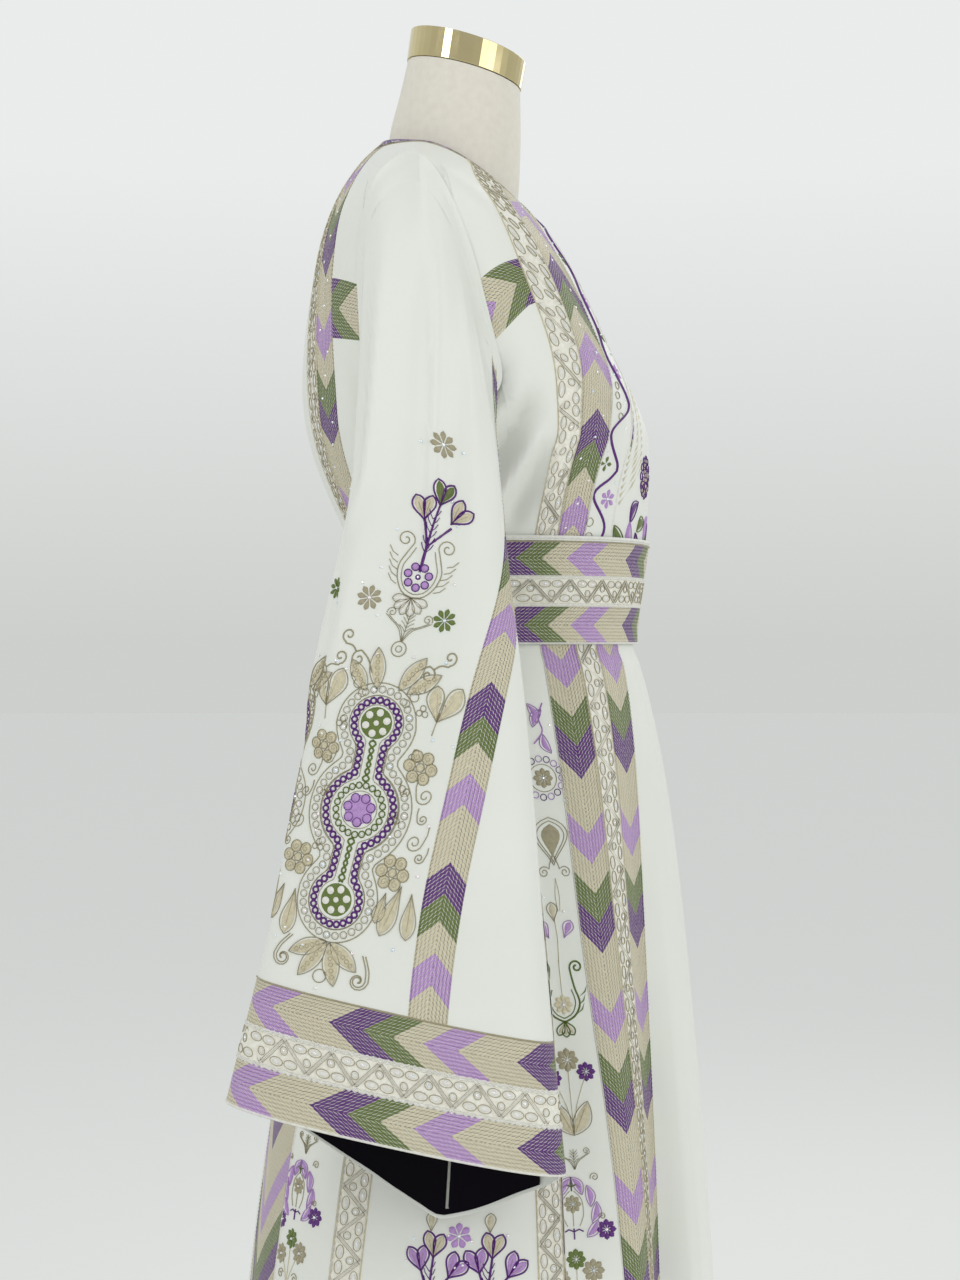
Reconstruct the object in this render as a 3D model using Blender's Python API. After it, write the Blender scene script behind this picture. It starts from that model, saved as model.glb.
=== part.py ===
"""An embroidered full length thobe with bell sleeves and a belt, worn by a limbless dress form.

Units are metres and +Z is up. The garment faces -Y and its wearer's right side is at -X.
The origin is the centre of the stand's underside. The cloth is a set of sewn panels,
each a thin closed wall that follows the garment's own surface, 0.3 mm from its neighbours.
"""
import math

import bpy
import bmesh
from mathutils import Vector

# Driving dimensions
CLOTH = 0.002
SEAM = 0.0003
WAIST_Z = 1.058
HEM_Z = 0.020
BELT_TOP = 1.101
BELT_BOTTOM = 1.0135
BELT_THICKNESS = 0.003
BELT_EASE = 0.0014
SLEEVE_BAND_WIDTH = 0.030
LINING_THICKNESS = 0.001
LINING_EASE = 0.0016
STAND_RADIUS = 0.190
STAND_HEIGHT = 0.022
POLE_RADIUS = 0.0125
FORM_BOTTOM = 0.800
# Power of the cloth's rings: 1 is an ellipse, less is squarer
ROUNDING = 0.85

# Bodice meridians: rise, then front (z, y), side (z, half width, y) and back (z, y)
BODICE = (
    (0.0, 1.058, -0.1180, 1.058, 0.142, 0.000, 1.058, 0.1170),
    (0.1, 1.092, -0.1235, 1.095, 0.149, 0.003, 1.100, 0.1300),
    (0.2, 1.126, -0.1270, 1.130, 0.156, 0.008, 1.140, 0.1480),
    (0.3, 1.160, -0.1290, 1.165, 0.162, 0.014, 1.180, 0.1630),
    (0.4, 1.194, -0.1270, 1.200, 0.168, 0.024, 1.222, 0.1705),
    (0.5, 1.228, -0.1140, 1.262, 0.178, 0.040, 1.265, 0.1695),
    (0.6, 1.262, -0.0960, 1.335, 0.188, 0.055, 1.308, 0.1640),
    (0.7, 1.295, -0.0810, 1.388, 0.192, 0.064, 1.348, 0.1560),
    (0.8, 1.325, -0.0670, 1.410, 0.160, 0.068, 1.385, 0.1440),
    (0.9, 1.354, -0.0500, 1.425, 0.113, 0.069, 1.416, 0.1270),
    (1.0, 1.382, -0.0218, 1.437, 0.066, 0.068, 1.443, 0.1045),
)

# Bodice seams in degrees from the centre front: rise, then
# bib, cord panel, chevron strip and front lace edges, then back chevron, lace and centre edges
BODICE_SEAMS = (
    (0.00, 51.0, 66.0, 76.0, 83.0, 141.0, 151.5, 159.0),
    (0.13, 46.0, 60.0, 70.5, 79.0, 140.0, 151.0, 159.0),
    (0.27, 41.0, 54.0, 65.0, 73.0, 138.5, 150.0, 159.0),
    (0.40, 30.0, 43.5, 56.5, 65.5, 137.0, 148.5, 158.0),
    (0.50, 20.0, 33.0, 48.0, 59.5, 138.5, 150.5, 160.0),
    (0.60, 17.0, 30.0, 46.0, 60.0, 140.5, 152.0, 161.5),
    (0.75, 18.0, 33.0, 50.0, 64.0, 139.0, 152.0, 162.5),
    (1.00, 20.0, 38.0, 54.0, 68.0, 130.0, 148.0, 163.0),
)

# Lower and upper edge of the crosswise chevron strips: degrees, lower rise, upper rise
YOKE_STRIP = (
    (0.0, 0.560, 0.620),
    (60.0, 0.560, 0.620),
    (79.0, 0.490, 0.555),
    (123.0, 0.490, 0.560),
    (140.0, 0.500, 0.590),
    (180.0, 0.500, 0.590),
)
ARMHOLE_FRONT = 79.0
ARMHOLE_BACK = 123.0
ARMHOLE_DIP = 0.085
ARMHOLE_RISE = 0.190
ARMHOLE_ROUNDING = 0.75
ARMHOLE_MIDDLE = Vector((-0.180, 0.070, 1.300))
# The sleeve's head is this much smaller than the armhole
ARMHOLE_INSET = 0.0013
# Extra angle of the side panel's front columns at the waist
SIDE_SPREAD = 14.0
ROWS_TO_STRIP = 5
ROWS_TO_SHOULDER = 6
ROWS_TO_NECK = 11

# Skirt rings: height, front y, back y, half width
SKIRT = (
    (0.020, -0.2220, 0.2620, 0.290),
    (0.200, -0.2050, 0.2440, 0.268),
    (0.460, -0.1840, 0.2180, 0.232),
    (0.570, -0.1770, 0.2040, 0.214),
    (0.700, -0.1660, 0.1840, 0.196),
    (0.800, -0.1560, 0.1680, 0.181),
    (0.900, -0.1430, 0.1500, 0.167),
    (0.965, -0.1300, 0.1360, 0.157),
    (1.000, -0.1200, 0.1225, 0.147),
    (1.012, -0.1145, 0.1165, 0.1415),
    (1.058, -0.1180, 0.1170, 0.1420),
)
SKIRT_HEIGHTS = (1.0577, 1.012, 0.996, 0.955, 0.880, 0.780, 0.670, 0.530, 0.360, 0.190, 0.020)

# Share of the half ring that each skirt panel takes, in millimetres at that height:
# centre front half, inner chevron, lace, outer chevron, front flower panel, side front lace,
# side panel, side back lace, back flower panel, back band, centre back half
SKIRT_WIDTHS = (
    (0.020, 175, 34, 23, 32, 70, 25, 200, 27, 90, 100, 63),
    (0.570, 135, 34, 23, 32, 45, 22, 136, 27, 67, 103, 32),
    (0.770, 123, 34, 23, 32, 31, 20, 96, 23, 55, 100, 30),
    (0.965, 103, 34, 23, 32, 30, 17, 50, 18, 43, 94, 26),
    (1.058, 90, 34, 23, 32, 31, 15, 28, 14, 30, 86, 27),
)
SKIRT_PANELS = (
    ("skirt_inner_chevron", 1, 3, "chevron_embroidery"),
    ("skirt_front_lace", 2, 2, "lace_embroidery"),
    ("skirt_outer_chevron", 3, 3, "chevron_embroidery"),
    ("skirt_front_flower_panel", 4, 4, "cloth"),
    ("skirt_side_front_lace", 5, 2, "lace_embroidery"),
    ("skirt_side_panel", 6, 9, "cloth"),
    ("skirt_side_back_lace", 7, 2, "lace_embroidery"),
    ("skirt_back_flower_panel", 8, 4, "cloth"),
    ("skirt_back_band", 9, 6, "chevron_embroidery"),
)
# Depth of the hollow beside the centre front fold: height, depth
CENTRE_FOLD = (
    (0.020, 0.026),
    (0.450, 0.030),
    (0.600, 0.026),
    (0.780, 0.016),
    (0.900, 0.008),
    (0.975, 0.002),
    (1.000, 0.000),
    (1.058, 0.000),
)
# Soft folds round the skirt: height, amplitude
SOFT_FOLDS = (
    (0.020, 0.0090),
    (0.300, 0.0065),
    (0.600, 0.0042),
    (0.900, 0.0020),
    (0.990, 0.0008),
    (1.002, 0.0000),
    (1.058, 0.0000),
)

# Sleeve rings below the cap: station, front y and z, back y and z, middle x, half thickness,
# how far the underarm side hangs lower
SLEEVE = (
    (1.0, 0.0005, 1.1300, 0.1190, 1.1300, -0.222, 0.031, 0.000),
    (2.0, -0.0065, 1.0600, 0.1330, 1.0600, -0.231, 0.031, 0.000),
    (3.0, -0.0160, 0.9800, 0.1480, 0.9850, -0.240, 0.032, 0.000),
    (4.0, -0.0240, 0.8920, 0.1580, 0.9080, -0.247, 0.033, 0.008),
    (5.0, -0.0305, 0.8030, 0.1705, 0.8350, -0.255, 0.035, 0.022),
    (6.0, -0.0385, 0.7100, 0.1870, 0.7600, -0.263, 0.038, 0.042),
    (7.0, -0.0475, 0.6150, 0.2085, 0.6705, -0.271, 0.041, 0.064),
)
CUFF_STATION = 5.95
HEM_STATION = 7.0
# How far the cuff's hem is drawn up on the side towards the body, so that it hangs to a point
# under the underarm seam: angle, lift
HEM_LIFT = (
    (-180.0, 0.000),
    (-164.0, 0.007),
    (-145.0, 0.021),
    (-127.0, 0.033),
    (-102.0, 0.025),
    (-84.0, 0.006),
    (-77.0, -0.002),
    (-70.0, 0.000),
    (-46.0, 0.008),
    (-26.0, 0.005),
    (0.0, 0.000),
)
HEM_LIFT_START = 6.0
# Middle of the sleeve's chevron band from the front fold, along the cloth: station, distance
SLEEVE_BAND = (
    (0.0, -0.050),
    (1.0, -0.018),
    (2.0, 0.005),
    (3.0, 0.0385),
    (4.0, 0.0665),
    (5.0, 0.0915),
    (6.0, 0.112),
    (7.0, 0.125),
)

# Dress form below the shoulders: height, front y, back y, half width
TORSO = (
    (0.800, -0.096, 0.104, 0.128),
    (0.830, -0.105, 0.116, 0.140),
    (0.900, -0.108, 0.120, 0.146),
    (0.980, -0.098, 0.104, 0.130),
    (1.058, -0.094, 0.094, 0.118),
)
# How far the form's skin lies inside the garment's outer surface: rise, depth
FORM_DEPTH = (
    (0.00, 0.0240),
    (0.25, 0.0160),
    (0.45, 0.0100),
    (0.60, 0.0100),
    (0.72, 0.0100),
    (0.80, 0.0046),
    (0.92, 0.0036),
    (0.97, 0.0060),
    (1.00, 0.0056),
)
# Neck and cap: front y and z, back y and z, half width
NECK = (
    (-0.0145, 1.3900, 0.0965, 1.4500, 0.0545),
    (-0.0165, 1.4100, 0.0940, 1.4640, 0.0542),
    (-0.0180, 1.4500, 0.0870, 1.4900, 0.0520),
    (-0.0175, 1.4940, 0.0800, 1.5200, 0.0490),
)
CAP_BOTTOM = (-0.0183, 1.4946, 0.0810, 1.5207, 0.0497)
CAP_TOP = (-0.0226, 1.5173, 0.0775, 1.5468, 0.0503)
CAP_BEVEL = 0.0012

COLOURS = {
    "cloth": ((0.80, 0.82, 0.77), 0.55, 0.0),
    "chevron_embroidery": ((0.45, 0.34, 0.50), 0.70, 0.0),
    "lace_embroidery": ((0.62, 0.57, 0.46), 0.65, 0.0),
    "satin_lining": ((0.012, 0.004, 0.022), 0.35, 0.0),
    "purple_piping": ((0.12, 0.04, 0.22), 0.55, 0.0),
    "form_linen": ((0.76, 0.70, 0.60), 0.85, 0.0),
    "polished_brass": ((0.72, 0.60, 0.30), 0.16, 1.0),
    "stand_metal": ((0.70, 0.70, 0.68), 0.40, 0.6),
}


def row_at(table, key):
    """Reads a table's row at a key, on a smooth curve through its rows."""
    if key <= table[0][0]:
        return table[0][1:]
    if key >= table[-1][0]:
        return table[-1][1:]
    index = 0
    while table[index + 1][0] < key:
        index += 1
    low = table[index]
    high = table[index + 1]
    before = table[max(index - 1, 0)]
    after = table[min(index + 2, len(table) - 1)]
    span = high[0] - low[0]
    s = (key - low[0]) / span
    values = []
    for column in range(1, len(low)):
        start_slope = (high[column] - before[column]) / (high[0] - before[0])
        end_slope = (after[column] - low[column]) / (after[0] - low[0])
        values.append(
            (2 * s ** 3 - 3 * s ** 2 + 1) * low[column]
            + (s ** 3 - 2 * s ** 2 + s) * span * start_slope
            + (3 * s ** 2 - 2 * s ** 3) * high[column]
            + (s ** 3 - s ** 2) * span * end_slope
        )
    return values


def line_at(table, key):
    """Reads a table's row at a key, on straight lines between its rows."""
    index = 0
    while index < len(table) - 2 and table[index + 1][0] < key:
        index += 1
    low = table[index]
    high = table[index + 1]
    s = min(max((key - low[0]) / (high[0] - low[0]), 0.0), 1.0)
    return [a + (b - a) * s for a, b in zip(low[1:], high[1:])]


def signed_power(value, power):
    """A power that keeps the sign."""
    return math.copysign(abs(value) ** power, value)


def ease(value):
    """Smooth step from 0 to 1."""
    value = min(max(value, 0.0), 1.0)
    return value * value * (3 - 2 * value)


def bodice_point(degrees, rise):
    """The bodice's outer surface: degrees from the centre front to the right, rise 0 to 1."""
    front_z, front_y, side_z, half, side_y, back_z, back_y = row_at(BODICE, rise)
    angle = math.radians(degrees)
    cosine = math.cos(angle)
    chest = min(max((rise - 0.35) / 0.4, 0.0), 1.0) * (1 - 0.65 * ease((rise - 0.8) / 0.2))
    across = signed_power(math.sin(angle), ROUNDING + 0.10 * chest)
    along = abs(cosine) ** (ROUNDING + 0.35 * chest)
    lift = abs(cosine) ** 1.6
    end_y = front_y if cosine >= 0 else back_y
    end_z = front_z if cosine >= 0 else back_z
    return Vector((-half * across, side_y + (end_y - side_y) * along, side_z + (end_z - side_z) * lift))


def skirt_ring_point(degrees, height):
    """The skirt's smooth ring, before its folds."""
    front_y, back_y, half = row_at(SKIRT, height)
    angle = math.radians(degrees)
    cosine = math.cos(angle)
    along = abs(cosine) ** ROUNDING
    end_y = front_y if cosine >= 0 else back_y
    return Vector((-half * signed_power(math.sin(angle), ROUNDING), end_y * along, height))


def ring_table(point_at, start, stop, steps):
    """Distances along a ring against its angle, to place points by true length."""
    rows = [(0.0, start)]
    last = point_at(start)
    for step in range(1, steps + 1):
        angle = start + (stop - start) * step / steps
        point = point_at(angle)
        rows.append((rows[-1][0] + (point - last).length, angle))
        last = point
    return rows


RING_CACHE = {}


def skirt_ring(height):
    """The half ring's table at a height."""
    key = ("skirt", round(height, 6))
    if key not in RING_CACHE:
        RING_CACHE[key] = ring_table(lambda degrees: skirt_ring_point(degrees, height), 0.0, 180.0, 90)
    return RING_CACHE[key]


def skirt_edges(height):
    """Distances from the centre front to each panel's edges, filling the half ring."""
    widths = row_at(SKIRT_WIDTHS, height)
    total = skirt_ring(height)[-1][0]
    scale = total / sum(widths)
    edges = [0.0]
    for width in widths:
        edges.append(edges[-1] + width * scale)
    return edges


def skirt_point(distance, height):
    """The skirt's outer surface at a distance from the centre front along its ring."""
    side = math.copysign(1.0, distance)
    length = abs(distance)
    degrees = line_at(skirt_ring(height), length)[0]
    point = skirt_ring_point(degrees, height)
    ahead = skirt_ring_point(degrees + 0.5, height)
    behind = skirt_ring_point(degrees - 0.5, height)
    along = (ahead - behind).normalized()
    outward = Vector((-along.y, along.x, 0.0))
    edge = skirt_edges(height)[1]
    hollow = row_at(CENTRE_FOLD, height)[0]
    sink = hollow * ease((length - edge + 0.024) / 0.026) * (1 - ease((length - edge) / 0.085))
    angle = math.radians(degrees)
    fade = ease((length - edge) / 0.06) * ease((180.0 - degrees) / 8.0)
    wave = 0.6 * math.sin(8 * angle + 0.6) + 0.4 * math.sin(11 * angle + 2.1)
    point = point + outward * (row_at(SOFT_FOLDS, height)[0] * wave * fade - sink)
    return Vector((point.x * side, point.y, point.z))


def armhole_rise(step, steps, degrees, upper):
    """Where the armhole's edge lies at a column of the panels above or below it."""
    lower_rise, upper_rise = line_at(YOKE_STRIP, degrees)
    arch = math.sin(math.pi * step / steps) ** ARMHOLE_ROUNDING
    if upper:
        return upper_rise + ARMHOLE_RISE * arch
    return lower_rise - ARMHOLE_DIP * arch


def armhole_point(phi):
    """The armhole's edge: phi 0 front, 90 shoulder tip, 180 back, 270 underarm."""
    angle = math.radians(phi)
    middle = (ARMHOLE_FRONT + ARMHOLE_BACK) / 2
    half = (ARMHOLE_BACK - ARMHOLE_FRONT) / 2
    degrees = middle - half * math.cos(angle)
    lower_rise, upper_rise = line_at(YOKE_STRIP, degrees)
    sine = math.sin(angle)
    if sine >= 0:
        rise = upper_rise + ARMHOLE_RISE * sine ** ARMHOLE_ROUNDING
    else:
        rise = lower_rise - ARMHOLE_DIP * (-sine) ** ARMHOLE_ROUNDING
    return bodice_point(degrees, rise)


def sleeve_ring_point(phi, station):
    """A hanging ring of the sleeve: phi 0 front fold, 90 outer side, 180 back fold."""
    front_y, front_z, back_y, back_z, middle_x, half, drop = row_at(SLEEVE, station)
    angle = math.radians(phi)
    share = (1 - signed_power(math.cos(angle), 0.95)) / 2
    sine = math.sin(angle)
    lower = drop * max(-sine, 0.0) ** 1.4
    if station > HEM_LIFT_START and sine < 0.0:
        turned = (phi + 180.0) % 360.0 - 180.0
        share_down = (station - HEM_LIFT_START) / (HEM_STATION - HEM_LIFT_START)
        lower -= row_at(HEM_LIFT, turned)[0] * share_down
    return Vector((
        middle_x - half * signed_power(sine, 0.85),
        front_y + (back_y - front_y) * share,
        front_z + (back_z - front_z) * share - lower,
    ))


def sleeve_point(phi, station):
    """The sleeve's outer surface, from the armhole at station 0 to the hem at station 7."""
    if station >= 1.0:
        return sleeve_ring_point(phi, station)
    edge = armhole_point(phi)
    toward_middle = (ARMHOLE_MIDDLE - edge).normalized()
    start = edge + toward_middle * ARMHOLE_INSET + Vector((-SEAM * 2, 0.0, 0.0))
    end = sleeve_ring_point(phi, 1.0)
    end_slope = sleeve_ring_point(phi, 1.0) - sleeve_ring_point(phi, 1.5)
    end_slope = end_slope * -2.0
    top = (1 + math.sin(math.radians(phi))) / 2
    start_slope = Vector((-0.030 - 0.055 * top, 0.0, -0.060 - 0.140 * top))
    s = station
    return (
        start * (2 * s ** 3 - 3 * s ** 2 + 1)
        + start_slope * (s ** 3 - 2 * s ** 2 + s)
        + end * (3 * s ** 2 - 2 * s ** 3)
        + end_slope * (s ** 3 - s ** 2)
    )


def sleeve_ring(station):
    """The sleeve ring's table, from the underarm seam round the front fold and back."""
    key = ("sleeve", round(station, 6))
    if key not in RING_CACHE:
        RING_CACHE[key] = ring_table(lambda phi: sleeve_point(phi, station), -90.0, 270.0, 120)
    return RING_CACHE[key]


def sleeve_band_edges(station):
    """Distances from the underarm seam to both edges of the chevron band."""
    rows = sleeve_ring(station)
    front_fold = rows[len(rows) // 4][0]
    middle = front_fold + row_at(SLEEVE_BAND, station)[0]
    return middle - SLEEVE_BAND_WIDTH / 2, middle + SLEEVE_BAND_WIDTH / 2


def normal_at(surface, across, along, step_across, step_along, sign):
    """The surface's outward unit normal, from small steps."""
    d_across = surface(across + step_across, along) - surface(across - step_across, along)
    d_along = surface(across, along + step_along) - surface(across, along - step_along)
    return (d_along.cross(d_across) * sign).normalized()


def pull_in(rows, distance):
    """Moves the grid's border inward along the cloth, which leaves the seam gap."""
    def toward(point, neighbour):
        edge = neighbour - point
        return point + edge * (distance / edge.length)

    for row in rows:
        row[0] = toward(row[0], row[1])
        row[-1] = toward(row[-1], row[-2])
    rows[0] = [toward(a, b) for a, b in zip(rows[0], rows[1])]
    rows[-1] = [toward(a, b) for a, b in zip(rows[-1], rows[-2])]


def material(name):
    """The named Principled material."""
    if name in bpy.data.materials:
        return bpy.data.materials[name]
    colour, roughness, metallic = COLOURS[name]
    made = bpy.data.materials.new(name)
    made.use_nodes = True
    shader = made.node_tree.nodes["Principled BSDF"]
    shader.inputs["Base Color"].default_value = (*colour, 1.0)
    shader.inputs["Roughness"].default_value = roughness
    shader.inputs["Metallic"].default_value = metallic
    return made


def add_object(name, mesh_data, material_name):
    """Puts a finished bmesh in the scene as one named object."""
    bmesh.ops.recalc_face_normals(mesh_data, faces=mesh_data.faces)
    if mesh_data.calc_volume(signed=True) < 0:
        bmesh.ops.reverse_faces(mesh_data, faces=mesh_data.faces)
    mesh = bpy.data.meshes.new(name)
    mesh_data.to_mesh(mesh)
    mesh_data.free()
    mesh.materials.append(material(material_name))
    made = bpy.data.objects.new(name, mesh)
    bpy.context.scene.collection.objects.link(made)
    mesh.shade_smooth()
    mesh.set_sharp_from_angle(angle=math.radians(40))
    return made


def wall(name, points, normals, thickness, material_name, closed=False):
    """A closed thin wall: its outer face is the grid, its inner face lies one thickness in."""
    mesh_data = bmesh.new()
    outer = [[mesh_data.verts.new(p) for p in row] for row in points]
    inner = [
        [mesh_data.verts.new(p - n * thickness) for p, n in zip(row, normal_row)]
        for row, normal_row in zip(points, normals)
    ]
    rows = len(points)
    columns = len(points[0])
    spans = columns if closed else columns - 1
    for r in range(rows - 1):
        for c in range(spans):
            d = (c + 1) % columns
            mesh_data.faces.new((outer[r][c], outer[r][d], outer[r + 1][d], outer[r + 1][c]))
            mesh_data.faces.new((inner[r][d], inner[r][c], inner[r + 1][c], inner[r + 1][d]))
    for r in (0, rows - 1):
        for c in range(spans):
            d = (c + 1) % columns
            mesh_data.faces.new((outer[r][c], outer[r][d], inner[r][d], inner[r][c]))
    if not closed:
        for c in (0, columns - 1):
            for r in range(rows - 1):
                mesh_data.faces.new((outer[r][c], outer[r + 1][c], inner[r + 1][c], inner[r][c]))
    bmesh.ops.triangulate(mesh_data, faces=mesh_data.faces)
    return add_object(name, mesh_data, material_name)


def mirrored(rows):
    """The same grid on the wearer's left."""
    return [[Vector((-p.x, p.y, p.z)) for p in row] for row in rows]


def wall_pair(name, points, normals, thickness, material_name):
    """A right panel and its mirror image on the left."""
    wall(name + "_right", points, normals, thickness, material_name)
    wall(name + "_left", mirrored(points), mirrored(normals), thickness, material_name)


def bodice_row(row, degrees):
    """The rise of a grid row on the plain part of the bodice."""
    lower, upper = line_at(YOKE_STRIP, degrees)
    if row <= ROWS_TO_STRIP:
        return lower * row / ROWS_TO_STRIP
    if row <= ROWS_TO_SHOULDER:
        share = (row - ROWS_TO_STRIP) / (ROWS_TO_SHOULDER - ROWS_TO_STRIP)
        return lower + (upper - lower) * share
    share = (row - ROWS_TO_SHOULDER) / (ROWS_TO_NECK - ROWS_TO_SHOULDER)
    return upper + (1.0 - upper) * share


def bodice_edge(seam, row):
    """The angle of a seam at a grid row. Seam 0 is the centre front and seam 8 the centre back."""
    if seam == 0:
        return 0.0
    if seam == 8:
        return 180.0
    degrees = row_at(BODICE_SEAMS, 0.5)[seam - 1]
    for _ in range(6):
        degrees = row_at(BODICE_SEAMS, bodice_row(row, degrees))[seam - 1]
    return degrees


def bodice_normal(degrees, rise):
    """The bodice's outward normal."""
    low = min(max(rise, 0.004), 0.996)
    return normal_at(bodice_point, degrees, low, 0.4, 0.003, 1.0)


def bodice_grid(cells):
    """Points and normals of a bodice panel from its rows of (degrees, rise)."""
    points = [[bodice_point(degrees, rise) for degrees, rise in row] for row in cells]
    normals = [[bodice_normal(degrees, rise) for degrees, rise in row] for row in cells]
    pull_in(points, SEAM / 2)
    return points, normals


def strip_cells(low_seam, high_seam, columns, first_row, last_row, mirror=False):
    """Rows of (degrees, rise) between two seams, or across the centre line when mirrored."""
    cells = []
    for row in range(first_row, last_row + 1):
        start = bodice_edge(low_seam, row)
        stop = bodice_edge(high_seam, row)
        if mirror and low_seam == 0:
            start = -stop
        if mirror and high_seam == 8:
            stop = 360.0 - start
        angles = [start + (stop - start) * c / columns for c in range(columns + 1)]
        folded = [abs(a) if a < 180 else 360 - a for a in angles]
        cells.append([(a, bodice_row(row, f)) for a, f in zip(angles, folded)])
    return cells


FRONT_COLUMNS = 3
ARMHOLE_COLUMNS = 10
BACK_COLUMNS = 3


def armhole_angles(row):
    """Column angles of the panels that reach the armhole."""
    start = bodice_edge(4, row)
    stop = bodice_edge(5, row)
    front = ARMHOLE_FRONT + SIDE_SPREAD * max(1 - row / ROWS_TO_STRIP, 0.0)
    angles = [start + (front - start) * c / FRONT_COLUMNS for c in range(FRONT_COLUMNS)]
    middle = (front + ARMHOLE_BACK) / 2
    half = (ARMHOLE_BACK - front) / 2
    for c in range(ARMHOLE_COLUMNS):
        angles.append(middle - half * math.cos(math.pi * c / ARMHOLE_COLUMNS))
    angles += [ARMHOLE_BACK + (stop - ARMHOLE_BACK) * c / BACK_COLUMNS for c in range(BACK_COLUMNS + 1)]
    return angles


def armhole_panel_cells(upper):
    """Cells of the side panel below the armhole, or of the shoulder panel above it."""
    first = ROWS_TO_SHOULDER if upper else 0
    last = ROWS_TO_NECK if upper else ROWS_TO_STRIP
    cells = []
    for row in range(first, last + 1):
        cell_row = []
        for column, degrees in enumerate(armhole_angles(row)):
            step = min(max(column - FRONT_COLUMNS, 0), ARMHOLE_COLUMNS)
            limit = armhole_rise(step, ARMHOLE_COLUMNS, degrees, upper)
            share = (row - first) / (last - first)
            rise = limit + (1.0 - limit) * share if upper else limit * share
            cell_row.append((degrees, rise))
        cells.append(cell_row)
    return cells


def yoke_strip_cells(front):
    """Cells of the crosswise chevron strip between a bodice band and the armhole."""
    cells = []
    for row in range(ROWS_TO_STRIP, ROWS_TO_SHOULDER + 1):
        start = bodice_edge(4, row) if front else ARMHOLE_BACK
        stop = ARMHOLE_FRONT if front else bodice_edge(5, row)
        angles = [start + (stop - start) * c / FRONT_COLUMNS for c in range(FRONT_COLUMNS + 1)]
        cells.append([(a, bodice_row(row, a)) for a in angles])
    return cells


def build_bodice():
    """All bodice panels and the neck's piping."""
    points, normals = bodice_grid(strip_cells(0, 1, 8, 0, ROWS_TO_NECK, mirror=True))
    wall("front_bib", points, normals, CLOTH, "cloth")
    strips = (
        ("front_cord_panel", 1, 2, "cloth"),
        ("front_chevron_strip", 2, 2, "chevron_embroidery"),
        ("front_lace_strip", 3, 2, "lace_embroidery"),
        ("back_chevron_strip", 5, 2, "chevron_embroidery"),
        ("back_lace_strip", 6, 2, "lace_embroidery"),
    )
    for name, seam, columns, material_name in strips:
        points, normals = bodice_grid(strip_cells(seam, seam + 1, columns, 0, ROWS_TO_NECK))
        wall_pair(name, points, normals, CLOTH, material_name)
    points, normals = bodice_grid(strip_cells(7, 8, 6, 0, ROWS_TO_NECK, mirror=True))
    wall("back_centre", points, normals, CLOTH, "cloth")
    points, normals = bodice_grid(armhole_panel_cells(upper=False))
    wall_pair("bodice_side", points, normals, CLOTH, "cloth")
    points, normals = bodice_grid(armhole_panel_cells(upper=True))
    wall_pair("shoulder", points, normals, CLOTH, "cloth")
    points, normals = bodice_grid(yoke_strip_cells(front=True))
    wall_pair("front_cross_strip", points, normals, CLOTH, "chevron_embroidery")
    points, normals = bodice_grid(yoke_strip_cells(front=False))
    wall_pair("back_cross_strip", points, normals, CLOTH, "chevron_embroidery")
    build_neck_piping()


PIPING_HEIGHT = 0.0045
PIPING_COLUMNS = 40


def build_neck_piping():
    """The folded purple binding round the neck."""
    rows = [[], []]
    normals = [[], []]
    for column in range(PIPING_COLUMNS):
        degrees = 360.0 * column / PIPING_COLUMNS
        edge = bodice_point(degrees, 1.0)
        direction = (edge - bodice_point(degrees, 0.97)).normalized()
        normal = bodice_normal(degrees, 1.0)
        rows[0].append(edge + direction * SEAM)
        rows[1].append(edge + direction * PIPING_HEIGHT)
        normals[0].append(normal)
        normals[1].append(normal)
    wall("neck_piping", rows, normals, CLOTH, "purple_piping", closed=True)


def skirt_grid(edge_low, edge_high, shares, across_centre=None):
    """Points and normals of a skirt panel between two of the ring's panel edges."""
    points = []
    normals = []
    for height in SKIRT_HEIGHTS:
        edges = skirt_edges(height)
        start = edges[edge_low]
        stop = edges[edge_high]
        if across_centre == "front":
            start = -stop
        distances = [start + (stop - start) * share for share in shares]
        if across_centre == "back":
            whole = 2 * edges[-1]
            stop = whole - start
            distances = [start + (stop - start) * share for share in shares]
        points.append([skirt_at(d, height) for d in distances])
        normals.append([skirt_normal(d, height) for d in distances])
    pull_in(points, SEAM / 2)
    return points, normals


def skirt_at(distance, height):
    """The skirt's surface, also past the centre back."""
    whole = 2 * skirt_ring(height)[-1][0]
    if distance > whole / 2:
        distance -= whole
    return skirt_point(distance, height)


def skirt_normal(distance, height):
    """The skirt's outward normal."""
    height = min(max(height, HEM_Z + 0.002), WAIST_Z - 0.002)
    return normal_at(skirt_at, distance, height, 0.001, 0.002, 1.0)


CENTRE_FRONT_SHARES = (0.0, 0.04, 0.08, 0.13, 0.22, 0.36, 0.5, 0.64, 0.78, 0.87, 0.92, 0.96, 1.0)


def even_shares(columns):
    """Evenly spaced shares from 0 to 1."""
    return [c / columns for c in range(columns + 1)]


def build_skirt():
    """The skirt's sewn panels, each a full length strip."""
    points, normals = skirt_grid(0, 1, CENTRE_FRONT_SHARES, across_centre="front")
    wall("skirt_centre_front", points, normals, CLOTH, "cloth")
    for name, edge, columns, material_name in SKIRT_PANELS:
        points, normals = skirt_grid(edge, edge + 1, even_shares(columns))
        wall_pair(name, points, normals, CLOTH, material_name)
    points, normals = skirt_grid(10, 11, even_shares(6), across_centre="back")
    wall("skirt_centre_back", points, normals, CLOTH, "cloth")


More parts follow.
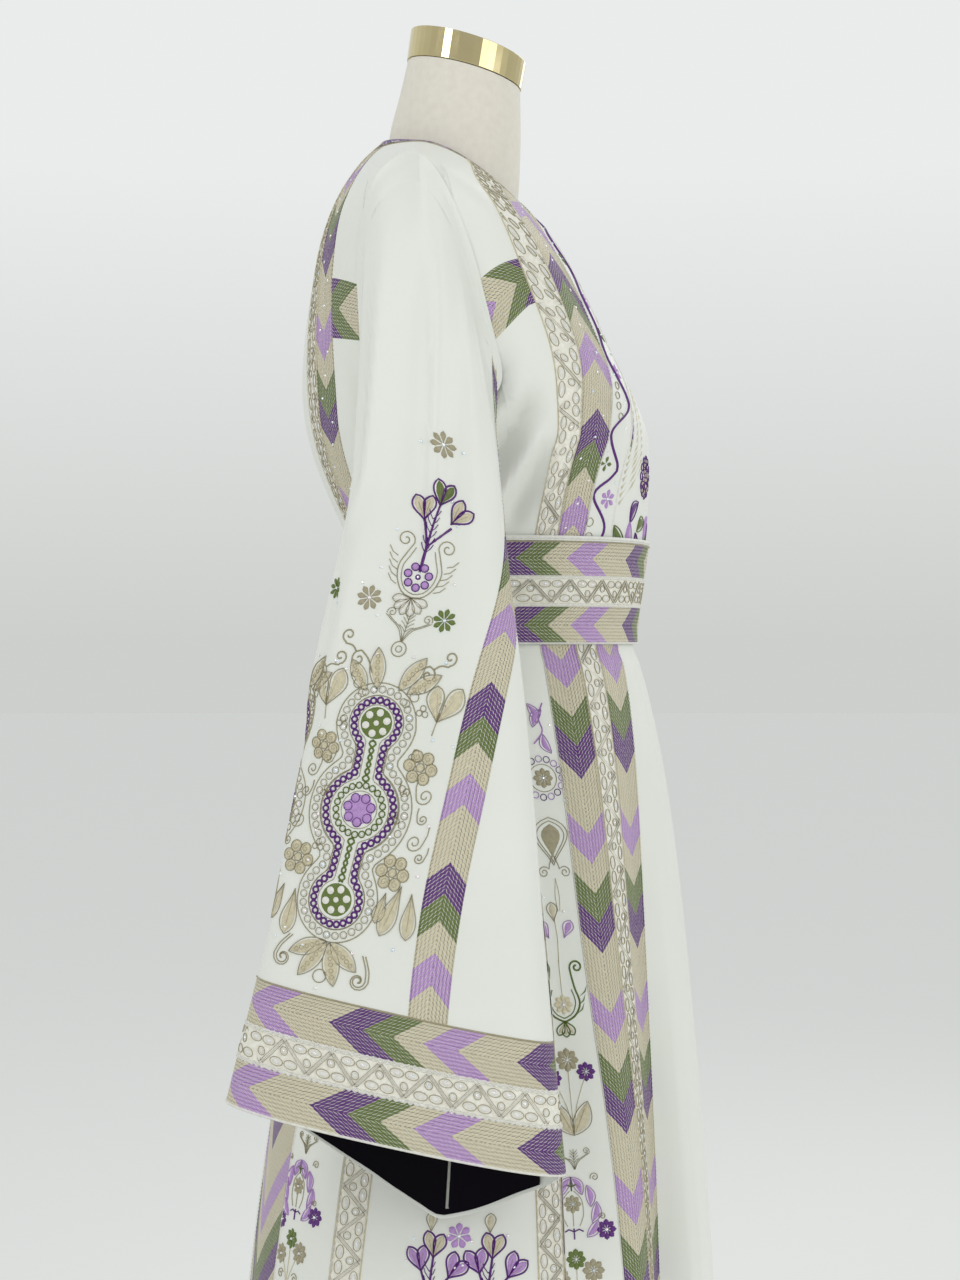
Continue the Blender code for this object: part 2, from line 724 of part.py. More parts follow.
SLEEVE_STATIONS = (0.0, 0.15, 0.4, 0.7, 1.0, 1.5, 2.0, 2.5, 3.0, 4.0, 5.0, CUFF_STATION)
CUFF_STATIONS = (CUFF_STATION, 6.0, 6.5, HEM_STATION)
FRONT_SLEEVE_COLUMNS = 8
BAND_SLEEVE_COLUMNS = 2
MAIN_SLEEVE_COLUMNS = 15


def sleeve_by_length(distance, station):
    """The sleeve's surface by distance from the underarm seam."""
    rows = sleeve_ring(station)
    whole = rows[-1][0]
    return sleeve_point(line_at(rows, distance % whole)[0], station)


def sleeve_normal(distance, station):
    """The sleeve's outward normal."""
    station = min(max(station, 0.03), HEM_STATION - 0.03)
    return normal_at(sleeve_by_length, distance, station, 0.0012, 0.02, -1.0)


def sleeve_distances(part, station):
    """A sleeve piece's column places round the ring: its part is front, band, main or all."""
    whole = sleeve_ring(station)[-1][0]
    low, high = sleeve_band_edges(station)
    front = [low * c / FRONT_SLEEVE_COLUMNS for c in range(FRONT_SLEEVE_COLUMNS + 1)]
    band = [low + (high - low) * c / BAND_SLEEVE_COLUMNS for c in range(BAND_SLEEVE_COLUMNS + 1)]
    main = [high + (whole - high) * c / MAIN_SLEEVE_COLUMNS for c in range(MAIN_SLEEVE_COLUMNS + 1)]
    ends = {"front": front, "band": band, "main": main, "all": front[:-1] + band[:-1] + main[:-1]}
    return [min(max(d, 1e-6), whole - 1e-6) for d in ends[part]]


def sleeve_grid(part, stations):
    """Points and normals of one sleeve piece."""
    points = []
    normals = []
    for station in stations:
        distances = sleeve_distances(part, station)
        points.append([sleeve_by_length(d, station) for d in distances])
        normals.append([sleeve_normal(d, station) for d in distances])
    return points, normals


def pull_in_ends(rows, distance):
    """Opens the seam gap at the two ends of a tube."""
    for end, inside in ((0, 1), (-1, -2)):
        moved = []
        for point, neighbour in zip(rows[end], rows[inside]):
            edge = neighbour - point
            moved.append(point + edge * (distance / edge.length))
        rows[end] = moved


def build_sleeves():
    """Both sleeves with their chevron bands, cuffs and satin linings."""
    pieces = (
        ("sleeve_front", "front", "cloth"),
        ("sleeve_chevron_band", "band", "chevron_embroidery"),
        ("sleeve_main", "main", "cloth"),
    )
    for name, part, material_name in pieces:
        points, normals = sleeve_grid(part, SLEEVE_STATIONS)
        pull_in(points, SEAM / 2)
        wall_pair(name, points, normals, CLOTH, material_name)
    points, normals = sleeve_grid("all", CUFF_STATIONS)
    pull_in_ends(points, SEAM * 2)
    wall("cuff_right", points, normals, CLOTH, "chevron_embroidery", closed=True)
    wall("cuff_left", mirrored(points), mirrored(normals), CLOTH, "chevron_embroidery", closed=True)
    build_lining()


LINING_STATIONS = (6.06, 6.5, 6.95)
LINING_COLUMNS = 12
# Share of the ring that the lining covers to each side of the underarm seam
LINING_REACH = 0.19


def build_lining():
    """The satin that shows inside each cuff, on the side towards the body."""
    points = []
    normals = []
    for station in LINING_STATIONS:
        rows = sleeve_ring(station)
        whole = rows[-1][0]
        reach = whole * LINING_REACH
        row_points = []
        row_normals = []
        for c in range(LINING_COLUMNS + 1):
            distance = -reach + 2 * reach * c / LINING_COLUMNS
            normal = sleeve_normal(distance, station)
            depth = CLOTH + LINING_EASE
            row_points.append(sleeve_by_length(distance, station) - normal * depth)
            row_normals.append(normal)
        points.append(row_points)
        normals.append(row_normals)
    wall_pair("sleeve_lining", points, normals, LINING_THICKNESS, "satin_lining")


BELT_COLUMNS = 44


def build_belt():
    """The embroidered belt, over the waist seam."""
    rows = []
    normals = []
    for height in (BELT_BOTTOM, WAIST_Z, (WAIST_Z + BELT_TOP) / 2, BELT_TOP):
        row = []
        row_normals = []
        for column in range(BELT_COLUMNS):
            degrees = 360.0 * column / BELT_COLUMNS
            if height > WAIST_Z:
                point = bodice_point(degrees, rise_at(degrees, height))
            else:
                point = skirt_ring_point(degrees, height)
            outward = belt_outward(degrees)
            row.append(point + outward * (BELT_EASE + BELT_THICKNESS))
            row_normals.append(outward)
        rows.append(row)
        normals.append(row_normals)
    wall("belt", rows, normals, BELT_THICKNESS, "chevron_embroidery", closed=True)


def rise_at(degrees, height):
    """The rise at which the bodice just above the waist reaches a height."""
    rise = 0.1
    for _ in range(8):
        rise *= (height - WAIST_Z) / (bodice_point(degrees, rise).z - WAIST_Z)
    return rise


def belt_outward(degrees):
    """The waist ring's level outward direction."""
    along = skirt_ring_point(degrees + 0.5, WAIST_Z) - skirt_ring_point(degrees - 0.5, WAIST_Z)
    return Vector((-along.y, along.x, 0.0)).normalized()


def ring_solid(name, rings, material_name):
    """A closed solid through rings of points, with flat ends."""
    mesh_data = bmesh.new()
    loops = [[mesh_data.verts.new(p) for p in ring] for ring in rings]
    for low, high in zip(loops, loops[1:]):
        for c in range(len(low)):
            d = (c + 1) % len(low)
            mesh_data.faces.new((low[c], low[d], high[d], high[c]))
    mesh_data.faces.new(loops[0])
    mesh_data.faces.new(loops[-1])
    bmesh.ops.triangulate(mesh_data, faces=mesh_data.faces)
    return add_object(name, mesh_data, material_name)


FORM_COLUMNS = 28
FORM_RISES = (0.0, 0.12, 0.25, 0.35, 0.45, 0.55, 0.64, 0.70, 0.75, 0.80, 0.87, 0.93, 0.97, 1.0)


def tilted_ring(front_y, front_z, back_y, back_z, half, columns):
    """An oval ring that leans forward, as the neck's rings do."""
    ring = []
    for column in range(columns):
        angle = 2 * math.pi * column / columns
        share = (1 - math.cos(angle)) / 2
        ring.append(Vector((
            -half * math.sin(angle),
            front_y + (back_y - front_y) * share,
            front_z + (back_z - front_z) * share,
        )))
    return ring


def build_form():
    """The linen covered torso and neck, its brass cap, pole and stand."""
    angles = [360.0 * column / FORM_COLUMNS for column in range(FORM_COLUMNS)]
    rings = []
    for height, front_y, back_y, half in TORSO[:-1]:
        ring = []
        for degrees in angles:
            angle = math.radians(degrees)
            end_y = front_y if math.cos(angle) >= 0 else back_y
            ring.append(Vector((-half * math.sin(angle), end_y * abs(math.cos(angle)) ** 0.95, height)))
        rings.append(ring)
    for rise in FORM_RISES:
        depth = row_at(FORM_DEPTH, rise)[0]
        rings.append([bodice_point(a, rise) - bodice_normal(a, rise) * depth for a in angles])
    for ring_sizes in NECK:
        rings.append(tilted_ring(*ring_sizes, FORM_COLUMNS))
    ring_solid("form_body", rings, "form_linen")
    cap = ring_solid(
        "form_neck_cap",
        [tilted_ring(*CAP_BOTTOM, 48), tilted_ring(*CAP_TOP, 48)],
        "polished_brass",
    )
    bevel = cap.modifiers.new("Bevel", "BEVEL")
    bevel.width = CAP_BEVEL
    bevel.segments = 2
    bevel.limit_method = "ANGLE"
    build_stand()


def build_stand():
    """The round foot and the pole that carries the form."""
    radii = (
        (STAND_RADIUS, 0.0),
        (STAND_RADIUS, 0.010),
        (STAND_RADIUS - 0.006, 0.014),
        (0.030, STAND_HEIGHT),
    )
    rings = []
    for radius, height in radii:
        rings.append([
            Vector((radius * math.cos(math.tau * c / 40), radius * math.sin(math.tau * c / 40), height))
            for c in range(40)
        ])
    ring_solid("form_stand", rings, "stand_metal")
    pole = []
    for height in (STAND_HEIGHT + SEAM, FORM_BOTTOM - SEAM):
        pole.append([
            Vector((POLE_RADIUS * math.cos(math.tau * c / 16), POLE_RADIUS * math.sin(math.tau * c / 16), height))
            for c in range(16)
        ])
    ring_solid("form_pole", pole, "stand_metal")


def main():
    """Clears the scene and builds every piece."""
    for old in list(bpy.data.objects):
        bpy.data.objects.remove(old)
    build_form()
    build_bodice()
    build_belt()
    build_sleeves()
    build_skirt()


main()
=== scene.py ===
"""The looks of an embroidered thobe on its limbless dress form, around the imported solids.

Units are metres and +Z is up. The garment faces -Y and its wearer's right side is at -X.
The cloth's surfaces come from the same sizes as the solids, on finer grids, with the creases
of a worn garment. The embroidery is drawn flat, in millimetres, and then laid on those surfaces.
"""
import math

import bpy
import numpy as np
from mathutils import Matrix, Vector


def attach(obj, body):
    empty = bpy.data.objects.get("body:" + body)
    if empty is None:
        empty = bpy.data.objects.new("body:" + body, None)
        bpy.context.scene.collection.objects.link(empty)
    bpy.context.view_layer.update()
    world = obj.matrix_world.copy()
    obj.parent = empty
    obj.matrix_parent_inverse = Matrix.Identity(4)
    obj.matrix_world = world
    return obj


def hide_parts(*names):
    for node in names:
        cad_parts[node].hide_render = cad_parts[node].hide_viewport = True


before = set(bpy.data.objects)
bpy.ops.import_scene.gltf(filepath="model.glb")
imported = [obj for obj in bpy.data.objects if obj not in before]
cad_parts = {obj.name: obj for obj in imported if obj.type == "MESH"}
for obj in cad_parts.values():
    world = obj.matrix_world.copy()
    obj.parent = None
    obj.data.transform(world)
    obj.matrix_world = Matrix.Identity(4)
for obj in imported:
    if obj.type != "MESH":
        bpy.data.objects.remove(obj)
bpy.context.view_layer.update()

# Driving dimensions, the same as the solids'
CLOTH = 0.002
WAIST_Z = 1.058
HEM_Z = 0.020
BELT_TOP = 1.101
BELT_BOTTOM = 1.0135
BELT_THICKNESS = 0.003
BELT_EASE = 0.0014
SLEEVE_BAND_WIDTH = 0.030
LINING_THICKNESS = 0.001
LINING_EASE = 0.0016
# Power of the cloth's rings: 1 is an ellipse, less is squarer
ROUNDING = 0.85

# Bodice meridians: rise, then front (z, y), side (z, half width, y) and back (z, y)
BODICE = (
    (0.0, 1.058, -0.1180, 1.058, 0.142, 0.000, 1.058, 0.1170),
    (0.1, 1.092, -0.1235, 1.095, 0.149, 0.003, 1.100, 0.1300),
    (0.2, 1.126, -0.1270, 1.130, 0.156, 0.008, 1.140, 0.1480),
    (0.3, 1.160, -0.1290, 1.165, 0.162, 0.014, 1.180, 0.1630),
    (0.4, 1.194, -0.1270, 1.200, 0.168, 0.024, 1.222, 0.1705),
    (0.5, 1.228, -0.1140, 1.262, 0.178, 0.040, 1.265, 0.1695),
    (0.6, 1.262, -0.0960, 1.335, 0.188, 0.055, 1.308, 0.1640),
    (0.7, 1.295, -0.0810, 1.388, 0.192, 0.064, 1.348, 0.1560),
    (0.8, 1.325, -0.0670, 1.410, 0.160, 0.068, 1.385, 0.1440),
    (0.9, 1.354, -0.0500, 1.425, 0.113, 0.069, 1.416, 0.1270),
    (1.0, 1.382, -0.0218, 1.437, 0.066, 0.068, 1.443, 0.1045),
)

# Bodice seams in degrees from the centre front: rise, then
# bib, cord panel, chevron strip and front lace edges, then back chevron, lace and centre edges
BODICE_SEAMS = (
    (0.00, 51.0, 66.0, 76.0, 83.0, 141.0, 151.5, 159.0),
    (0.13, 46.0, 60.0, 70.5, 79.0, 140.0, 151.0, 159.0),
    (0.27, 41.0, 54.0, 65.0, 73.0, 138.5, 150.0, 159.0),
    (0.40, 30.0, 43.5, 56.5, 65.5, 137.0, 148.5, 158.0),
    (0.50, 20.0, 33.0, 48.0, 59.5, 138.5, 150.5, 160.0),
    (0.60, 17.0, 30.0, 46.0, 60.0, 140.5, 152.0, 161.5),
    (0.75, 18.0, 33.0, 50.0, 64.0, 139.0, 152.0, 162.5),
    (1.00, 20.0, 38.0, 54.0, 68.0, 130.0, 148.0, 163.0),
)

# Lower and upper edge of the crosswise chevron strips: degrees, lower rise, upper rise
YOKE_STRIP = (
    (0.0, 0.560, 0.620),
    (60.0, 0.560, 0.620),
    (79.0, 0.490, 0.555),
    (123.0, 0.490, 0.560),
    (140.0, 0.500, 0.590),
    (180.0, 0.500, 0.590),
)
# The armhole: its front and back angle, dip and rise in shares of the rise, roundness, middle, and how
# far the sleeve starts inside it; then how far its front edge spreads at the waist, in degrees
ARMHOLE_FRONT = 79.0
ARMHOLE_BACK = 123.0
ARMHOLE_DIP = 0.085
ARMHOLE_RISE = 0.190
ARMHOLE_ROUNDING = 0.75
ARMHOLE_MIDDLE = np.array((-0.180, 0.070, 1.300))
ARMHOLE_INSET = 0.0013
SIDE_SPREAD = 14.0
# Grid rows from the waist to the crosswise strip, over it, and to the neck
ROWS_TO_STRIP = 5
ROWS_TO_SHOULDER = 6
ROWS_TO_NECK = 11

# Skirt rings: height, front y, back y, half width
SKIRT = (
    (0.020, -0.2220, 0.2620, 0.290),
    (0.200, -0.2050, 0.2440, 0.268),
    (0.460, -0.1840, 0.2180, 0.232),
    (0.570, -0.1770, 0.2040, 0.214),
    (0.700, -0.1660, 0.1840, 0.196),
    (0.800, -0.1560, 0.1680, 0.181),
    (0.900, -0.1430, 0.1500, 0.167),
    (0.965, -0.1300, 0.1360, 0.157),
    (1.000, -0.1200, 0.1225, 0.147),
    (1.012, -0.1145, 0.1165, 0.1415),
    (1.058, -0.1180, 0.1170, 0.1420),
)

# Share of the half ring that each skirt panel takes, in millimetres at that height:
# centre front half, inner chevron, lace, outer chevron, front flower panel, side front lace,
# side panel, side back lace, back flower panel, back band, centre back half
SKIRT_WIDTHS = (
    (0.020, 175, 34, 23, 32, 70, 25, 200, 27, 90, 100, 63),
    (0.570, 135, 34, 23, 32, 45, 22, 136, 27, 67, 103, 32),
    (0.770, 123, 34, 23, 32, 31, 20, 96, 23, 55, 100, 30),
    (0.965, 103, 34, 23, 32, 30, 17, 50, 18, 43, 94, 26),
    (1.058, 90, 34, 23, 32, 31, 15, 28, 14, 30, 86, 27),
)
# Depth of the hollow beside the centre front fold: height, depth
CENTRE_FOLD = (
    (0.020, 0.026),
    (0.450, 0.030),
    (0.600, 0.026),
    (0.780, 0.016),
    (0.900, 0.008),
    (0.975, 0.002),
    (1.000, 0.000),
    (1.058, 0.000),
)
# Soft folds round the skirt: height, amplitude
SOFT_FOLDS = (
    (0.020, 0.0090),
    (0.300, 0.0065),
    (0.600, 0.0042),
    (0.900, 0.0020),
    (0.990, 0.0008),
    (1.002, 0.0000),
    (1.058, 0.0000),
)

# Sleeve rings below the cap: station, front y and z, back y and z, middle x, half thickness,
# how far the underarm side hangs lower
SLEEVE = (
    (1.0, 0.0005, 1.1300, 0.1190, 1.1300, -0.222, 0.031, 0.000),
    (2.0, -0.0065, 1.0600, 0.1330, 1.0600, -0.231, 0.031, 0.000),
    (3.0, -0.0160, 0.9800, 0.1480, 0.9850, -0.240, 0.032, 0.000),
    (4.0, -0.0240, 0.8920, 0.1580, 0.9080, -0.247, 0.033, 0.008),
    (5.0, -0.0305, 0.8030, 0.1705, 0.8350, -0.255, 0.035, 0.022),
    (6.0, -0.0385, 0.7100, 0.1870, 0.7600, -0.263, 0.038, 0.042),
    (7.0, -0.0475, 0.6150, 0.2085, 0.6705, -0.271, 0.041, 0.064),
)
CUFF_STATION = 5.95
HEM_STATION = 7.0
# How far the cuff's hem is drawn up on the side towards the body, so that it hangs to a point
# under the underarm seam: angle, lift
HEM_LIFT = (
    (-180.0, 0.000),
    (-164.0, 0.007),
    (-145.0, 0.021),
    (-127.0, 0.033),
    (-102.0, 0.025),
    (-84.0, 0.006),
    (-77.0, -0.002),
    (-70.0, 0.000),
    (-46.0, 0.008),
    (-26.0, 0.005),
    (0.0, 0.000),
)
HEM_LIFT_START = 6.0
# Middle of the sleeve's chevron band from the front fold, along the cloth: station, distance
SLEEVE_BAND = (
    (0.0, -0.050),
    (1.0, -0.018),
    (2.0, 0.005),
    (3.0, 0.0385),
    (4.0, 0.0665),
    (5.0, 0.0915),
    (6.0, 0.112),
    (7.0, 0.125),
)

# Dress form below the waist: height, front y, back y, half width
TORSO = (
    (0.800, -0.096, 0.104, 0.128),
    (0.830, -0.105, 0.116, 0.140),
    (0.900, -0.108, 0.120, 0.146),
    (0.980, -0.098, 0.104, 0.130),
)
# How far the form's skin lies inside the garment's outer surface: rise, depth
FORM_DEPTH = (
    (0.00, 0.0240),
    (0.25, 0.0160),
    (0.45, 0.0100),
    (0.60, 0.0100),
    (0.72, 0.0100),
    (0.80, 0.0046),
    (0.92, 0.0036),
    (0.97, 0.0060),
    (1.00, 0.0056),
)
# Neck: front y and z, back y and z, half width
NECK = (
    (-0.0145, 1.3900, 0.0965, 1.4500, 0.0545),
    (-0.0165, 1.4100, 0.0940, 1.4640, 0.0542),
    (-0.0180, 1.4500, 0.0870, 1.4900, 0.0520),
    (-0.0175, 1.4940, 0.0800, 1.5200, 0.0490),
)


# The bodice grows fuller over the chest: rise where that starts and over which it grows, where it starts
# to fade towards the neck, over which and how far, and what it adds across and along the body
CHEST_START = 0.35
CHEST_GROWTH = 0.4
CHEST_FADE_START = 0.8
CHEST_FADE_SPAN = 0.2
CHEST_FADE = 0.65
CHEST_ACROSS = 0.10
CHEST_ALONG = 0.35
# Power of the cosine with which a meridian's height goes from the side to the front or back
LIFT_POWER = 1.6
# The hollow beside the centre front fold: metres before the panel's edge where it starts, over which it
# sinks, and beyond the edge over which it ends
HOLLOW_START = 0.024
HOLLOW_SINK = 0.026
HOLLOW_END = 0.085
# Metres from the panel's edge over which the soft folds start, and degrees before the back where they end
FOLDS_START = 0.06
FOLDS_END = 8.0
# Powers of a sleeve ring: its breadth, its roundness and the drop of its underarm side
SLEEVE_BREADTH_POWER = 0.95
SLEEVE_ROUNDING = 0.85
SLEEVE_DROP_POWER = 1.4
# How steeply the cap leaves the armhole, outward and down: at the underarm, and what the top adds
CAP_OUT = (0.030, 0.055)
CAP_DOWN = (0.060, 0.140)
CAP_START = np.array((-0.0006, 0.0, 0.0))
# Waves that make the skirt's soft folds: share of the amplitude, how many round, where they start
SOFT_WAVES = ((0.6, 8, 0.6), (0.4, 11, 2.1))
# Stations over which a sleeve's crease grows in and fades out
CREASE_GROWTH = 0.5
CREASE_FADE = 1.2
# The neck's piping: how far its middle lies above the edge, half its height and half its thickness
PIPING_RISE = 0.0016
PIPING_HALF_HEIGHT = 0.0029
PIPING_HALF_THICKNESS = 0.0019
# Millimetres in a metre, and the other way round
MM = 1000
METRE = 0.001


def rows_at(table, keys):
    """Reads a table's rows at any number of keys, on a smooth curve through its rows."""
    rows = np.array(table, float)
    keys = np.clip(np.asarray(keys, float), rows[0, 0], rows[-1, 0])
    index = np.clip(np.searchsorted(rows[:, 0], keys) - 1, 0, len(rows) - 2)
    low = rows[index]
    high = rows[index + 1]
    before = rows[np.maximum(index - 1, 0)]
    after = rows[np.minimum(index + 2, len(rows) - 1)]
    span = high[..., :1] - low[..., :1]
    s = (keys - low[..., 0])[..., None] / span
    start_slope = (high - before)[..., 1:] / (high - before)[..., :1]
    end_slope = (after - low)[..., 1:] / (after - low)[..., :1]
    return (
        (2 * s ** 3 - 3 * s ** 2 + 1) * low[..., 1:]
        + (s ** 3 - 2 * s ** 2 + s) * span * start_slope
        + (3 * s ** 2 - 2 * s ** 3) * high[..., 1:]
        + (s ** 3 - s ** 2) * span * end_slope
    )


def lines_at(table, keys):
    """Reads a table's rows at any number of keys, on straight lines between its rows."""
    rows = np.array(table, float)
    return np.stack([np.interp(keys, rows[:, 0], column) for column in rows[:, 1:].T], -1)


def signed_power(value, power):
    """A power that keeps the sign."""
    return np.sign(value) * np.abs(value) ** power


def ease(value):
    """Smooth step from 0 to 1."""
    value = np.clip(value, 0.0, 1.0)
    return value * value * (3 - 2 * value)


def bump(value, middle, width):
    """A smooth hill of height 1 around a middle."""
    return np.exp(-((value - middle) / width) ** 2)


def unit(vectors):
    """The vectors at length 1."""
    return vectors / np.maximum(np.linalg.norm(vectors, axis=-1, keepdims=True), 1e-12)


def bodice_points(degrees, rise):
    """The bodice's outer surface: degrees from the centre front to the right, rise 0 to 1."""
    degrees, rise = np.broadcast_arrays(np.asarray(degrees, float), np.asarray(rise, float))
    front_z, front_y, side_z, half, side_y, back_z, back_y = np.moveaxis(rows_at(BODICE, rise), -1, 0)
    angle = np.radians(degrees)
    cosine = np.cos(angle)
    fade = CHEST_FADE * ease((rise - CHEST_FADE_START) / CHEST_FADE_SPAN)
    chest = np.clip((rise - CHEST_START) / CHEST_GROWTH, 0.0, 1.0) * (1 - fade)
    across = signed_power(np.sin(angle), ROUNDING + CHEST_ACROSS * chest)
    along = np.abs(cosine) ** (ROUNDING + CHEST_ALONG * chest)
    lift = np.abs(cosine) ** LIFT_POWER
    end_y = np.where(cosine >= 0, front_y, back_y)
    end_z = np.where(cosine >= 0, front_z, back_z)
    return np.stack((-half * across, side_y + (end_y - side_y) * along, side_z + (end_z - side_z) * lift), -1)


def skirt_ring_points(degrees, height):
    """The skirt's smooth ring, before its folds."""
    degrees, height = np.broadcast_arrays(np.asarray(degrees, float), np.asarray(height, float))
    front_y, back_y, half = np.moveaxis(rows_at(SKIRT, height), -1, 0)
    angle = np.radians(degrees)
    cosine = np.cos(angle)
    end_y = np.where(cosine >= 0, front_y, back_y)
    across = -half * signed_power(np.sin(angle), ROUNDING)
    return np.stack((across, end_y * np.abs(cosine) ** ROUNDING, height), -1)


def lengths_along(points):
    """Distances along a line of points, from 0."""
    steps = np.linalg.norm(np.diff(points, axis=0), axis=1)
    return np.concatenate(([0.0], np.cumsum(steps)))


def skirt_edge_shares(heights):
    """Shares of the half ring at which the skirt's panels start and stop, a row for each height."""
    widths = rows_at(SKIRT_WIDTHS, heights)
    cumulative = np.cumsum(widths, axis=-1)
    start = np.zeros(cumulative.shape[:-1] + (1,))
    return np.concatenate((start, cumulative), -1) / cumulative[..., -1:]


def skirt_row(shares, height):
    """The skirt's outer surface at one height, by share of the half ring from the centre front."""
    shares = np.where(shares > 1, shares - 2, np.where(shares < -1, shares + 2, shares))
    side = np.where(shares < 0, -1.0, 1.0)
    angles = np.linspace(0.0, 180.0, 361)
    lengths = lengths_along(skirt_ring_points(angles, height))
    length = np.abs(shares) * lengths[-1]
    degrees = np.interp(length, lengths, angles)
    point = skirt_ring_points(degrees, height)
    along = unit(skirt_ring_points(degrees + 0.5, height) - skirt_ring_points(degrees - 0.5, height))
    outward = np.stack((-along[:, 1], along[:, 0], np.zeros(len(shares))), -1)
    edge = skirt_edge_shares(np.array(height))[1] * lengths[-1]
    hollow = rows_at(CENTRE_FOLD, height)[0]
    beyond = length - edge
    sink = hollow * ease((beyond + HOLLOW_START) / HOLLOW_SINK) * (1 - ease(beyond / HOLLOW_END))
    angle = np.radians(degrees)
    fade = ease(beyond / FOLDS_START) * ease((180.0 - degrees) / FOLDS_END)
    wave = sum(share * np.sin(count * angle + start) for share, count, start in SOFT_WAVES)
    swing = rows_at(SOFT_FOLDS, height)[0] * wave * fade - sink + skirt_gathers(length, height)
    point = point + outward * swing[:, None]
    return point * np.stack((side, np.ones(len(side)), np.ones(len(side))), -1)


# Small gathers where the skirt leaves the belt: distance from the centre front, depth, width; then the
# height where they start, how far they reach down, over which they set in, and how they spread
GATHERS = (
    (0.020, 0.0034, 0.009),
    (0.046, 0.0038, 0.008),
    (0.072, 0.0026, 0.007),
    (0.170, 0.0012, 0.009),
    (0.215, 0.0015, 0.010),
    (0.262, 0.0018, 0.012),
    (0.312, 0.0014, 0.011),
    (0.368, 0.0015, 0.012),
)
GATHER_TOP = 1.006
GATHER_REACH = 0.16
GATHER_START = 0.02
GATHER_SPREAD = 2.2


def skirt_gathers(length, height):
    """Shallow troughs that run down from the belt and fade out."""
    if height > GATHER_TOP:
        return np.zeros(len(length))
    drop = GATHER_TOP - height
    fade = ease(drop / GATHER_START) * (1 - ease(drop / GATHER_REACH))
    spread = 1 + GATHER_SPREAD * drop
    troughs = np.zeros(len(length))
    for place, depth, width in GATHERS:
        troughs -= depth * bump(length, place * spread, width * spread)
    return troughs * fade


def armhole_points(phi):
    """The armhole's edge: phi 0 front, 90 shoulder tip, 180 back, 270 underarm."""
    angle = np.radians(phi)
    middle = (ARMHOLE_FRONT + ARMHOLE_BACK) / 2
    half = (ARMHOLE_BACK - ARMHOLE_FRONT) / 2
    degrees = middle - half * np.cos(angle)
    lower_rise, upper_rise = np.moveaxis(lines_at(YOKE_STRIP, degrees), -1, 0)
    sine = np.sin(angle)
    arch = np.abs(sine) ** ARMHOLE_ROUNDING
    rise = np.where(sine >= 0, upper_rise + ARMHOLE_RISE * arch, lower_rise - ARMHOLE_DIP * arch)
    return bodice_points(degrees, rise)


def sleeve_ring_points(phi, station):
    """A hanging ring of the sleeve: phi 0 front fold, 90 outer side, 180 back fold."""
    front_y, front_z, back_y, back_z, middle_x, half, drop = rows_at(SLEEVE, station)
    angle = np.radians(phi)
    share = (1 - signed_power(np.cos(angle), SLEEVE_BREADTH_POWER)) / 2
    sine = np.sin(angle)
    lower = drop * np.maximum(-sine, 0.0) ** SLEEVE_DROP_POWER
    if station > HEM_LIFT_START:
        turned = (phi + 180.0) % 360.0 - 180.0
        lift = np.where(sine < 0.0, rows_at(HEM_LIFT, turned)[..., 0], 0.0)
        lower = lower - lift * (station - HEM_LIFT_START) / (HEM_STATION - HEM_LIFT_START)
    return np.stack((
        middle_x - half * signed_power(sine, SLEEVE_ROUNDING),
        front_y + (back_y - front_y) * share,
        front_z + (back_z - front_z) * share - lower,
    ), -1)


def sleeve_points(phi, station):
    """The sleeve's outer surface, from the armhole at station 0 to the hem at station 7."""
    if station >= 1.0:
        return sleeve_ring_points(phi, station)
    edge = armhole_points(phi)
    start = edge + unit(ARMHOLE_MIDDLE - edge) * ARMHOLE_INSET + CAP_START
    end = sleeve_ring_points(phi, 1.0)
    end_slope = -2.0 * (end - sleeve_ring_points(phi, 1.5))
    top = (1 + np.sin(np.radians(phi))) / 2
    out = -CAP_OUT[0] - CAP_OUT[1] * top
    down = -CAP_DOWN[0] - CAP_DOWN[1] * top
    start_slope = np.stack((out, np.zeros(len(phi)), down), -1)
    s = station
    return (
        start * (2 * s ** 3 - 3 * s ** 2 + 1)
        + start_slope * (s ** 3 - 2 * s ** 2 + s)
        + end * (3 * s ** 2 - 2 * s ** 3)
        + end_slope * (s ** 3 - s ** 2)
    )


def sleeve_ring_lengths(station):
    """Angles round a sleeve ring from the underarm seam, and the distances to them."""
    phi = np.linspace(-90.0, 270.0, 361)
    return phi, lengths_along(sleeve_points(phi, station))


# Soft troughs down the sleeve: share of the ring at the armhole and at the cuff,
# first and last station, depth, width as a share of the ring
SLEEVE_CREASES = (
    (0.430, 0.395, 0.0, 2.1, 0.0045, 0.026),
    (0.465, 0.800, 0.05, 1.6, 0.0024, 0.020),
    (0.690, 0.720, 1.2, 4.8, 0.0040, 0.022),
    (0.500, 0.520, 2.4, 6.6, 0.0016, 0.050),
    (0.262, 0.262, 0.05, 1.0, 0.0036, 0.015),
    (0.300, 0.302, 0.05, 1.6, -0.0030, 0.017),
    (0.400, 0.372, 0.05, 1.5, 0.0036, 0.016),
    (0.480, 0.560, 0.10, 2.4, 0.0030, 0.014),
    (0.880, 0.900, 0.8, 5.0, 0.0050, 0.035),
    (0.120, 0.100, 0.6, 5.5, 0.0050, 0.040),
)


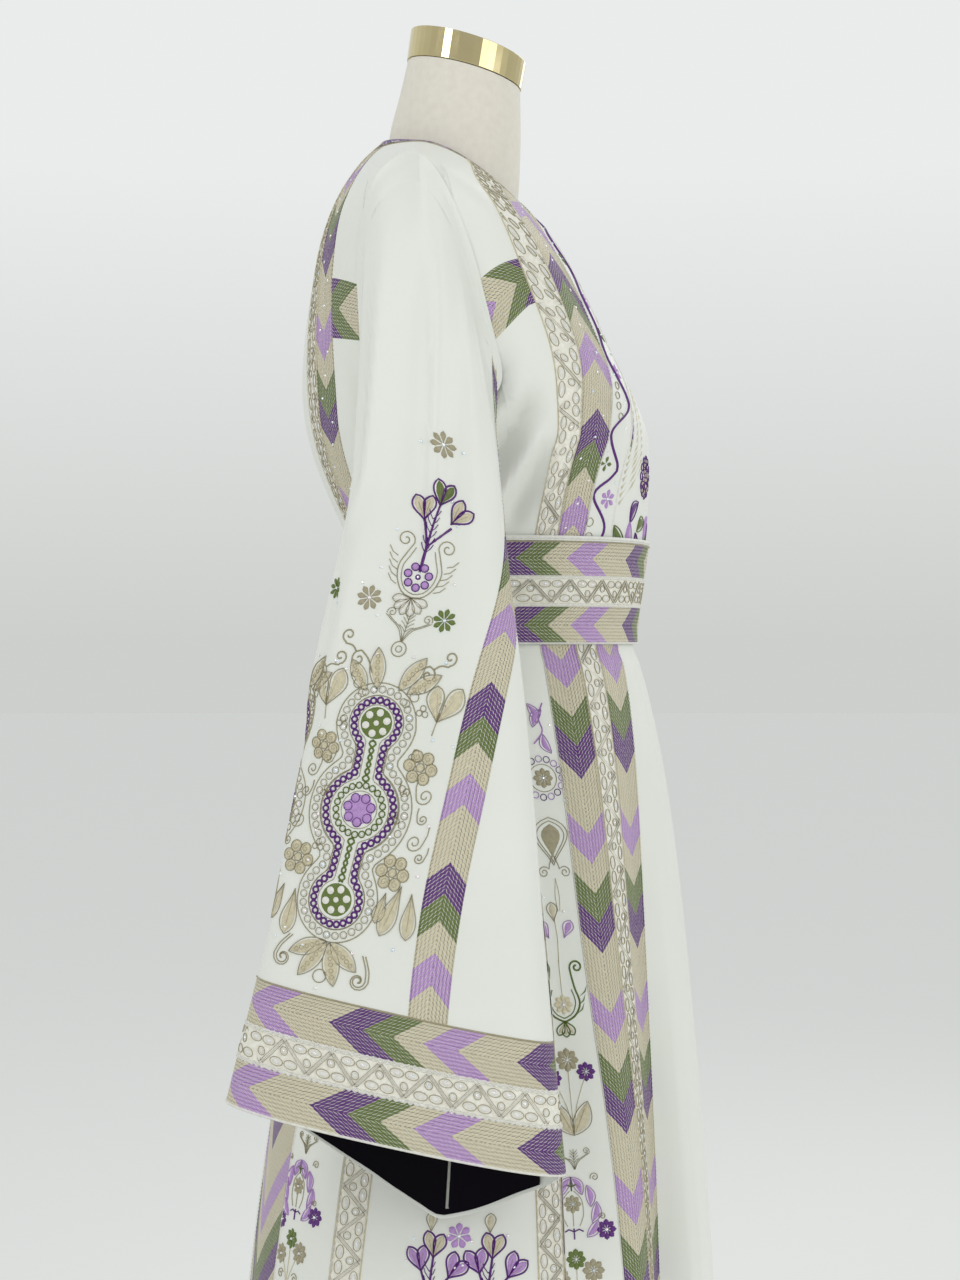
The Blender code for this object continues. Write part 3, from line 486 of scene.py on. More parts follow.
# The pressed fold down the sleeve's back third: station, share of the ring, height of its ridge,
# depth of the hollow behind it
SLEEVE_FOLD = (
    (0.00, 0.540, 0.0000, 0.0000),
    (0.20, 0.572, 0.0004, 0.0012),
    (0.40, 0.610, 0.0022, 0.0050),
    (0.82, 0.670, 0.0034, 0.0062),
    (1.30, 0.700, 0.0030, 0.0052),
    (2.40, 0.687, 0.0028, 0.0044),
    (3.20, 0.697, 0.0028, 0.0044),
    (3.90, 0.722, 0.0030, 0.0046),
    (4.80, 0.719, 0.0026, 0.0036),
    (5.90, 0.695, 0.0006, 0.0008),
    (7.00, 0.690, 0.0000, 0.0000),
)
FOLD_RIDGE_WIDTH = 0.022
FOLD_HOLLOW_WIDTH = 0.026


def sleeve_row(shares, station):
    """The sleeve's surface at one station, by share of the ring from the underarm seam."""
    shares = shares % 1.0
    phi, lengths = sleeve_ring_lengths(station)
    angles = np.interp(shares * lengths[-1], lengths, phi)
    point = sleeve_points(angles, station)
    along = unit(sleeve_points(angles + 0.5, station) - sleeve_points(angles - 0.5, station))
    outward = np.stack((-along[:, 1], along[:, 0], np.zeros(len(shares))), -1)
    depth = np.zeros(len(shares))
    for top, bottom, first, last, deep, width in SLEEVE_CREASES:
        middle = top + (bottom - top) * station / HEM_STATION
        fade = 1 - ease((station - last + CREASE_FADE) / CREASE_FADE)
        strength = ease((station - first) / CREASE_GROWTH) * fade
        depth += deep * strength * bump(shares, middle, width)
    middle, ridge, hollow = rows_at(SLEEVE_FOLD, station)
    depth += hollow * bump(shares, middle + FOLD_HOLLOW_WIDTH * 1.2, FOLD_HOLLOW_WIDTH)
    depth -= ridge * bump(shares, middle, FOLD_RIDGE_WIDTH)
    return point - unit(outward) * depth[:, None]


class Surface:
    """A smooth surface that is read from a regular grid of its points."""

    def __init__(self, across, along, points, sign=1.0):
        self.across = across
        self.along = along
        self.points = points
        step_across = np.gradient(points, axis=1)
        step_along = np.gradient(points, axis=0)
        self.normals = unit(np.cross(step_along, step_across) * sign)

    def read(self, across, along):
        """Points and normals at any places, on a cubic curve between the grid's points."""
        across = np.asarray(across, float)
        rows, columns = self.points.shape[:2]
        u = (across - self.across[0]) / (self.across[-1] - self.across[0]) * (columns - 1)
        v = (along - self.along[0]) / (self.along[-1] - self.along[0]) * (rows - 1)
        u0, u_weights = cubic_weights(u, columns)
        v0, v_weights = cubic_weights(v, rows)
        point = 0.0
        normal = 0.0
        for i, row_weight in enumerate(v_weights):
            row = np.clip(v0 + i - 1, 0, rows - 1)
            for j, column_weight in enumerate(u_weights):
                column = np.clip(u0 + j - 1, 0, columns - 1)
                weight = (row_weight * column_weight)[..., None]
                point = point + weight * self.points[row, column]
                normal = normal + weight * self.normals[row, column]
        return point, unit(normal)


def cubic_weights(place, count):
    """The cell that a place on a grid line lies in, and the weights of the four points round it."""
    place = np.clip(place, 0, count - 1)
    cell = np.clip(np.floor(place).astype(int), 0, count - 2)
    s = place - cell
    weights = (
        (-s + 2 * s ** 2 - s ** 3) / 2,
        (2 - 5 * s ** 2 + 3 * s ** 3) / 2,
        (s + 4 * s ** 2 - 3 * s ** 3) / 2,
        (-s ** 2 + s ** 3) / 2,
    )
    return cell, weights


def skirt_surface():
    """The skirt all round, by share of the half ring and height."""
    shares = np.linspace(-1.02, 1.12, 429)
    heights = np.linspace(HEM_Z, WAIST_Z, 209)
    return Surface(shares, heights, np.array([skirt_row(shares, height) for height in heights]))


def sleeve_surface():
    """The right sleeve, by share of the ring from the underarm seam and station."""
    shares = np.linspace(-0.24, 1.24, 297)
    stations = np.linspace(0.0, HEM_STATION, 211)
    return Surface(shares, stations, np.array([sleeve_row(shares, s) for s in stations]), sign=-1.0)


# Creases of the side panel under the armhole: two ends as (y, z), depth and width; then how far the
# ridge beside each one lies off it and how high it is, as shares of the width and the depth
BODICE_CREASES = (
    ((-0.040, 1.226), (0.014, 1.156), 0.0120, 0.0110),
    ((-0.014, 1.268), (0.014, 1.206), 0.0100, 0.0100),
    ((-0.044, 1.180), (-0.004, 1.112), 0.0095, 0.0090),
    ((-0.080, 1.200), (-0.046, 1.124), 0.0050, 0.0080),
    ((0.026, 1.238), (0.048, 1.150), 0.0060, 0.0090),
    ((0.070, 1.240), (0.052, 1.140), 0.0050, 0.0080),
    ((0.118, 1.230), (0.098, 1.130), 0.0040, 0.0080),
)
CREASE_OFFSET = 1.6
CREASE_RIDGE = 0.62
# Where the creases fade out: first and last angle and over how many degrees, rise and over which
CREASE_ANGLES = (66.0, 126.0)
CREASE_ANGLE_FADE = 12.0
CREASE_RISE = 0.40
CREASE_RISE_FADE = 0.10


def crease_depth(y, z, creases):
    """Depth of straight troughs with a soft ridge beside each one, over a side view."""
    depth = np.zeros(y.shape)
    for (y0, z0), (y1, z1), deep, width in creases:
        length = math.hypot(y1 - y0, z1 - z0)
        dy, dz = (y1 - y0) / length, (z1 - z0) / length
        along = ((y - y0) * dy + (z - z0) * dz) / length
        off = -(y - y0) * dz + (z - z0) * dy
        ends = ease((along + 0.18) / 0.36) * (1 - ease((along - 0.82) / 0.36))
        trough = bump(off, 0.0, width) - CREASE_RIDGE * bump(off, CREASE_OFFSET * width, width)
        depth += deep * ends * trough
    return depth


def bodice_surface():
    """The bodice all round, by degrees from the centre front and rise."""
    degrees = np.linspace(-183.0, 225.0, 409)
    rises = np.linspace(0.0, 1.0, 161)
    points = bodice_points(degrees[None, :], rises[:, None])
    smooth = Surface(degrees, rises, points)
    around = np.abs(degrees)[None, :]
    first, last = CREASE_ANGLES
    side = ease((around - first) / CREASE_ANGLE_FADE) * (1 - ease((around - last) / CREASE_ANGLE_FADE))
    upper = 1 - ease((rises[:, None] - CREASE_RISE) / CREASE_RISE_FADE)
    side = side * ease(rises[:, None] / CREASE_RISE_FADE) * upper
    depth = crease_depth(points[..., 1], points[..., 2], BODICE_CREASES) * side
    return Surface(degrees, rises, points - smooth.normals * depth[..., None])


SKIRT_SURFACE = skirt_surface()
SLEEVE_SURFACE = sleeve_surface()
BODICE_SURFACE = bodice_surface()


class Panel:
    """A sewn piece: rows of points from its lower edge up, measured in metres."""

    def __init__(self, surface, across, along):
        self.across = across
        self.along = along
        self.points, self.normals = surface.read(across, along)
        steps = np.linalg.norm(np.diff(self.points, axis=1), axis=2)
        self.widths = steps.sum(1)
        middle = self.points[:, self.points.shape[1] // 2]
        self.heights = lengths_along(middle)
        self.length = self.heights[-1]

    def height_of(self, along):
        """Distance from the lower edge to a place on the surface's own scale."""
        levels = self.along.mean(1)
        order = np.argsort(levels)
        return float(np.interp(along, levels[order], self.heights[order]))

    def drop_last_column(self):
        """Leaves out the column where a closed ring meets its own start."""
        self.points = self.points[:, :-1]
        self.normals = self.normals[:, :-1]

    def width_at(self, y):
        """The panel's width at a distance from its lower edge."""
        return np.interp(y, self.heights, self.widths)

    def place(self, x, y, lift):
        """Points at flat coordinates: x from the middle to the viewer's right, y up, lift off the cloth."""
        rows, columns = self.points.shape[:2]
        v = np.interp(y, self.heights, np.arange(rows))
        u = np.clip((0.5 - x / self.width_at(y)) * (columns - 1), 0, columns - 1)
        r = np.clip(v.astype(int), 0, rows - 2)
        c = np.clip(u.astype(int), 0, columns - 2)
        s = (v - r)[:, None]
        t = (u - c)[:, None]
        point = blend_cell(self.points, r, c, s, t)
        normal = unit(blend_cell(self.normals, r, c, s, t))
        return point + normal * lift[:, None]


def even_panel(surface, across, along):
    """A panel on an even grid of a surface's own scales."""
    return Panel(surface, *np.meshgrid(across, along))


def blend_cell(grid, r, c, s, t):
    """Values inside grid cells, from their four corners."""
    low = grid[r, c] * (1 - t) + grid[r, c + 1] * t
    high = grid[r + 1, c] * (1 - t) + grid[r + 1, c + 1] * t
    return low * (1 - s) + high * s


def spread(low, high, count):
    """Even places between two edges, a row for each pair."""
    shares = np.linspace(0.0, 1.0, count)
    return low[:, None] + (high - low)[:, None] * shares[None, :]


# Rows of points up a panel of each kind, and how far the skirt's cloth stops below the waist seam
SKIRT_PANEL_ROWS = 104
SLEEVE_PANEL_ROWS = 112
BODICE_PANEL_ROWS = 64
SKIRT_TOP_GAP = 0.0003


def skirt_panel(first, last, columns, centre=None):
    """A skirt panel between two of the ring's panel edges."""
    heights = np.linspace(HEM_Z, WAIST_Z - SKIRT_TOP_GAP, SKIRT_PANEL_ROWS)
    edges = skirt_edge_shares(heights)
    low = edges[:, first]
    high = edges[:, last]
    if centre == "front":
        low = -high
    if centre == "back":
        high = 2.0 - low
    return Panel(SKIRT_SURFACE, spread(low, high, columns), spread(heights, heights, columns))


def sleeve_band_shares(station):
    """Shares of the ring at both edges of the sleeve's chevron band."""
    phi, lengths = sleeve_ring_lengths(station)
    middle = np.interp(0.0, phi, lengths) + rows_at(SLEEVE_BAND, station)[0]
    half = SLEEVE_BAND_WIDTH / 2
    return (middle - half) / lengths[-1], (middle + half) / lengths[-1]


def sleeve_panel(part, columns):
    """A sleeve piece above the cuff: front, band or main."""
    stations = np.linspace(CUFF_STATION, 0.0, SLEEVE_PANEL_ROWS)
    bands = np.array([sleeve_band_shares(station) for station in stations])
    zero = np.zeros(SLEEVE_PANEL_ROWS)
    low, high = {
        "front": (zero, bands[:, 0]),
        "band": (bands[:, 0], bands[:, 1]),
        "main": (bands[:, 1], zero + 1.0),
    }[part]
    return Panel(SLEEVE_SURFACE, spread(low, high, columns), spread(stations, stations, columns))


def bodice_rise(row, degrees):
    """The rise of a grid row on the plain part of the bodice."""
    lower, upper = np.moveaxis(lines_at(YOKE_STRIP, degrees), -1, 0)
    if row <= ROWS_TO_STRIP:
        return lower * row / ROWS_TO_STRIP
    if row <= ROWS_TO_SHOULDER:
        return lower + (upper - lower) * (row - ROWS_TO_STRIP) / (ROWS_TO_SHOULDER - ROWS_TO_STRIP)
    return upper + (1.0 - upper) * (row - ROWS_TO_SHOULDER) / (ROWS_TO_NECK - ROWS_TO_SHOULDER)


def bodice_edge(seam, row):
    """The angle of a seam at a grid row. Seam 0 is the centre front and seam 8 the centre back."""
    if seam == 0:
        return 0.0
    if seam == 8:
        return 180.0
    degrees = rows_at(BODICE_SEAMS, 0.5)[seam - 1]
    for _ in range(6):
        degrees = rows_at(BODICE_SEAMS, bodice_rise(row, degrees))[seam - 1]
    return float(degrees)


def bodice_panel(low_seam, high_seam, columns, centre=None):
    """A full length bodice strip between two seams, or across the centre line."""
    across = []
    along = []
    for row in np.linspace(0, ROWS_TO_NECK, BODICE_PANEL_ROWS):
        start = bodice_edge(low_seam, row)
        stop = bodice_edge(high_seam, row)
        if centre == "front":
            start = -stop
        if centre == "back":
            stop = 360.0 - start
        angles = np.linspace(start, stop, columns)
        folded = np.where(np.abs(angles) > 180, 360 - angles, np.abs(angles))
        along.append(bodice_rise(row, folded))
        across.append(angles)
    return Panel(BODICE_SURFACE, np.array(across), np.array(along))


# Cells across an armhole panel: before, round and behind the armhole
FRONT_CELLS = 7
ARMHOLE_CELLS = 30
BACK_CELLS = 7


def armhole_panel(upper, rows):
    """The side panel below the armhole, or the shoulder panel above it."""
    first = ROWS_TO_SHOULDER if upper else 0
    last = ROWS_TO_NECK if upper else ROWS_TO_STRIP
    across = []
    along = []
    for row in np.linspace(first, last, rows):
        start = bodice_edge(4, row)
        stop = bodice_edge(5, row)
        front = ARMHOLE_FRONT + SIDE_SPREAD * max(1 - row / ROWS_TO_STRIP, 0.0)
        middle = (front + ARMHOLE_BACK) / 2
        half = (ARMHOLE_BACK - front) / 2
        turns = np.linspace(0.0, 1.0, ARMHOLE_CELLS + 1)
        angles = np.concatenate((
            np.linspace(start, front, FRONT_CELLS + 1)[:-1],
            middle - half * np.cos(math.pi * turns),
            np.linspace(ARMHOLE_BACK, stop, BACK_CELLS + 1)[1:],
        ))
        steps = np.concatenate((np.zeros(FRONT_CELLS), turns, np.ones(BACK_CELLS)))
        arch = np.abs(np.sin(math.pi * steps)) ** ARMHOLE_ROUNDING
        arch[steps == 1.0] = 0.0
        lower_rise, upper_rise = np.moveaxis(lines_at(YOKE_STRIP, angles), -1, 0)
        share = (row - first) / (last - first)
        if upper:
            limit = upper_rise + ARMHOLE_RISE * arch
            along.append(limit + (1.0 - limit) * share)
        else:
            along.append((lower_rise - ARMHOLE_DIP * arch) * share)
        across.append(angles)
    return Panel(BODICE_SURFACE, np.array(across), np.array(along))


def cross_panel(front):
    """The crosswise chevron strip between a bodice band and the armhole."""
    across = []
    along = []
    for row in np.linspace(ROWS_TO_STRIP, ROWS_TO_SHOULDER, 14):
        start = bodice_edge(4, row) if front else ARMHOLE_BACK
        stop = ARMHOLE_FRONT if front else bodice_edge(5, row)
        angles = np.linspace(start, stop, 16)
        across.append(angles)
        along.append(bodice_rise(row, angles))
    return Panel(BODICE_SURFACE, np.array(across), np.array(along))


# Names of the threads' materials
BEIGE = "thread_beige"
TAUPE = "thread_taupe"
PURPLE = "thread_purple"
LILAC = "thread_lilac"
GREEN = "thread_green"
WHITE = "thread_white"
# Threads and cloths: linear colour, roughness, sheen
THREADS = {
    BEIGE: ((0.665, 0.605, 0.430), 0.46, 0.20),
    TAUPE: ((0.385, 0.345, 0.225), 0.50, 0.12),
    PURPLE: ((0.104, 0.011, 0.196), 0.45, 0.08),
    LILAC: ((0.500, 0.290, 0.640), 0.48, 0.10),
    GREEN: ((0.125, 0.180, 0.030), 0.50, 0.08),
    WHITE: ((0.88, 0.87, 0.80), 0.50, 0.20),
}
WHITE_CLOTH = (0.800, 0.815, 0.765)
# Chevron colours from the tip of one repeat to the next: share of the period, thread
CHEVRON_COLOURS = (
    (0.000, PURPLE),
    (0.178, GREEN),
    (0.338, BEIGE),
    (0.504, LILAC),
    (0.682, BEIGE),
)


class Nodes:
    """Short calls to build one material's node tree."""

    def __init__(self, name):
        self.material = bpy.data.materials.new(name)
        self.material.use_nodes = True
        self.tree = self.material.node_tree
        self.shader = self.tree.nodes["Principled BSDF"]

    def node(self, kind, **values):
        made = self.tree.nodes.new(kind)
        for key, value in values.items():
            setattr(made, key, value)
        return made

    def link(self, output, socket):
        self.tree.links.new(output, socket)

    def feed(self, socket, value):
        """Links an output, or sets a plain value."""
        if isinstance(value, bpy.types.NodeSocket):
            self.link(value, socket)
        else:
            socket.default_value = value

    def math(self, operation, first, second=0.0, third=0.0):
        made = self.node("ShaderNodeMath", operation=operation)
        for socket, value in zip(made.inputs, (first, second, third)):
            self.feed(socket, value)
        return made.outputs[0]

    def mix(self, factor, first, second):
        made = self.node("ShaderNodeMix", data_type="RGBA")
        self.feed(made.inputs[0], factor)
        for socket, value in ((made.inputs[6], first), (made.inputs[7], second)):
            self.feed(socket, value if isinstance(value, bpy.types.NodeSocket) else (*value, 1.0))
        return made.outputs[2]

    def place(self):
        """Coordinates on the object, in metres."""
        return self.node("ShaderNodeTexCoord").outputs["Object"]

    def split(self, vector):
        """The parts of a vector along its axes."""
        made = self.node("ShaderNodeSeparateXYZ")
        self.link(vector, made.inputs[0])
        return made.outputs

    def mapped(self, uv_name):
        """A UV map's coordinates in metres, together and apart."""
        vector = self.node("ShaderNodeUVMap", uv_map=uv_name).outputs[0]
        parts = self.split(vector)
        return vector, parts[0], parts[1]

    def noise(self, vector, scale, detail=2.0, roughness=0.5):
        made = self.node("ShaderNodeTexNoise")
        self.link(vector, made.inputs["Vector"])
        made.inputs["Scale"].default_value = scale
        made.inputs["Detail"].default_value = detail
        made.inputs["Roughness"].default_value = roughness
        return made.outputs[0]

    def span(self, value, low, high, to_low, to_high):
        made = self.node("ShaderNodeMapRange")
        for socket, number in zip(made.inputs, (value, low, high, to_low, to_high)):
            self.feed(socket, number)
        return made.outputs[0]

    def paint(self, colour):
        self.link(colour, self.shader.inputs["Base Color"])

    def raise_by(self, height, distance, strength):
        made = self.node("ShaderNodeBump")
        made.inputs["Strength"].default_value = strength
        made.inputs["Distance"].default_value = distance
        self.link(height, made.inputs["Height"])
        self.link(made.outputs[0], self.shader.inputs["Normal"])

    def finish(self, roughness, sheen=0.0, metallic=0.0):
        self.shader.inputs["Roughness"].default_value = roughness
        self.shader.inputs["Metallic"].default_value = metallic
        self.shader.inputs["Sheen Weight"].default_value = sheen
        self.shader.inputs["Sheen Roughness"].default_value = 0.4
        return self.material


def cloth_material():
    """Ivory satin-backed crepe: a fine grain, faint slubs and a soft sheen."""
    nodes = Nodes("ivory_crepe_cloth")
    vector = nodes.place()
    tone = nodes.noise(vector, 9.0, 3.0)
    shade = nodes.mix(nodes.span(tone, 0.3, 0.7, 0.0, 1.0), WHITE_CLOTH, (0.770, 0.790, 0.735))
    nodes.paint(shade)
    grain = nodes.noise(vector, 1500.0, 2.0)
    crinkle = nodes.noise(vector, 210.0, 3.0, 0.6)
    height = nodes.math("MULTIPLY_ADD", crinkle, 0.8, nodes.math("MULTIPLY", grain, 0.5))
    nodes.raise_by(height, 0.00022, 0.35)
    return nodes.finish(0.46, 0.12)


# Lean and pitch of the stitches in a shape
THREAD_LEAN = 0.55
THREAD_PITCH = 0.0011


def thread_material(name):
    """Embroidery thread: fine slanted stitches along the shape, with painted shade in the grooves between
    them and painted sheen in random patches.
    """
    colour, roughness, sheen = THREADS[name]
    nodes = Nodes(name)
    vector, along, across = nodes.mapped("stitch")
    slant = nodes.math("MULTIPLY_ADD", across, THREAD_LEAN, along)
    ripple = nodes.math("SINE", nodes.math("MULTIPLY", slant, math.tau / THREAD_PITCH))
    lift = nodes.span(ripple, -1.0, 1.0, 0.0, 1.0)
    # Painted shade: the grooves between the stitches take a darker copy of the colour
    dark = tuple(channel * 0.70 for channel in colour)
    # Painted sheen: random patches are mixed towards a lighter, lit copy of the colour
    sheen_patches = nodes.noise(vector, 260.0, 2.0)
    body = nodes.mix(nodes.math("POWER", lift, 0.6), dark, colour)
    light = tuple(min(channel * 1.25 + 0.02, 1.0) for channel in colour)
    shade = nodes.mix(nodes.span(sheen_patches, 0.35, 0.75, 0.0, 0.5), body, light)
    nodes.paint(shade)
    nodes.raise_by(lift, 0.00030, 0.6)
    return nodes.finish(roughness, sheen)


# Chevron stitches: width of a column, pitch of the stitches in it, how far each one leans, and the colours of
# the painted shade in the holes between stitches and of the painted glint on the lit thread
STITCH_COLUMN = 0.0028
STITCH_PITCH = 0.0034
STITCH_LEAN = 0.35
HOLE_SHADE = (0.035, 0.028, 0.026)
STITCH_GLINT = (0.86, 0.84, 0.76)


def chevron_material(name, period, slope):
    """Dense chevron embroidery: columns of short slanted stitches, with painted shade in the holes between
    them and painted glints at their edges; the holes are painted darker on one side of the band's middle, as
    the light falls.

    The UV map called band holds metres: x from the band's middle, y along it, back from the tips.
    Each stitch has one colour, so the borders of the colours run in small steps.
    """
    nodes = Nodes(name)
    vector, x, y = nodes.mapped("band")
    off = nodes.math("ABSOLUTE", x)
    sway = nodes.math("MULTIPLY_ADD", nodes.noise(vector, 210.0, 1.0), 0.0016, -0.0008)
    jog = nodes.math("MULTIPLY_ADD", nodes.noise(vector, 290.0, 1.0), 0.0020, -0.0010)
    column = nodes.math("DIVIDE", nodes.math("ADD", off, sway), STITCH_COLUMN)
    arm = nodes.math("ADD", nodes.math("MULTIPLY_ADD", off, -slope, y), jog)
    row = nodes.math("DIVIDE", arm, STITCH_PITCH)
    across = nodes.math("SUBTRACT", nodes.math("FRACT", column), 0.5)
    down = nodes.math("SUBTRACT", nodes.math("FRACT", row), 0.5)
    back = nodes.math("MULTIPLY", nodes.math("FLOOR", row), STITCH_PITCH)
    turn = nodes.math("FRACT", nodes.math("DIVIDE", back, period))
    ramp = nodes.node("ShaderNodeValToRGB")
    ramp.color_ramp.interpolation = "CONSTANT"
    stops = ramp.color_ramp.elements
    while len(stops) < len(CHEVRON_COLOURS):
        stops.new(0.5)
    for stop, (share, thread) in zip(stops, CHEVRON_COLOURS):
        stop.position = share
        stop.color = (*THREADS[thread][0], 1.0)
    nodes.link(turn, ramp.inputs[0])
    cell = nodes.node("ShaderNodeCombineXYZ")
    nodes.feed(cell.inputs[0], nodes.math("FLOOR", column))
    nodes.feed(cell.inputs[1], nodes.math("FLOOR", row))
    own = nodes.node("ShaderNodeTexWhiteNoise", noise_dimensions="2D")
    nodes.link(cell.outputs[0], own.inputs["Vector"])
    slanted = nodes.math("MULTIPLY_ADD", down, STITCH_LEAN, across)
    distance = nodes.math("ADD", nodes.math("ABSOLUTE", slanted), nodes.math("ABSOLUTE", down))
    body = nodes.mix(nodes.math("MULTIPLY", own.outputs[0], 0.05), ramp.outputs[0], STITCH_GLINT)
    edge = nodes.math("MULTIPLY", nodes.span(nodes.math("ABSOLUTE", down), 0.28, 0.44, 0.0, 0.92),
                      nodes.span(nodes.math("ABSOLUTE", slanted), 0.16, 0.34, 1.0, 0.0))
    lit = nodes.mix(edge, body, STITCH_GLINT)
    # Painted shade: the holes between the stitches take a near-black mix of the thread's colour
    deep = nodes.mix(0.72, ramp.outputs[0], HOLE_SHADE)
    gap = nodes.span(distance, 0.56, 0.86, 0.0, 1.0)
    # Painted shade: the holes are painted weaker on one side of the band's middle and full on the other, as
    # the light falls
    one_side_shade = nodes.span(x, -0.002, 0.002, 0.70, 1.0)
    shade = nodes.mix(nodes.math("MULTIPLY", gap, one_side_shade), lit, deep)
    nodes.paint(shade)
    ply = nodes.noise(vector, 900.0, 2.0)
    nodes.raise_by(nodes.math("MULTIPLY_ADD", distance, -1.0, nodes.math("MULTIPLY", ply, 0.25)), 0.0010, 0.9)
    return nodes.finish(0.50, 0.05)


def lace_material():
    """The dense cream ground of a lace strip: fine stitches in small whorls."""
    nodes = Nodes("cream_lace_ground")
    vector = nodes.place()
    cells = nodes.node("ShaderNodeTexVoronoi")
    nodes.link(vector, cells.inputs["Vector"])
    cells.inputs["Scale"].default_value = 330.0
    distance = cells.outputs["Distance"]
    tone = nodes.noise(vector, 150.0, 3.0)
    ground = nodes.mix(nodes.span(tone, 0.35, 0.7, 0.0, 1.0), (0.880, 0.870, 0.800), (0.830, 0.810, 0.720))
    shade = nodes.mix(nodes.span(distance, 0.35, 0.7, 0.0, 0.30), ground, (0.62, 0.58, 0.45))
    nodes.paint(shade)
    nodes.raise_by(distance, 0.0006, -0.7)
    return nodes.finish(0.6, 0.1)


# Plain materials: name, two colours, and scale and detail of the noise that mixes them; the same of their
# grain, its height and strength; then roughness, sheen and specular level
PLAIN = {
    # The lining's colours are near black: its own dark purple with the shade inside the cuff painted in
    "lining": ("purple_satin", (0.0010, 0.0007, 0.0016), (0.0030, 0.0010, 0.0055), (14.0, 3.0),
               (60.0, 4.0), (0.0012, 0.35), 0.42, 0.0, 0.06),
    "piping": ("purple_binding", (0.080, 0.022, 0.140), (0.150, 0.060, 0.240), (120.0, 2.0),
               (700.0, 2.0), (0.0004, 0.5), 0.38, 0.35, 0.5),
    "enamel": ("pale_enamel", (0.72, 0.71, 0.68), (0.66, 0.65, 0.62), (30.0, 3.0),
               (900.0, 2.0), (0.0002, 0.2), 0.35, 0.0, 0.5),
}


def plain_material(name, first, second, tone, grain, raised, roughness, sheen, specular):
    """A soft change between two colours, with a fine grain."""
    nodes = Nodes(name)
    vector = nodes.place()
    nodes.paint(nodes.mix(nodes.noise(vector, *tone), first, second))
    nodes.raise_by(nodes.noise(vector, *grain), *raised)
    nodes.shader.inputs["Specular IOR Level"].default_value = specular
    return nodes.finish(roughness, sheen)


# Pitch of the linen's weave
WEAVE_PITCH = 0.0009


def linen_material():
    """Cream linen cover with a fine even weave."""
    nodes = Nodes("cream_linen")
    vector = nodes.place()
    parts = nodes.split(vector)
    level = nodes.math("SINE", nodes.math("MULTIPLY", parts[2], math.tau / WEAVE_PITCH))
    upright = nodes.math("SINE", nodes.math("MULTIPLY", parts[1], math.tau / WEAVE_PITCH))
    weave = nodes.math("MULTIPLY_ADD", level, 0.5, nodes.math("MULTIPLY", upright, 0.5))
    slub = nodes.noise(vector, 160.0, 4.0)
    shade = nodes.mix(nodes.span(slub, 0.3, 0.7, 0.0, 1.0), (0.800, 0.765, 0.680), (0.755, 0.715, 0.630))
    nodes.paint(shade)
    nodes.raise_by(nodes.math("MULTIPLY_ADD", weave, 0.4, slub), 0.0004, 0.35)
    return nodes.finish(0.85, 0.15)


def brass_material():
    """Polished pale gold brass with faint turning marks and smudges."""
    nodes = Nodes("pale_gold_brass")
    vector = nodes.place()
    smudge = nodes.noise(vector, 55.0, 3.0)
    shade = nodes.mix(smudge, (0.70, 0.61, 0.36), (0.60, 0.51, 0.27))
    nodes.paint(shade)
    nodes.link(nodes.span(smudge, 0.3, 0.8, 0.07, 0.16), nodes.shader.inputs["Roughness"])
    return nodes.finish(0.1, 0.0, 1.0)


def crystal_material():
    """Small cut glass stones with a mirrored back and a faint rainbow."""
    nodes = Nodes("crystal")
    vector = nodes.place()
    tint = nodes.noise(vector, 90.0, 1.0)
    warm = nodes.mix(nodes.span(tint, 0.35, 0.5, 0.0, 1.0), (0.74, 0.86, 0.97), (0.95, 0.96, 0.98))
    shade = nodes.mix(nodes.span(tint, 0.52, 0.66, 0.0, 1.0), warm, (0.96, 0.87, 0.90))
    nodes.paint(shade)
    return nodes.finish(0.08, 0.0, 0.6)


# Chevron embroidery: metres from one purple tip to the next, slope of its arms
CHEVRONS = {
    "chevron_long": (0.1425, 1.15),
    "chevron_sleeve": (0.137, 1.0),
    "chevron_cuff": (0.152, 1.45),
    "chevron_belt": (0.132, 1.25),
}
MATERIALS = {"cloth": cloth_material()}
for thread_name in THREADS:
    MATERIALS[thread_name] = thread_material(thread_name)
MATERIALS["crystal"] = crystal_material()
MATERIALS["lace"] = lace_material()
MATERIALS["linen"] = linen_material()
MATERIALS["brass"] = brass_material()
for plain_name, plain_values in PLAIN.items():
    MATERIALS[plain_name] = plain_material(*plain_values)
for chevron_name, (chevron_period, chevron_slope) in CHEVRONS.items():
    MATERIALS[chevron_name] = chevron_material(chevron_name, chevron_period, chevron_slope)
# Angle between two faces, in degrees, from which their edge is shaded sharp
CLOTH_SHARP_ANGLE = 50.0
STITCH_SHARP_ANGLE = 60.0


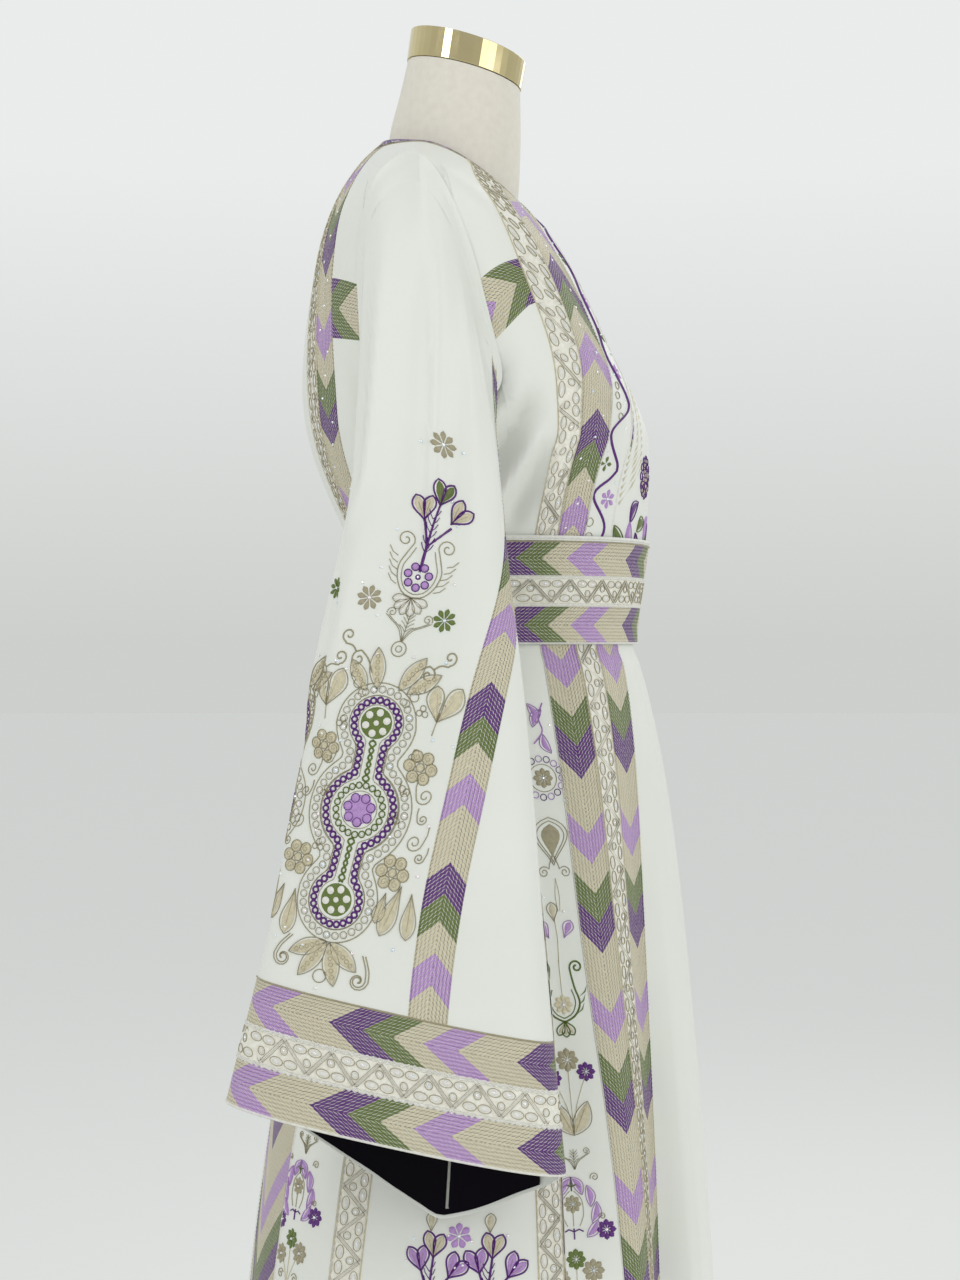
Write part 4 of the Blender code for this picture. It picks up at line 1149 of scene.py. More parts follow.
def make_mesh(name, points, faces, materials, face_materials=None, maps=None, sharp_angle=CLOTH_SHARP_ANGLE):
    """One mesh object from arrays. Faces are rows of four corners, and the last repeats for a triangle."""
    faces = np.asarray(faces)
    triangle = faces[:, 2] == faces[:, 3]
    sizes = np.where(triangle, 3, 4)
    keep = np.ones(faces.shape, bool)
    keep[triangle, 3] = False
    corners = faces[keep].astype(np.int32)
    starts = np.concatenate(([0], np.cumsum(sizes)[:-1])).astype(np.int32)
    mesh = bpy.data.meshes.new(name)
    mesh.vertices.add(len(points))
    mesh.vertices.foreach_set("co", np.asarray(points, np.float32).ravel())
    mesh.loops.add(len(corners))
    mesh.loops.foreach_set("vertex_index", corners)
    mesh.polygons.add(len(faces))
    mesh.polygons.foreach_set("loop_start", starts)
    for material in materials:
        mesh.materials.append(MATERIALS[material])
    if face_materials is not None:
        mesh.polygons.foreach_set("material_index", np.asarray(face_materials, np.int32))
    for map_name, values in (maps or {}).items():
        layer = mesh.uv_layers.new(name=map_name)
        layer.data.foreach_set("uv", np.asarray(values, np.float32)[corners].ravel())
    mesh.update(calc_edges=True)
    mesh.validate()
    mesh.shade_smooth()
    mesh.set_sharp_from_angle(angle=math.radians(sharp_angle))
    made = bpy.data.objects.new(name, mesh)
    bpy.context.scene.collection.objects.link(made)
    return made


def seat(piece, nodes=()):
    """Fixes a piece to the part's one body and hides the solids that it stands for."""
    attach(piece, "root")
    if nodes:
        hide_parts(*nodes)


def grid_faces(rows, columns, closed=False, start=0):
    """Corners of a grid's cells, facing its outer side."""
    r, c = np.meshgrid(np.arange(rows - 1), np.arange(columns if closed else columns - 1), indexing="ij")
    r = r.ravel()
    c = c.ravel()
    d = (c + 1) % columns
    corners = (r * columns + c, (r + 1) * columns + c, (r + 1) * columns + d, r * columns + d)
    return np.stack(corners, -1) + start


def flip(faces):
    """The same faces turned to their other side."""
    turned = faces[:, ::-1].copy()
    triangle = faces[:, 2] == faces[:, 3]
    turned[triangle] = faces[triangle][:, (0, 2, 1, 1)]
    return turned


def wall_mesh(points, normals, thickness, closed):
    """A thin wall: its outer face is the grid, its inner face one thickness in.

    Gives its points, its faces and how many of these are the outer ones, which come first.
    """
    rows, columns = points.shape[:2]
    count = rows * columns
    outer = grid_faces(rows, columns, closed)
    inner = flip(grid_faces(rows, columns, closed, start=count))
    if closed:
        ring = np.arange(columns)
        after = (ring + 1) % columns
        top = (rows - 1) * columns
        rims = [
            np.stack((ring, after, after + count, ring + count), -1),
            np.stack((ring + top, ring + top + count, after + top + count, after + top), -1),
        ]
    else:
        border = np.concatenate((
            np.arange(columns),
            np.arange(1, rows) * columns + columns - 1,
            (rows - 1) * columns + np.arange(columns - 2, -1, -1),
            np.arange(rows - 2, 0, -1) * columns,
        ))
        after = np.roll(border, -1)
        rims = [np.stack((border, after, after + count, border + count), -1)]
    everything = np.concatenate((points.reshape(-1, 3), (points - normals * thickness).reshape(-1, 3)))
    return everything, np.concatenate([outer, inner, *rims]), len(outer)


def mirror(points):
    """The same points on the wearer's left."""
    return points * np.array((-1.0, 1.0, 1.0))


def both_sides(points, faces, pair=True):
    """The end of a piece's name, its points and its faces: for each side, or once for a middle piece."""
    if not pair:
        return (("", points, faces),)
    return (("_right", points, faces), ("_left", mirror(points), flip(faces)))


def cone_faces(sides):
    """Faces of a low round shape: two rings of points and one in the middle."""
    index = np.arange(sides)
    after = (index + 1) % sides
    middle = np.full(sides, 2 * sides)
    rim = np.stack((index, after, after + sides, index + sides), -1)
    top = np.stack((index + sides, after + sides, middle, middle), -1)
    return np.concatenate((rim, top))


def add_shell(name, panel, material, thickness=CLOTH, closed=False, pair=True, band=None,
              codes=None):
    """Builds a panel's cloth, on both sides where it is one of a pair.

    band gives the UV map of an embroidered strip: its values for each grid point.
    codes gives each row of cells its material: 0 for the piece's own, 1 for lace, 2 for cloth.
    """
    points, faces, outer = wall_mesh(panel.points, panel.normals, thickness, closed)
    maps = {}
    if band is not None:
        flat = band.reshape(-1, 2)
        maps["band"] = np.concatenate((flat, flat))
    materials = [material]
    face_materials = None
    if codes is not None:
        materials = [material, "lace", "cloth"]
        outside = np.repeat(codes, outer // len(codes))
        face_materials = np.concatenate((outside, np.full(len(faces) - outer, materials.index("cloth"))))
    for ending, placed, turned in both_sides(points, faces, pair):
        piece = make_mesh("cloth_" + name + ending, placed, turned, materials, face_materials, maps)
        seat(piece, [name + ending])
        declare_sheet(panel)


SHEET_AREA_FLOOR = 0.301


def declare_sheet(panel):
    """Works out the cut of a cloth piece: its greatest width and length along the cloth, and its own area,
    and keeps none of them.

    The two shoulder panels are crescents of 0.273 of their width times length, so the area worked out for
    them is the floor and not their own area.
    """
    across = np.diff(panel.points, axis=1)
    along = np.diff(panel.points, axis=0)
    width = float(panel.widths.max())
    length = float(np.linalg.norm(along, axis=2).sum(0).max())
    first = np.cross(across[:-1], along[:, :-1])
    second = np.cross(across[1:], along[:, 1:])
    area = float((np.linalg.norm(first, axis=2) + np.linalg.norm(second, axis=2)).sum() / 2)
    area = min(max(area, SHEET_AREA_FLOOR * width * length), width * length)


def band_map(panel, lead, tips_up):
    """A strip's UV map: metres from its middle, and metres back from the leading tip."""
    columns = panel.points.shape[1]
    x = (0.5 - np.linspace(0.0, 1.0, columns))[None, :] * panel.widths[:, None]
    y = (panel.heights[:, None] - lead) * np.ones((1, columns))
    return np.stack((x, -y if tips_up else y), -1)


# First and last angle of the belt's surface. The belt is read from 0 to 360 degrees, so its cloth past
# the last angle folds together on it: from the left of the back to the centre front there is none.
BELT_SURFACE_ANGLES = (-183.0, 225.0)


def belt_surface():
    """The belt's outer face, by degrees from the centre front and height."""
    degrees = np.linspace(*BELT_SURFACE_ANGLES, 409)
    heights = np.linspace(BELT_BOTTOM, BELT_TOP, 41)
    along = skirt_ring_points(degrees + 0.5, WAIST_Z) - skirt_ring_points(degrees - 0.5, WAIST_Z)
    outward = unit(np.stack((-along[:, 1], along[:, 0], np.zeros(len(degrees))), -1))
    rows = []
    for height in heights:
        point = skirt_ring_points(degrees, height)
        if height > WAIST_Z:
            rise = np.full(len(degrees), 0.1)
            for _ in range(10):
                rise = rise * (height - WAIST_Z) / (bodice_points(degrees, rise)[:, 2] - WAIST_Z)
            point = bodice_points(degrees, rise)
        rows.append(point + outward * (BELT_EASE + BELT_THICKNESS))
    return Surface(degrees, heights, np.array(rows))


BELT_SURFACE = belt_surface()
# Heights of the belt's rows above its lower edge: lower chevrons, lace, upper chevrons, top fold
BELT_ROWS = (0.0, 0.0312, 0.0553, 0.0838, 0.0875)
# Shares of the cuff's height at the edges of its three strips
CUFF_ROWS = (0.0, 0.365, 0.635, 1.0)


def stepped(edges, counts):
    """Places between edges, so many cells in each step."""
    places = [edges[0]]
    for low, high, count in zip(edges, edges[1:], counts):
        places += list(low + (high - low) * np.arange(1, count + 1) / count)
    return np.array(places)


def belt_panel(start, stop, columns, heights):
    """Part of the belt between two angles."""
    return even_panel(BELT_SURFACE, np.linspace(start, stop, columns), BELT_BOTTOM + heights)


def around_lengths(panel):
    """Distance round the middle row of a ring panel, for each column."""
    return lengths_along(panel.points[len(panel.points) // 2])


def ring_band(panel, levels, edges, leads, run, scale=1.0):
    """The UV map of a ring's lower and upper chevron strips, with lace between them.

    edges are the strips' levels, leads the places of a purple tip and run the distance round.
    """
    band = np.zeros(panel.points.shape[:2] + (2,))
    for row, level in enumerate(levels):
        upper = int(level > (edges[1] + edges[2]) / 2)
        middle = (edges[2 * upper] + edges[2 * upper + 1]) / 2
        band[row, :, 0] = (level - middle) * scale
        band[row, :, 1] = leads[upper] - run
    return band[:, :-1]


# Where a purple tip leads on the belt's lower and upper row: metres round from the centre front
BELT_LEADS = (0.0957, 0.1017)
# The same on the cuff's lower and upper strip, round from the underarm seam
CUFF_LEADS = (0.194, 0.187)
# Rows of cells in each step of the belt and the cuff, and the material of each step
BELT_CELLS = (6, 5, 5, 3)
BELT_CODES = (0, 1, 0, 2)
CUFF_CELLS = (7, 5, 7)
CUFF_CODES = (0, 1, 0)
CUFF_COLUMNS = 129


def build_belt():
    """The belt: two rows of chevrons that point to the back, with a lace row between."""
    heights = stepped(BELT_ROWS, BELT_CELLS)
    panel = belt_panel(0.0, 360.0, 181, heights)
    lengths = around_lengths(panel)
    from_front = np.where(lengths > lengths[-1] / 2, lengths[-1] - lengths, lengths)
    band = ring_band(panel, heights, BELT_ROWS, BELT_LEADS, from_front)
    panel.drop_last_column()
    add_shell("belt", panel, "chevron_belt", BELT_THICKNESS, closed=True, pair=False,
              band=band, codes=np.repeat(BELT_CODES, BELT_CELLS))


def build_cuff():
    """Each cuff: chevrons, lace and chevrons, with a turned white edge."""
    shares = stepped(CUFF_ROWS, CUFF_CELLS)
    stations = HEM_STATION + (CUFF_STATION - HEM_STATION) * shares
    panel = even_panel(SLEEVE_SURFACE, np.linspace(0.0, 1.0, CUFF_COLUMNS), stations)
    band = ring_band(panel, shares, CUFF_ROWS, CUFF_LEADS, around_lengths(panel), panel.length)
    panel.drop_last_column()
    add_shell("cuff", panel, "chevron_cuff", closed=True, band=band,
              codes=np.repeat(CUFF_CODES, CUFF_CELLS))


def build_lining():
    """The satin inside each cuff, on the side towards the body."""
    panel = even_panel(SLEEVE_SURFACE, np.linspace(-0.20, 0.20, 40), np.linspace(6.97, 6.04, 14))
    panel.points = panel.points - panel.normals * (CLOTH + LINING_EASE)
    panel.widths = np.linalg.norm(np.diff(panel.points, axis=1), axis=2).sum(1)
    add_shell("sleeve_lining", panel, "lining", LINING_THICKNESS)


# The overlocked seam inside the cuff: share of the ring, half its strip's width, its stations, and in
# millimetres its step, the width of a wave and its length
LINING_SEAM_SHARE = 0.070
LINING_SEAM_REACH = 0.02
LINING_SEAM_STATIONS = (6.10, 6.93)
LINING_SEAM_STEP = 0.8
LINING_SEAM_SWAY = 0.9
LINING_SEAM_WAVE = 3.2


def stitch_lining():
    """The overlocked seam inside each cuff. Its loose end is drawn past the lining and stays at its edge."""
    stations = np.linspace(LINING_SEAM_STATIONS[1], LINING_SEAM_STATIONS[0], 24)
    shares = np.linspace(LINING_SEAM_SHARE + LINING_SEAM_REACH, LINING_SEAM_SHARE - LINING_SEAM_REACH, 9)
    panel = even_panel(SLEEVE_SURFACE, shares, stations)
    panel.points = panel.points - panel.normals * (CLOTH + LINING_EASE + LINING_THICKNESS)
    panel.normals = -panel.normals
    drawing = Drawing()
    y = np.arange(0.0, panel.length * MM, LINING_SEAM_STEP)
    for phase in (0.0, math.pi):
        x = LINING_SEAM_SWAY * np.sin(y * math.tau / LINING_SEAM_WAVE + phase)
        drawing.cord(np.stack((x, y), -1), 1.0, WHITE, 0.9)
    drawing.cord(((0.0, 2.0), (1.5, -6.0), (-1.0, -14.0), (0.5, -20.0)), 0.8, WHITE, 0.6)
    drawing.build("stitching_lining", panel)


# Skirt strips: node name, ring edge where it starts, columns, material, slot
SKIRT_STRIPS = (
    ("skirt_inner_chevron", 1, 7, "chevron_long", "chevron_embroidery"),
    ("skirt_front_lace", 2, 6, "lace", "lace_embroidery"),
    ("skirt_outer_chevron", 3, 7, "chevron_long", "chevron_embroidery"),
    ("skirt_front_flower_panel", 4, 12, "cloth", "ivory_crepe"),
    ("skirt_side_front_lace", 5, 6, "lace", "lace_embroidery"),
    ("skirt_side_panel", 6, 26, "cloth", "ivory_crepe"),
    ("skirt_side_back_lace", 7, 6, "lace", "lace_embroidery"),
    ("skirt_back_flower_panel", 8, 12, "cloth", "ivory_crepe"),
    ("skirt_back_band", 9, 18, "chevron_long", "chevron_embroidery"),
)
# Height of a leading purple tip on the skirt's strips
SKIRT_LEAD = {"skirt_inner_chevron": 0.765, "skirt_outer_chevron": 0.905, "skirt_back_band": 0.870}
# Panels that stitching is laid on, by node name
PANELS = {}


def build_skirt():
    """All skirt panels."""
    panel = skirt_panel(0, 1, 40, centre="front")
    add_shell("skirt_centre_front", panel, "cloth", pair=False)
    for name, edge, columns, material, slot in SKIRT_STRIPS:
        panel = skirt_panel(edge, edge + 1, columns)
        PANELS[name] = panel
        band = None
        if name in SKIRT_LEAD:
            band = band_map(panel, panel.height_of(SKIRT_LEAD[name]), tips_up=False)
        add_shell(name, panel, material, band=band)
    panel = skirt_panel(10, 11, 26, centre="back")
    add_shell("skirt_centre_back", panel, "cloth", pair=False)


# Station of a leading purple tip on the sleeve's chevron band
SLEEVE_LEAD = 2.94


def build_sleeves():
    """Both sleeves, their chevron bands, cuffs and linings."""
    for part, name, columns in (("front", "sleeve_front", 30), ("main", "sleeve_main", 60)):
        panel = sleeve_panel(part, columns)
        PANELS[name] = panel
        add_shell(name, panel, "cloth")
    panel = sleeve_panel("band", 8)
    PANELS["sleeve_chevron_band"] = panel
    band = band_map(panel, panel.height_of(SLEEVE_LEAD), tips_up=True)
    add_shell("sleeve_chevron_band", panel, "chevron_sleeve", band=band)
    build_cuff()
    build_lining()


# Bodice strips: node name, low seam, columns, material, slot
BODICE_STRIPS = (
    ("front_cord_panel", 1, 9, "cloth", "ivory_crepe"),
    ("front_chevron_strip", 2, 8, "chevron_long", "chevron_embroidery"),
    ("front_lace_strip", 3, 8, "lace", "lace_embroidery"),
    ("back_chevron_strip", 5, 8, "chevron_long", "chevron_embroidery"),
    ("back_lace_strip", 6, 8, "lace", "lace_embroidery"),
)

# Rise of a leading purple tip on the bodice's strips, and how far one lies beyond the crosswise ones
BODICE_LEAD = {"front_chevron_strip": 0.420, "back_chevron_strip": 0.60}
CROSS_LEAD = 0.040


def build_bodice():
    """All bodice panels."""
    panel = bodice_panel(0, 1, 46, centre="front")
    PANELS["front_bib"] = panel
    add_shell("front_bib", panel, "cloth", pair=False)
    for name, seam, columns, material, slot in BODICE_STRIPS:
        panel = bodice_panel(seam, seam + 1, columns)
        PANELS[name] = panel
        band = None
        if name in BODICE_LEAD:
            band = band_map(panel, panel.height_of(BODICE_LEAD[name]), tips_up=name.startswith("front"))
        add_shell(name, panel, material, band=band)
    panel = bodice_panel(7, 8, 20, centre="back")
    add_shell("back_centre", panel, "cloth", pair=False)
    add_shell("bodice_side", armhole_panel(False, 40), "cloth")
    add_shell("shoulder", armhole_panel(True, 34), "cloth")
    for name, front in (("front_cross_strip", True), ("back_cross_strip", False)):
        panel = cross_panel(front)
        columns = panel.points.shape[1]
        x = (panel.heights - panel.length / 2)[:, None] * np.ones((1, columns))
        y = np.linspace(0.0, 1.0, columns)[None, :] * panel.widths[:, None]
        band = np.stack((x, (y if front else panel.widths[:, None] - y) + CROSS_LEAD), -1)
        add_shell(name, panel, "chevron_long", band=band)


def ring_mesh(name, rings, material):
    """A closed round solid through rings of points, with flat ends."""
    points = np.array(rings)
    rows, columns = points.shape[:2]
    faces = grid_faces(rows, columns, closed=True)
    bottom = len(points.reshape(-1, 3))
    middle = np.stack((points[0].mean(0), points[-1].mean(0)))
    ring = np.arange(columns)
    after = (ring + 1) % columns
    top = (rows - 1) * columns
    low = np.full(columns, bottom)
    low_cap = np.stack((ring, after, low, low), -1)
    high_cap = np.stack((after + top, ring + top, low + 1, low + 1), -1)
    everything = np.concatenate((points.reshape(-1, 3), middle))
    return make_mesh(name, everything, np.concatenate((faces, low_cap, high_cap)), [material])


def tilted_ring(row):
    """An oval ring that leans forward, as the neck's rings do."""
    front_y, front_z, back_y, back_z, half = row
    angle = np.linspace(0.0, math.tau, FORM_COLUMNS, endpoint=False)
    share = (1 - np.cos(angle)) / 2
    return np.stack((
        -half * np.sin(angle),
        front_y + (back_y - front_y) * share,
        front_z + (back_z - front_z) * share,
    ), -1)


FORM_COLUMNS = 112


def build_form():
    """The linen covered torso and neck, and finishes for the cap, pole and foot."""
    degrees = np.linspace(0.0, 360.0, FORM_COLUMNS, endpoint=False)
    angle = np.radians(degrees)
    rings = []
    for height, front_y, back_y, half in TORSO:
        end_y = np.where(np.cos(angle) >= 0, front_y, back_y)
        rings.append(np.stack((
            -half * np.sin(angle), end_y * np.abs(np.cos(angle)) ** 0.95, np.full(FORM_COLUMNS, height)
        ), -1))
    for rise in np.linspace(0.0, 1.0, 34):
        inside = min(max(rise, 0.004), 0.996)
        step = bodice_points(degrees + 0.4, inside) - bodice_points(degrees - 0.4, inside)
        climb = bodice_points(degrees, inside + 0.003) - bodice_points(degrees, inside - 0.003)
        normal = unit(np.cross(climb, step))
        rings.append(bodice_points(degrees, rise) - normal * rows_at(FORM_DEPTH, rise)[0])
    steps = (0.0, 0.5, 1.0, 1.33, 1.66, 2.0, 2.25, 2.5, 2.75, 3.0)
    for step in steps:
        row = rows_at([(i, *values) for i, values in enumerate(NECK)], step)
        rings.append(tilted_ring(row))
    piece = ring_mesh("form_linen_body", rings, "linen")
    seat(piece, ["form_body"])
    for node, material in (("form_neck_cap", "brass"), ("form_pole", "enamel"), ("form_stand", "enamel")):
        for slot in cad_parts[node].material_slots:
            slot.material = MATERIALS[material]


def build_neck_piping():
    """The purple binding round the neck, a folded strip with a rounded top."""
    degrees = np.linspace(0.0, 360.0, 160, endpoint=False)
    edge = bodice_points(degrees, 1.0)
    direction = unit(edge - bodice_points(degrees, 0.97))
    step = bodice_points(degrees + 0.4, 0.996) - bodice_points(degrees - 0.4, 0.996)
    normal = unit(np.cross(direction, step))
    middle = edge + direction * PIPING_RISE - normal * CLOTH * 0.5
    rings = []
    for turn in np.linspace(0.0, math.tau, 10, endpoint=False):
        up = direction * PIPING_HALF_HEIGHT * math.cos(turn)
        rings.append(middle + up + normal * PIPING_HALF_THICKNESS * math.sin(turn))
    rings.append(rings[0])
    points = np.array(rings)
    faces = grid_faces(len(rings), len(degrees), closed=True)
    piece = make_mesh("neck_binding", points.reshape(-1, 3), faces, ["piping"])
    seat(piece, ["neck_piping"])


# Millimetres that the edges of a raised stitch lie under the cloth, and corners of a stone's outline
SUNK = -0.15
STONE_SIDES = 7


class Drawing:
    """Stitched shapes on one panel, drawn flat in millimetres: x to the viewer's right, y up."""

    def __init__(self, lean=None):
        """lean gives how far the panel's y axis leans from square to its x axis: degrees at a height."""
        self.lean = lean
        self.points = []
        self.faces = []
        self.codes = []
        self.maps = []
        self.count = 0
        self.threads = []
        self.spot()

    def spot(self, x=0.0, y=0.0, turn=0.0, size=1.0, flip=1.0):
        """Moves the drawing's own origin: turn in degrees to the left, flip -1 for a mirrored motif."""
        cosine = math.cos(math.radians(turn))
        sine = math.sin(math.radians(turn))
        self.origin = np.array((x, y))
        self.frame = np.array(((cosine, sine), (-sine, cosine))) * size
        if self.lean and (x or y):
            lean = math.radians(self.lean(y))
            self.frame = self.frame @ np.array(((1 / math.cos(lean), -math.tan(lean)), (0.0, 1.0)))
        self.flip = flip

    def add(self, points, faces, thread, uv):
        """Adds a shape: flat points with their lift, faces, thread and stitch map."""
        flat = np.asarray(points, float)
        placed = (flat[:, :2] * (self.flip, 1.0)) @ self.frame + self.origin
        if thread not in self.threads:
            self.threads.append(thread)
        self.points.append(np.column_stack((placed, flat[:, 2])))
        faces = np.asarray(faces)
        self.faces.append((flip(faces) if self.flip < 0 else faces) + self.count)
        self.codes.append(np.full(len(faces), self.threads.index(thread)))
        self.maps.append(np.asarray(uv, float) * METRE)
        self.count += len(flat)

    def ribbon(self, path, widths, thread, lift, closed=False):
        """A ridge of thread along a path, three points wide."""
        path = np.asarray(path, float)
        before = np.roll(path, 1, 0) if closed else np.vstack((path[:1], path[:-1]))
        after = np.roll(path, -1, 0) if closed else np.vstack((path[1:], path[-1:]))
        ahead = unit(after - before + 1e-9)
        side = np.stack((-ahead[:, 1], ahead[:, 0]), -1)
        half = np.broadcast_to(np.asarray(widths, float) / 2, (len(path),))[:, None]
        left = path + side * half
        right = path - side * half
        rise = np.full((len(path), 1), lift) * np.minimum(half / max(half.max(), 1e-6) + 0.25, 1.0)
        sunk = np.full((len(path), 1), SUNK)
        rows = np.stack((
            np.hstack((right, sunk)), np.hstack((path, rise)), np.hstack((left, sunk))
        ), 1)
        count = len(path)
        index = np.arange(count if closed else count - 1)
        after_index = (index + 1) % count
        faces = [
            np.stack((index * 3 + k, index * 3 + k + 1, after_index * 3 + k + 1, after_index * 3 + k), -1)
            for k in (0, 1)
        ]
        run = lengths_along(path)
        uv = np.stack((np.repeat(run, 3), np.tile((0.0, 0.5, 1.0), count) * np.repeat(half[:, 0] * 2, 3)), -1)
        self.add(rows.reshape(-1, 3), flip(np.concatenate(faces)), thread, uv)

    def cord(self, path, width, thread, lift=0.9, taper=0.0, closed=False):
        """A couched cord or row of stitches; taper narrows its ends."""
        widths = np.full(len(path), float(width))
        if taper:
            share = np.linspace(0.0, 1.0, len(path))
            widths *= np.clip(np.minimum(share, 1 - share) / taper, 0.12, 1.0)
        self.ribbon(path, widths, thread, lift, closed)

    def ring(self, x, y, radius, width, thread, lift=0.7, sides=12):
        """A small embroidered ring."""
        self.cord(circle(x, y, radius, sides), width, thread, lift, closed=True)

    def dome(self, x, y, radius, thread, lift=1.0, sides=10, squash=1.0):
        """A padded round spot."""
        ring = circle(0.0, 0.0, 1.0, sides)
        rows = []
        for share, height in ((1.0, SUNK), (0.72, lift * 0.75), (0.0, lift)):
            across = x + ring[:, 0] * radius * share
            up = y + ring[:, 1] * radius * share * squash
            rows.append(np.column_stack((across, up, np.full(sides, height))))
        points = np.vstack((rows[0], rows[1], rows[2][:1]))
        self.add(points, cone_faces(sides), thread, points[:, :2])

    def crystal(self, x, y, radius=1.5):
        """A flat-backed cut stone."""
        ring = circle(0.0, 0.0, 1.0, STONE_SIDES)
        rows = []
        for share, height in ((1.0, 0.1), (0.55, radius * 0.75)):
            across = x + ring[:, 0] * radius * share
            up = y + ring[:, 1] * radius * share
            rows.append(np.column_stack((across, up, np.full(STONE_SIDES, height))))
        points = np.vstack((*rows, ((x, y, radius * 0.75),)))
        self.add(points, cone_faces(STONE_SIDES), "crystal", points[:, :2])

    def blade(self, length, width, thread, shape="leaf", bend=0.0, lift=0.9, steps=8, start=0.0):
        """A filled leaf, drop or heart from the origin up the y axis."""
        share = np.linspace(0.0, 1.0, steps)
        half = blade_half(share, shape) * width / 2
        axis_x = bend * np.sin(share * math.pi)
        axis_y = start + share * length
        rows = []
        for side, height in ((1.0, SUNK), (0.55, 0.85), (0.0, 1.0), (-0.55, 0.85), (-1.0, SUNK)):
            level = np.full(steps, height * lift if height > 0 else height)
            rows.append(np.column_stack((axis_x + half * side, axis_y, level)))
        points = np.stack(rows, 1)
        uv = np.stack((points[..., 1], points[..., 0]), -1)
        self.add(points.reshape(-1, 3), grid_faces(steps, 5), thread, uv.reshape(-1, 2))

    def outlined(self, length, width, edge_thread, fill_thread, shape="drop", bend=0.0, line=1.3, gap=1.0,
                 start=0.0):
        """A blade with a couched outline round it."""
        share = np.linspace(0.0, 1.0, 13)
        half = blade_half(share, shape) * width / 2
        axis_x = bend * np.sin(share * math.pi)
        axis_y = start + share * length
        right = np.stack((axis_x + half, axis_y), -1)
        left = np.stack((axis_x - half, axis_y), -1)[::-1]
        self.cord(np.vstack((right[:-1], left[:-1])), line, edge_thread, 1.0, closed=True)
        inset = gap + line / 2
        start += inset * 1.1
        self.blade(length - 2 * inset, width - 2 * inset, fill_thread, shape, bend, 0.7, start=start)

    def flower(self, x, y, radius, thread, petals=8, width=0.62):
        """A flat flower of drop petals round a small stone."""
        keep = (self.origin, self.frame)
        for number in range(petals):
            turn = 360.0 * number / petals
            cosine = math.cos(math.radians(turn))
            sine = math.sin(math.radians(turn))
            self.origin = keep[0] + (np.array((x, y)) * (self.flip, 1.0)) @ keep[1]
            self.frame = np.array(((cosine, sine), (-sine, cosine))) @ keep[1]
            self.blade(radius * 0.86, radius * width, thread, "drop", lift=0.8, steps=6, start=radius * 0.14)
        self.origin, self.frame = keep
        self.crystal(x, y, min(radius * 0.20, 1.5))

    def rosette(self, x, y, radius, thread, edge=None, balls=6, heart=None, heart_thread=None, fill=0.74):
        """Round spots in a circle, each with its own outline where an edge thread is named."""
        spot = radius * math.sin(math.pi / balls) / (1 + math.sin(math.pi / balls)) * 0.97
        for number in range(balls):
            angle = math.tau * number / balls + 0.3
            px = x + (radius - spot) * math.cos(angle)
            py = y + (radius - spot) * math.sin(angle)
            self.dome(px, py, spot * fill, thread, 1.1, 9)
            if edge:
                self.ring(px, py, spot * 0.88, spot * 0.30, edge, 0.8, 10)
        if heart_thread:
            self.dome(x, y, spot * 0.70, heart_thread, 1.0, 8)
        if heart:
            self.ring(x, y, spot * 0.9, spot * 0.35, heart, 0.8, 10)

    def chain(self, path, pitch, radius, width, thread, stones=0):
        """A row of small rings round a closed path; every so many rings hold a stone."""
        for number, (x, y) in enumerate(even_points(path, pitch)):
            self.ring(x, y, radius, width, thread, 0.75, 8)
            if stones and number % stones == 0:
                self.crystal(x, y, radius * 0.62)

    def pearls(self, path, pitch, radius, thread):
        """Padded spots in the rings of a chain along the same path."""
        for x, y in even_points(path, pitch):
            self.dome(x, y, radius, thread, 0.6, 7)

    def fern(self, path, barb, thread, width, lean):
        """A stem with short slanted barbs on both sides."""
        path = np.asarray(path, float)
        self.cord(path, width, thread, 0.8)
        ahead = unit(np.gradient(path, axis=0))
        for number in range(1, len(path) - 1):
            for side in (-1, 1):
                angle = math.radians(lean) * side
                x, y = ahead[number]
                cosine = math.cos(angle)
                sine = math.sin(angle)
                way = np.array((x * cosine - y * sine, x * sine + y * cosine))
                size = barb * (1 - 0.4 * number / len(path))
                strokes = np.stack((path[number], path[number] + way * size * 0.6, path[number] + way * size))
                self.cord(strokes, width * 0.9, thread, 0.7)

    def build(self, name, panel, pair=True):
        """Lays the drawing on a panel as one joined mesh a side."""
        flat = np.vstack(self.points) * METRE
        faces = np.vstack(self.faces)
        points = panel.place(flat[:, 0], flat[:, 1], flat[:, 2])
        for ending, placed, turned in both_sides(points, faces, pair):
            piece = make_mesh(name + ending, placed, turned, self.threads, np.concatenate(self.codes),
                              {"stitch": np.vstack(self.maps)}, STITCH_SHARP_ANGLE)
            seat(piece)


def circle(x, y, radius, sides):
    """Points round a circle."""
    angle = np.linspace(0.0, math.tau, sides, endpoint=False)
    return np.stack((x + radius * np.cos(angle), y + radius * np.sin(angle)), -1)


def blade_half(share, shape):
    """Half width of a leaf or drop along its length, from 0 to 1."""
    if shape == "drop":
        return np.sin(np.clip(share, 0, 1) ** 1.7 * math.pi) ** 0.75 + 0.01
    return np.sin(np.clip(share, 0, 1) * math.pi) ** 0.85 + 0.01


# Radius where a curl ends, as a share of its outer one
CURL_END = 0.18


def spiral(x, y, radius, turns, start, way, points, tail=()):
    """A curl that winds inward from its outer end; tail points lead up to it."""
    share = np.linspace(0.0, 1.0, points)
    angle = math.radians(start) + way * share * turns * math.tau
    reach = radius * (1 - (1 - CURL_END) * share)
    curl = np.stack((x + reach * np.cos(angle), y + reach * np.sin(angle)), -1)
    return np.vstack((np.asarray(tail, float).reshape(-1, 2), curl)) if len(tail) else curl


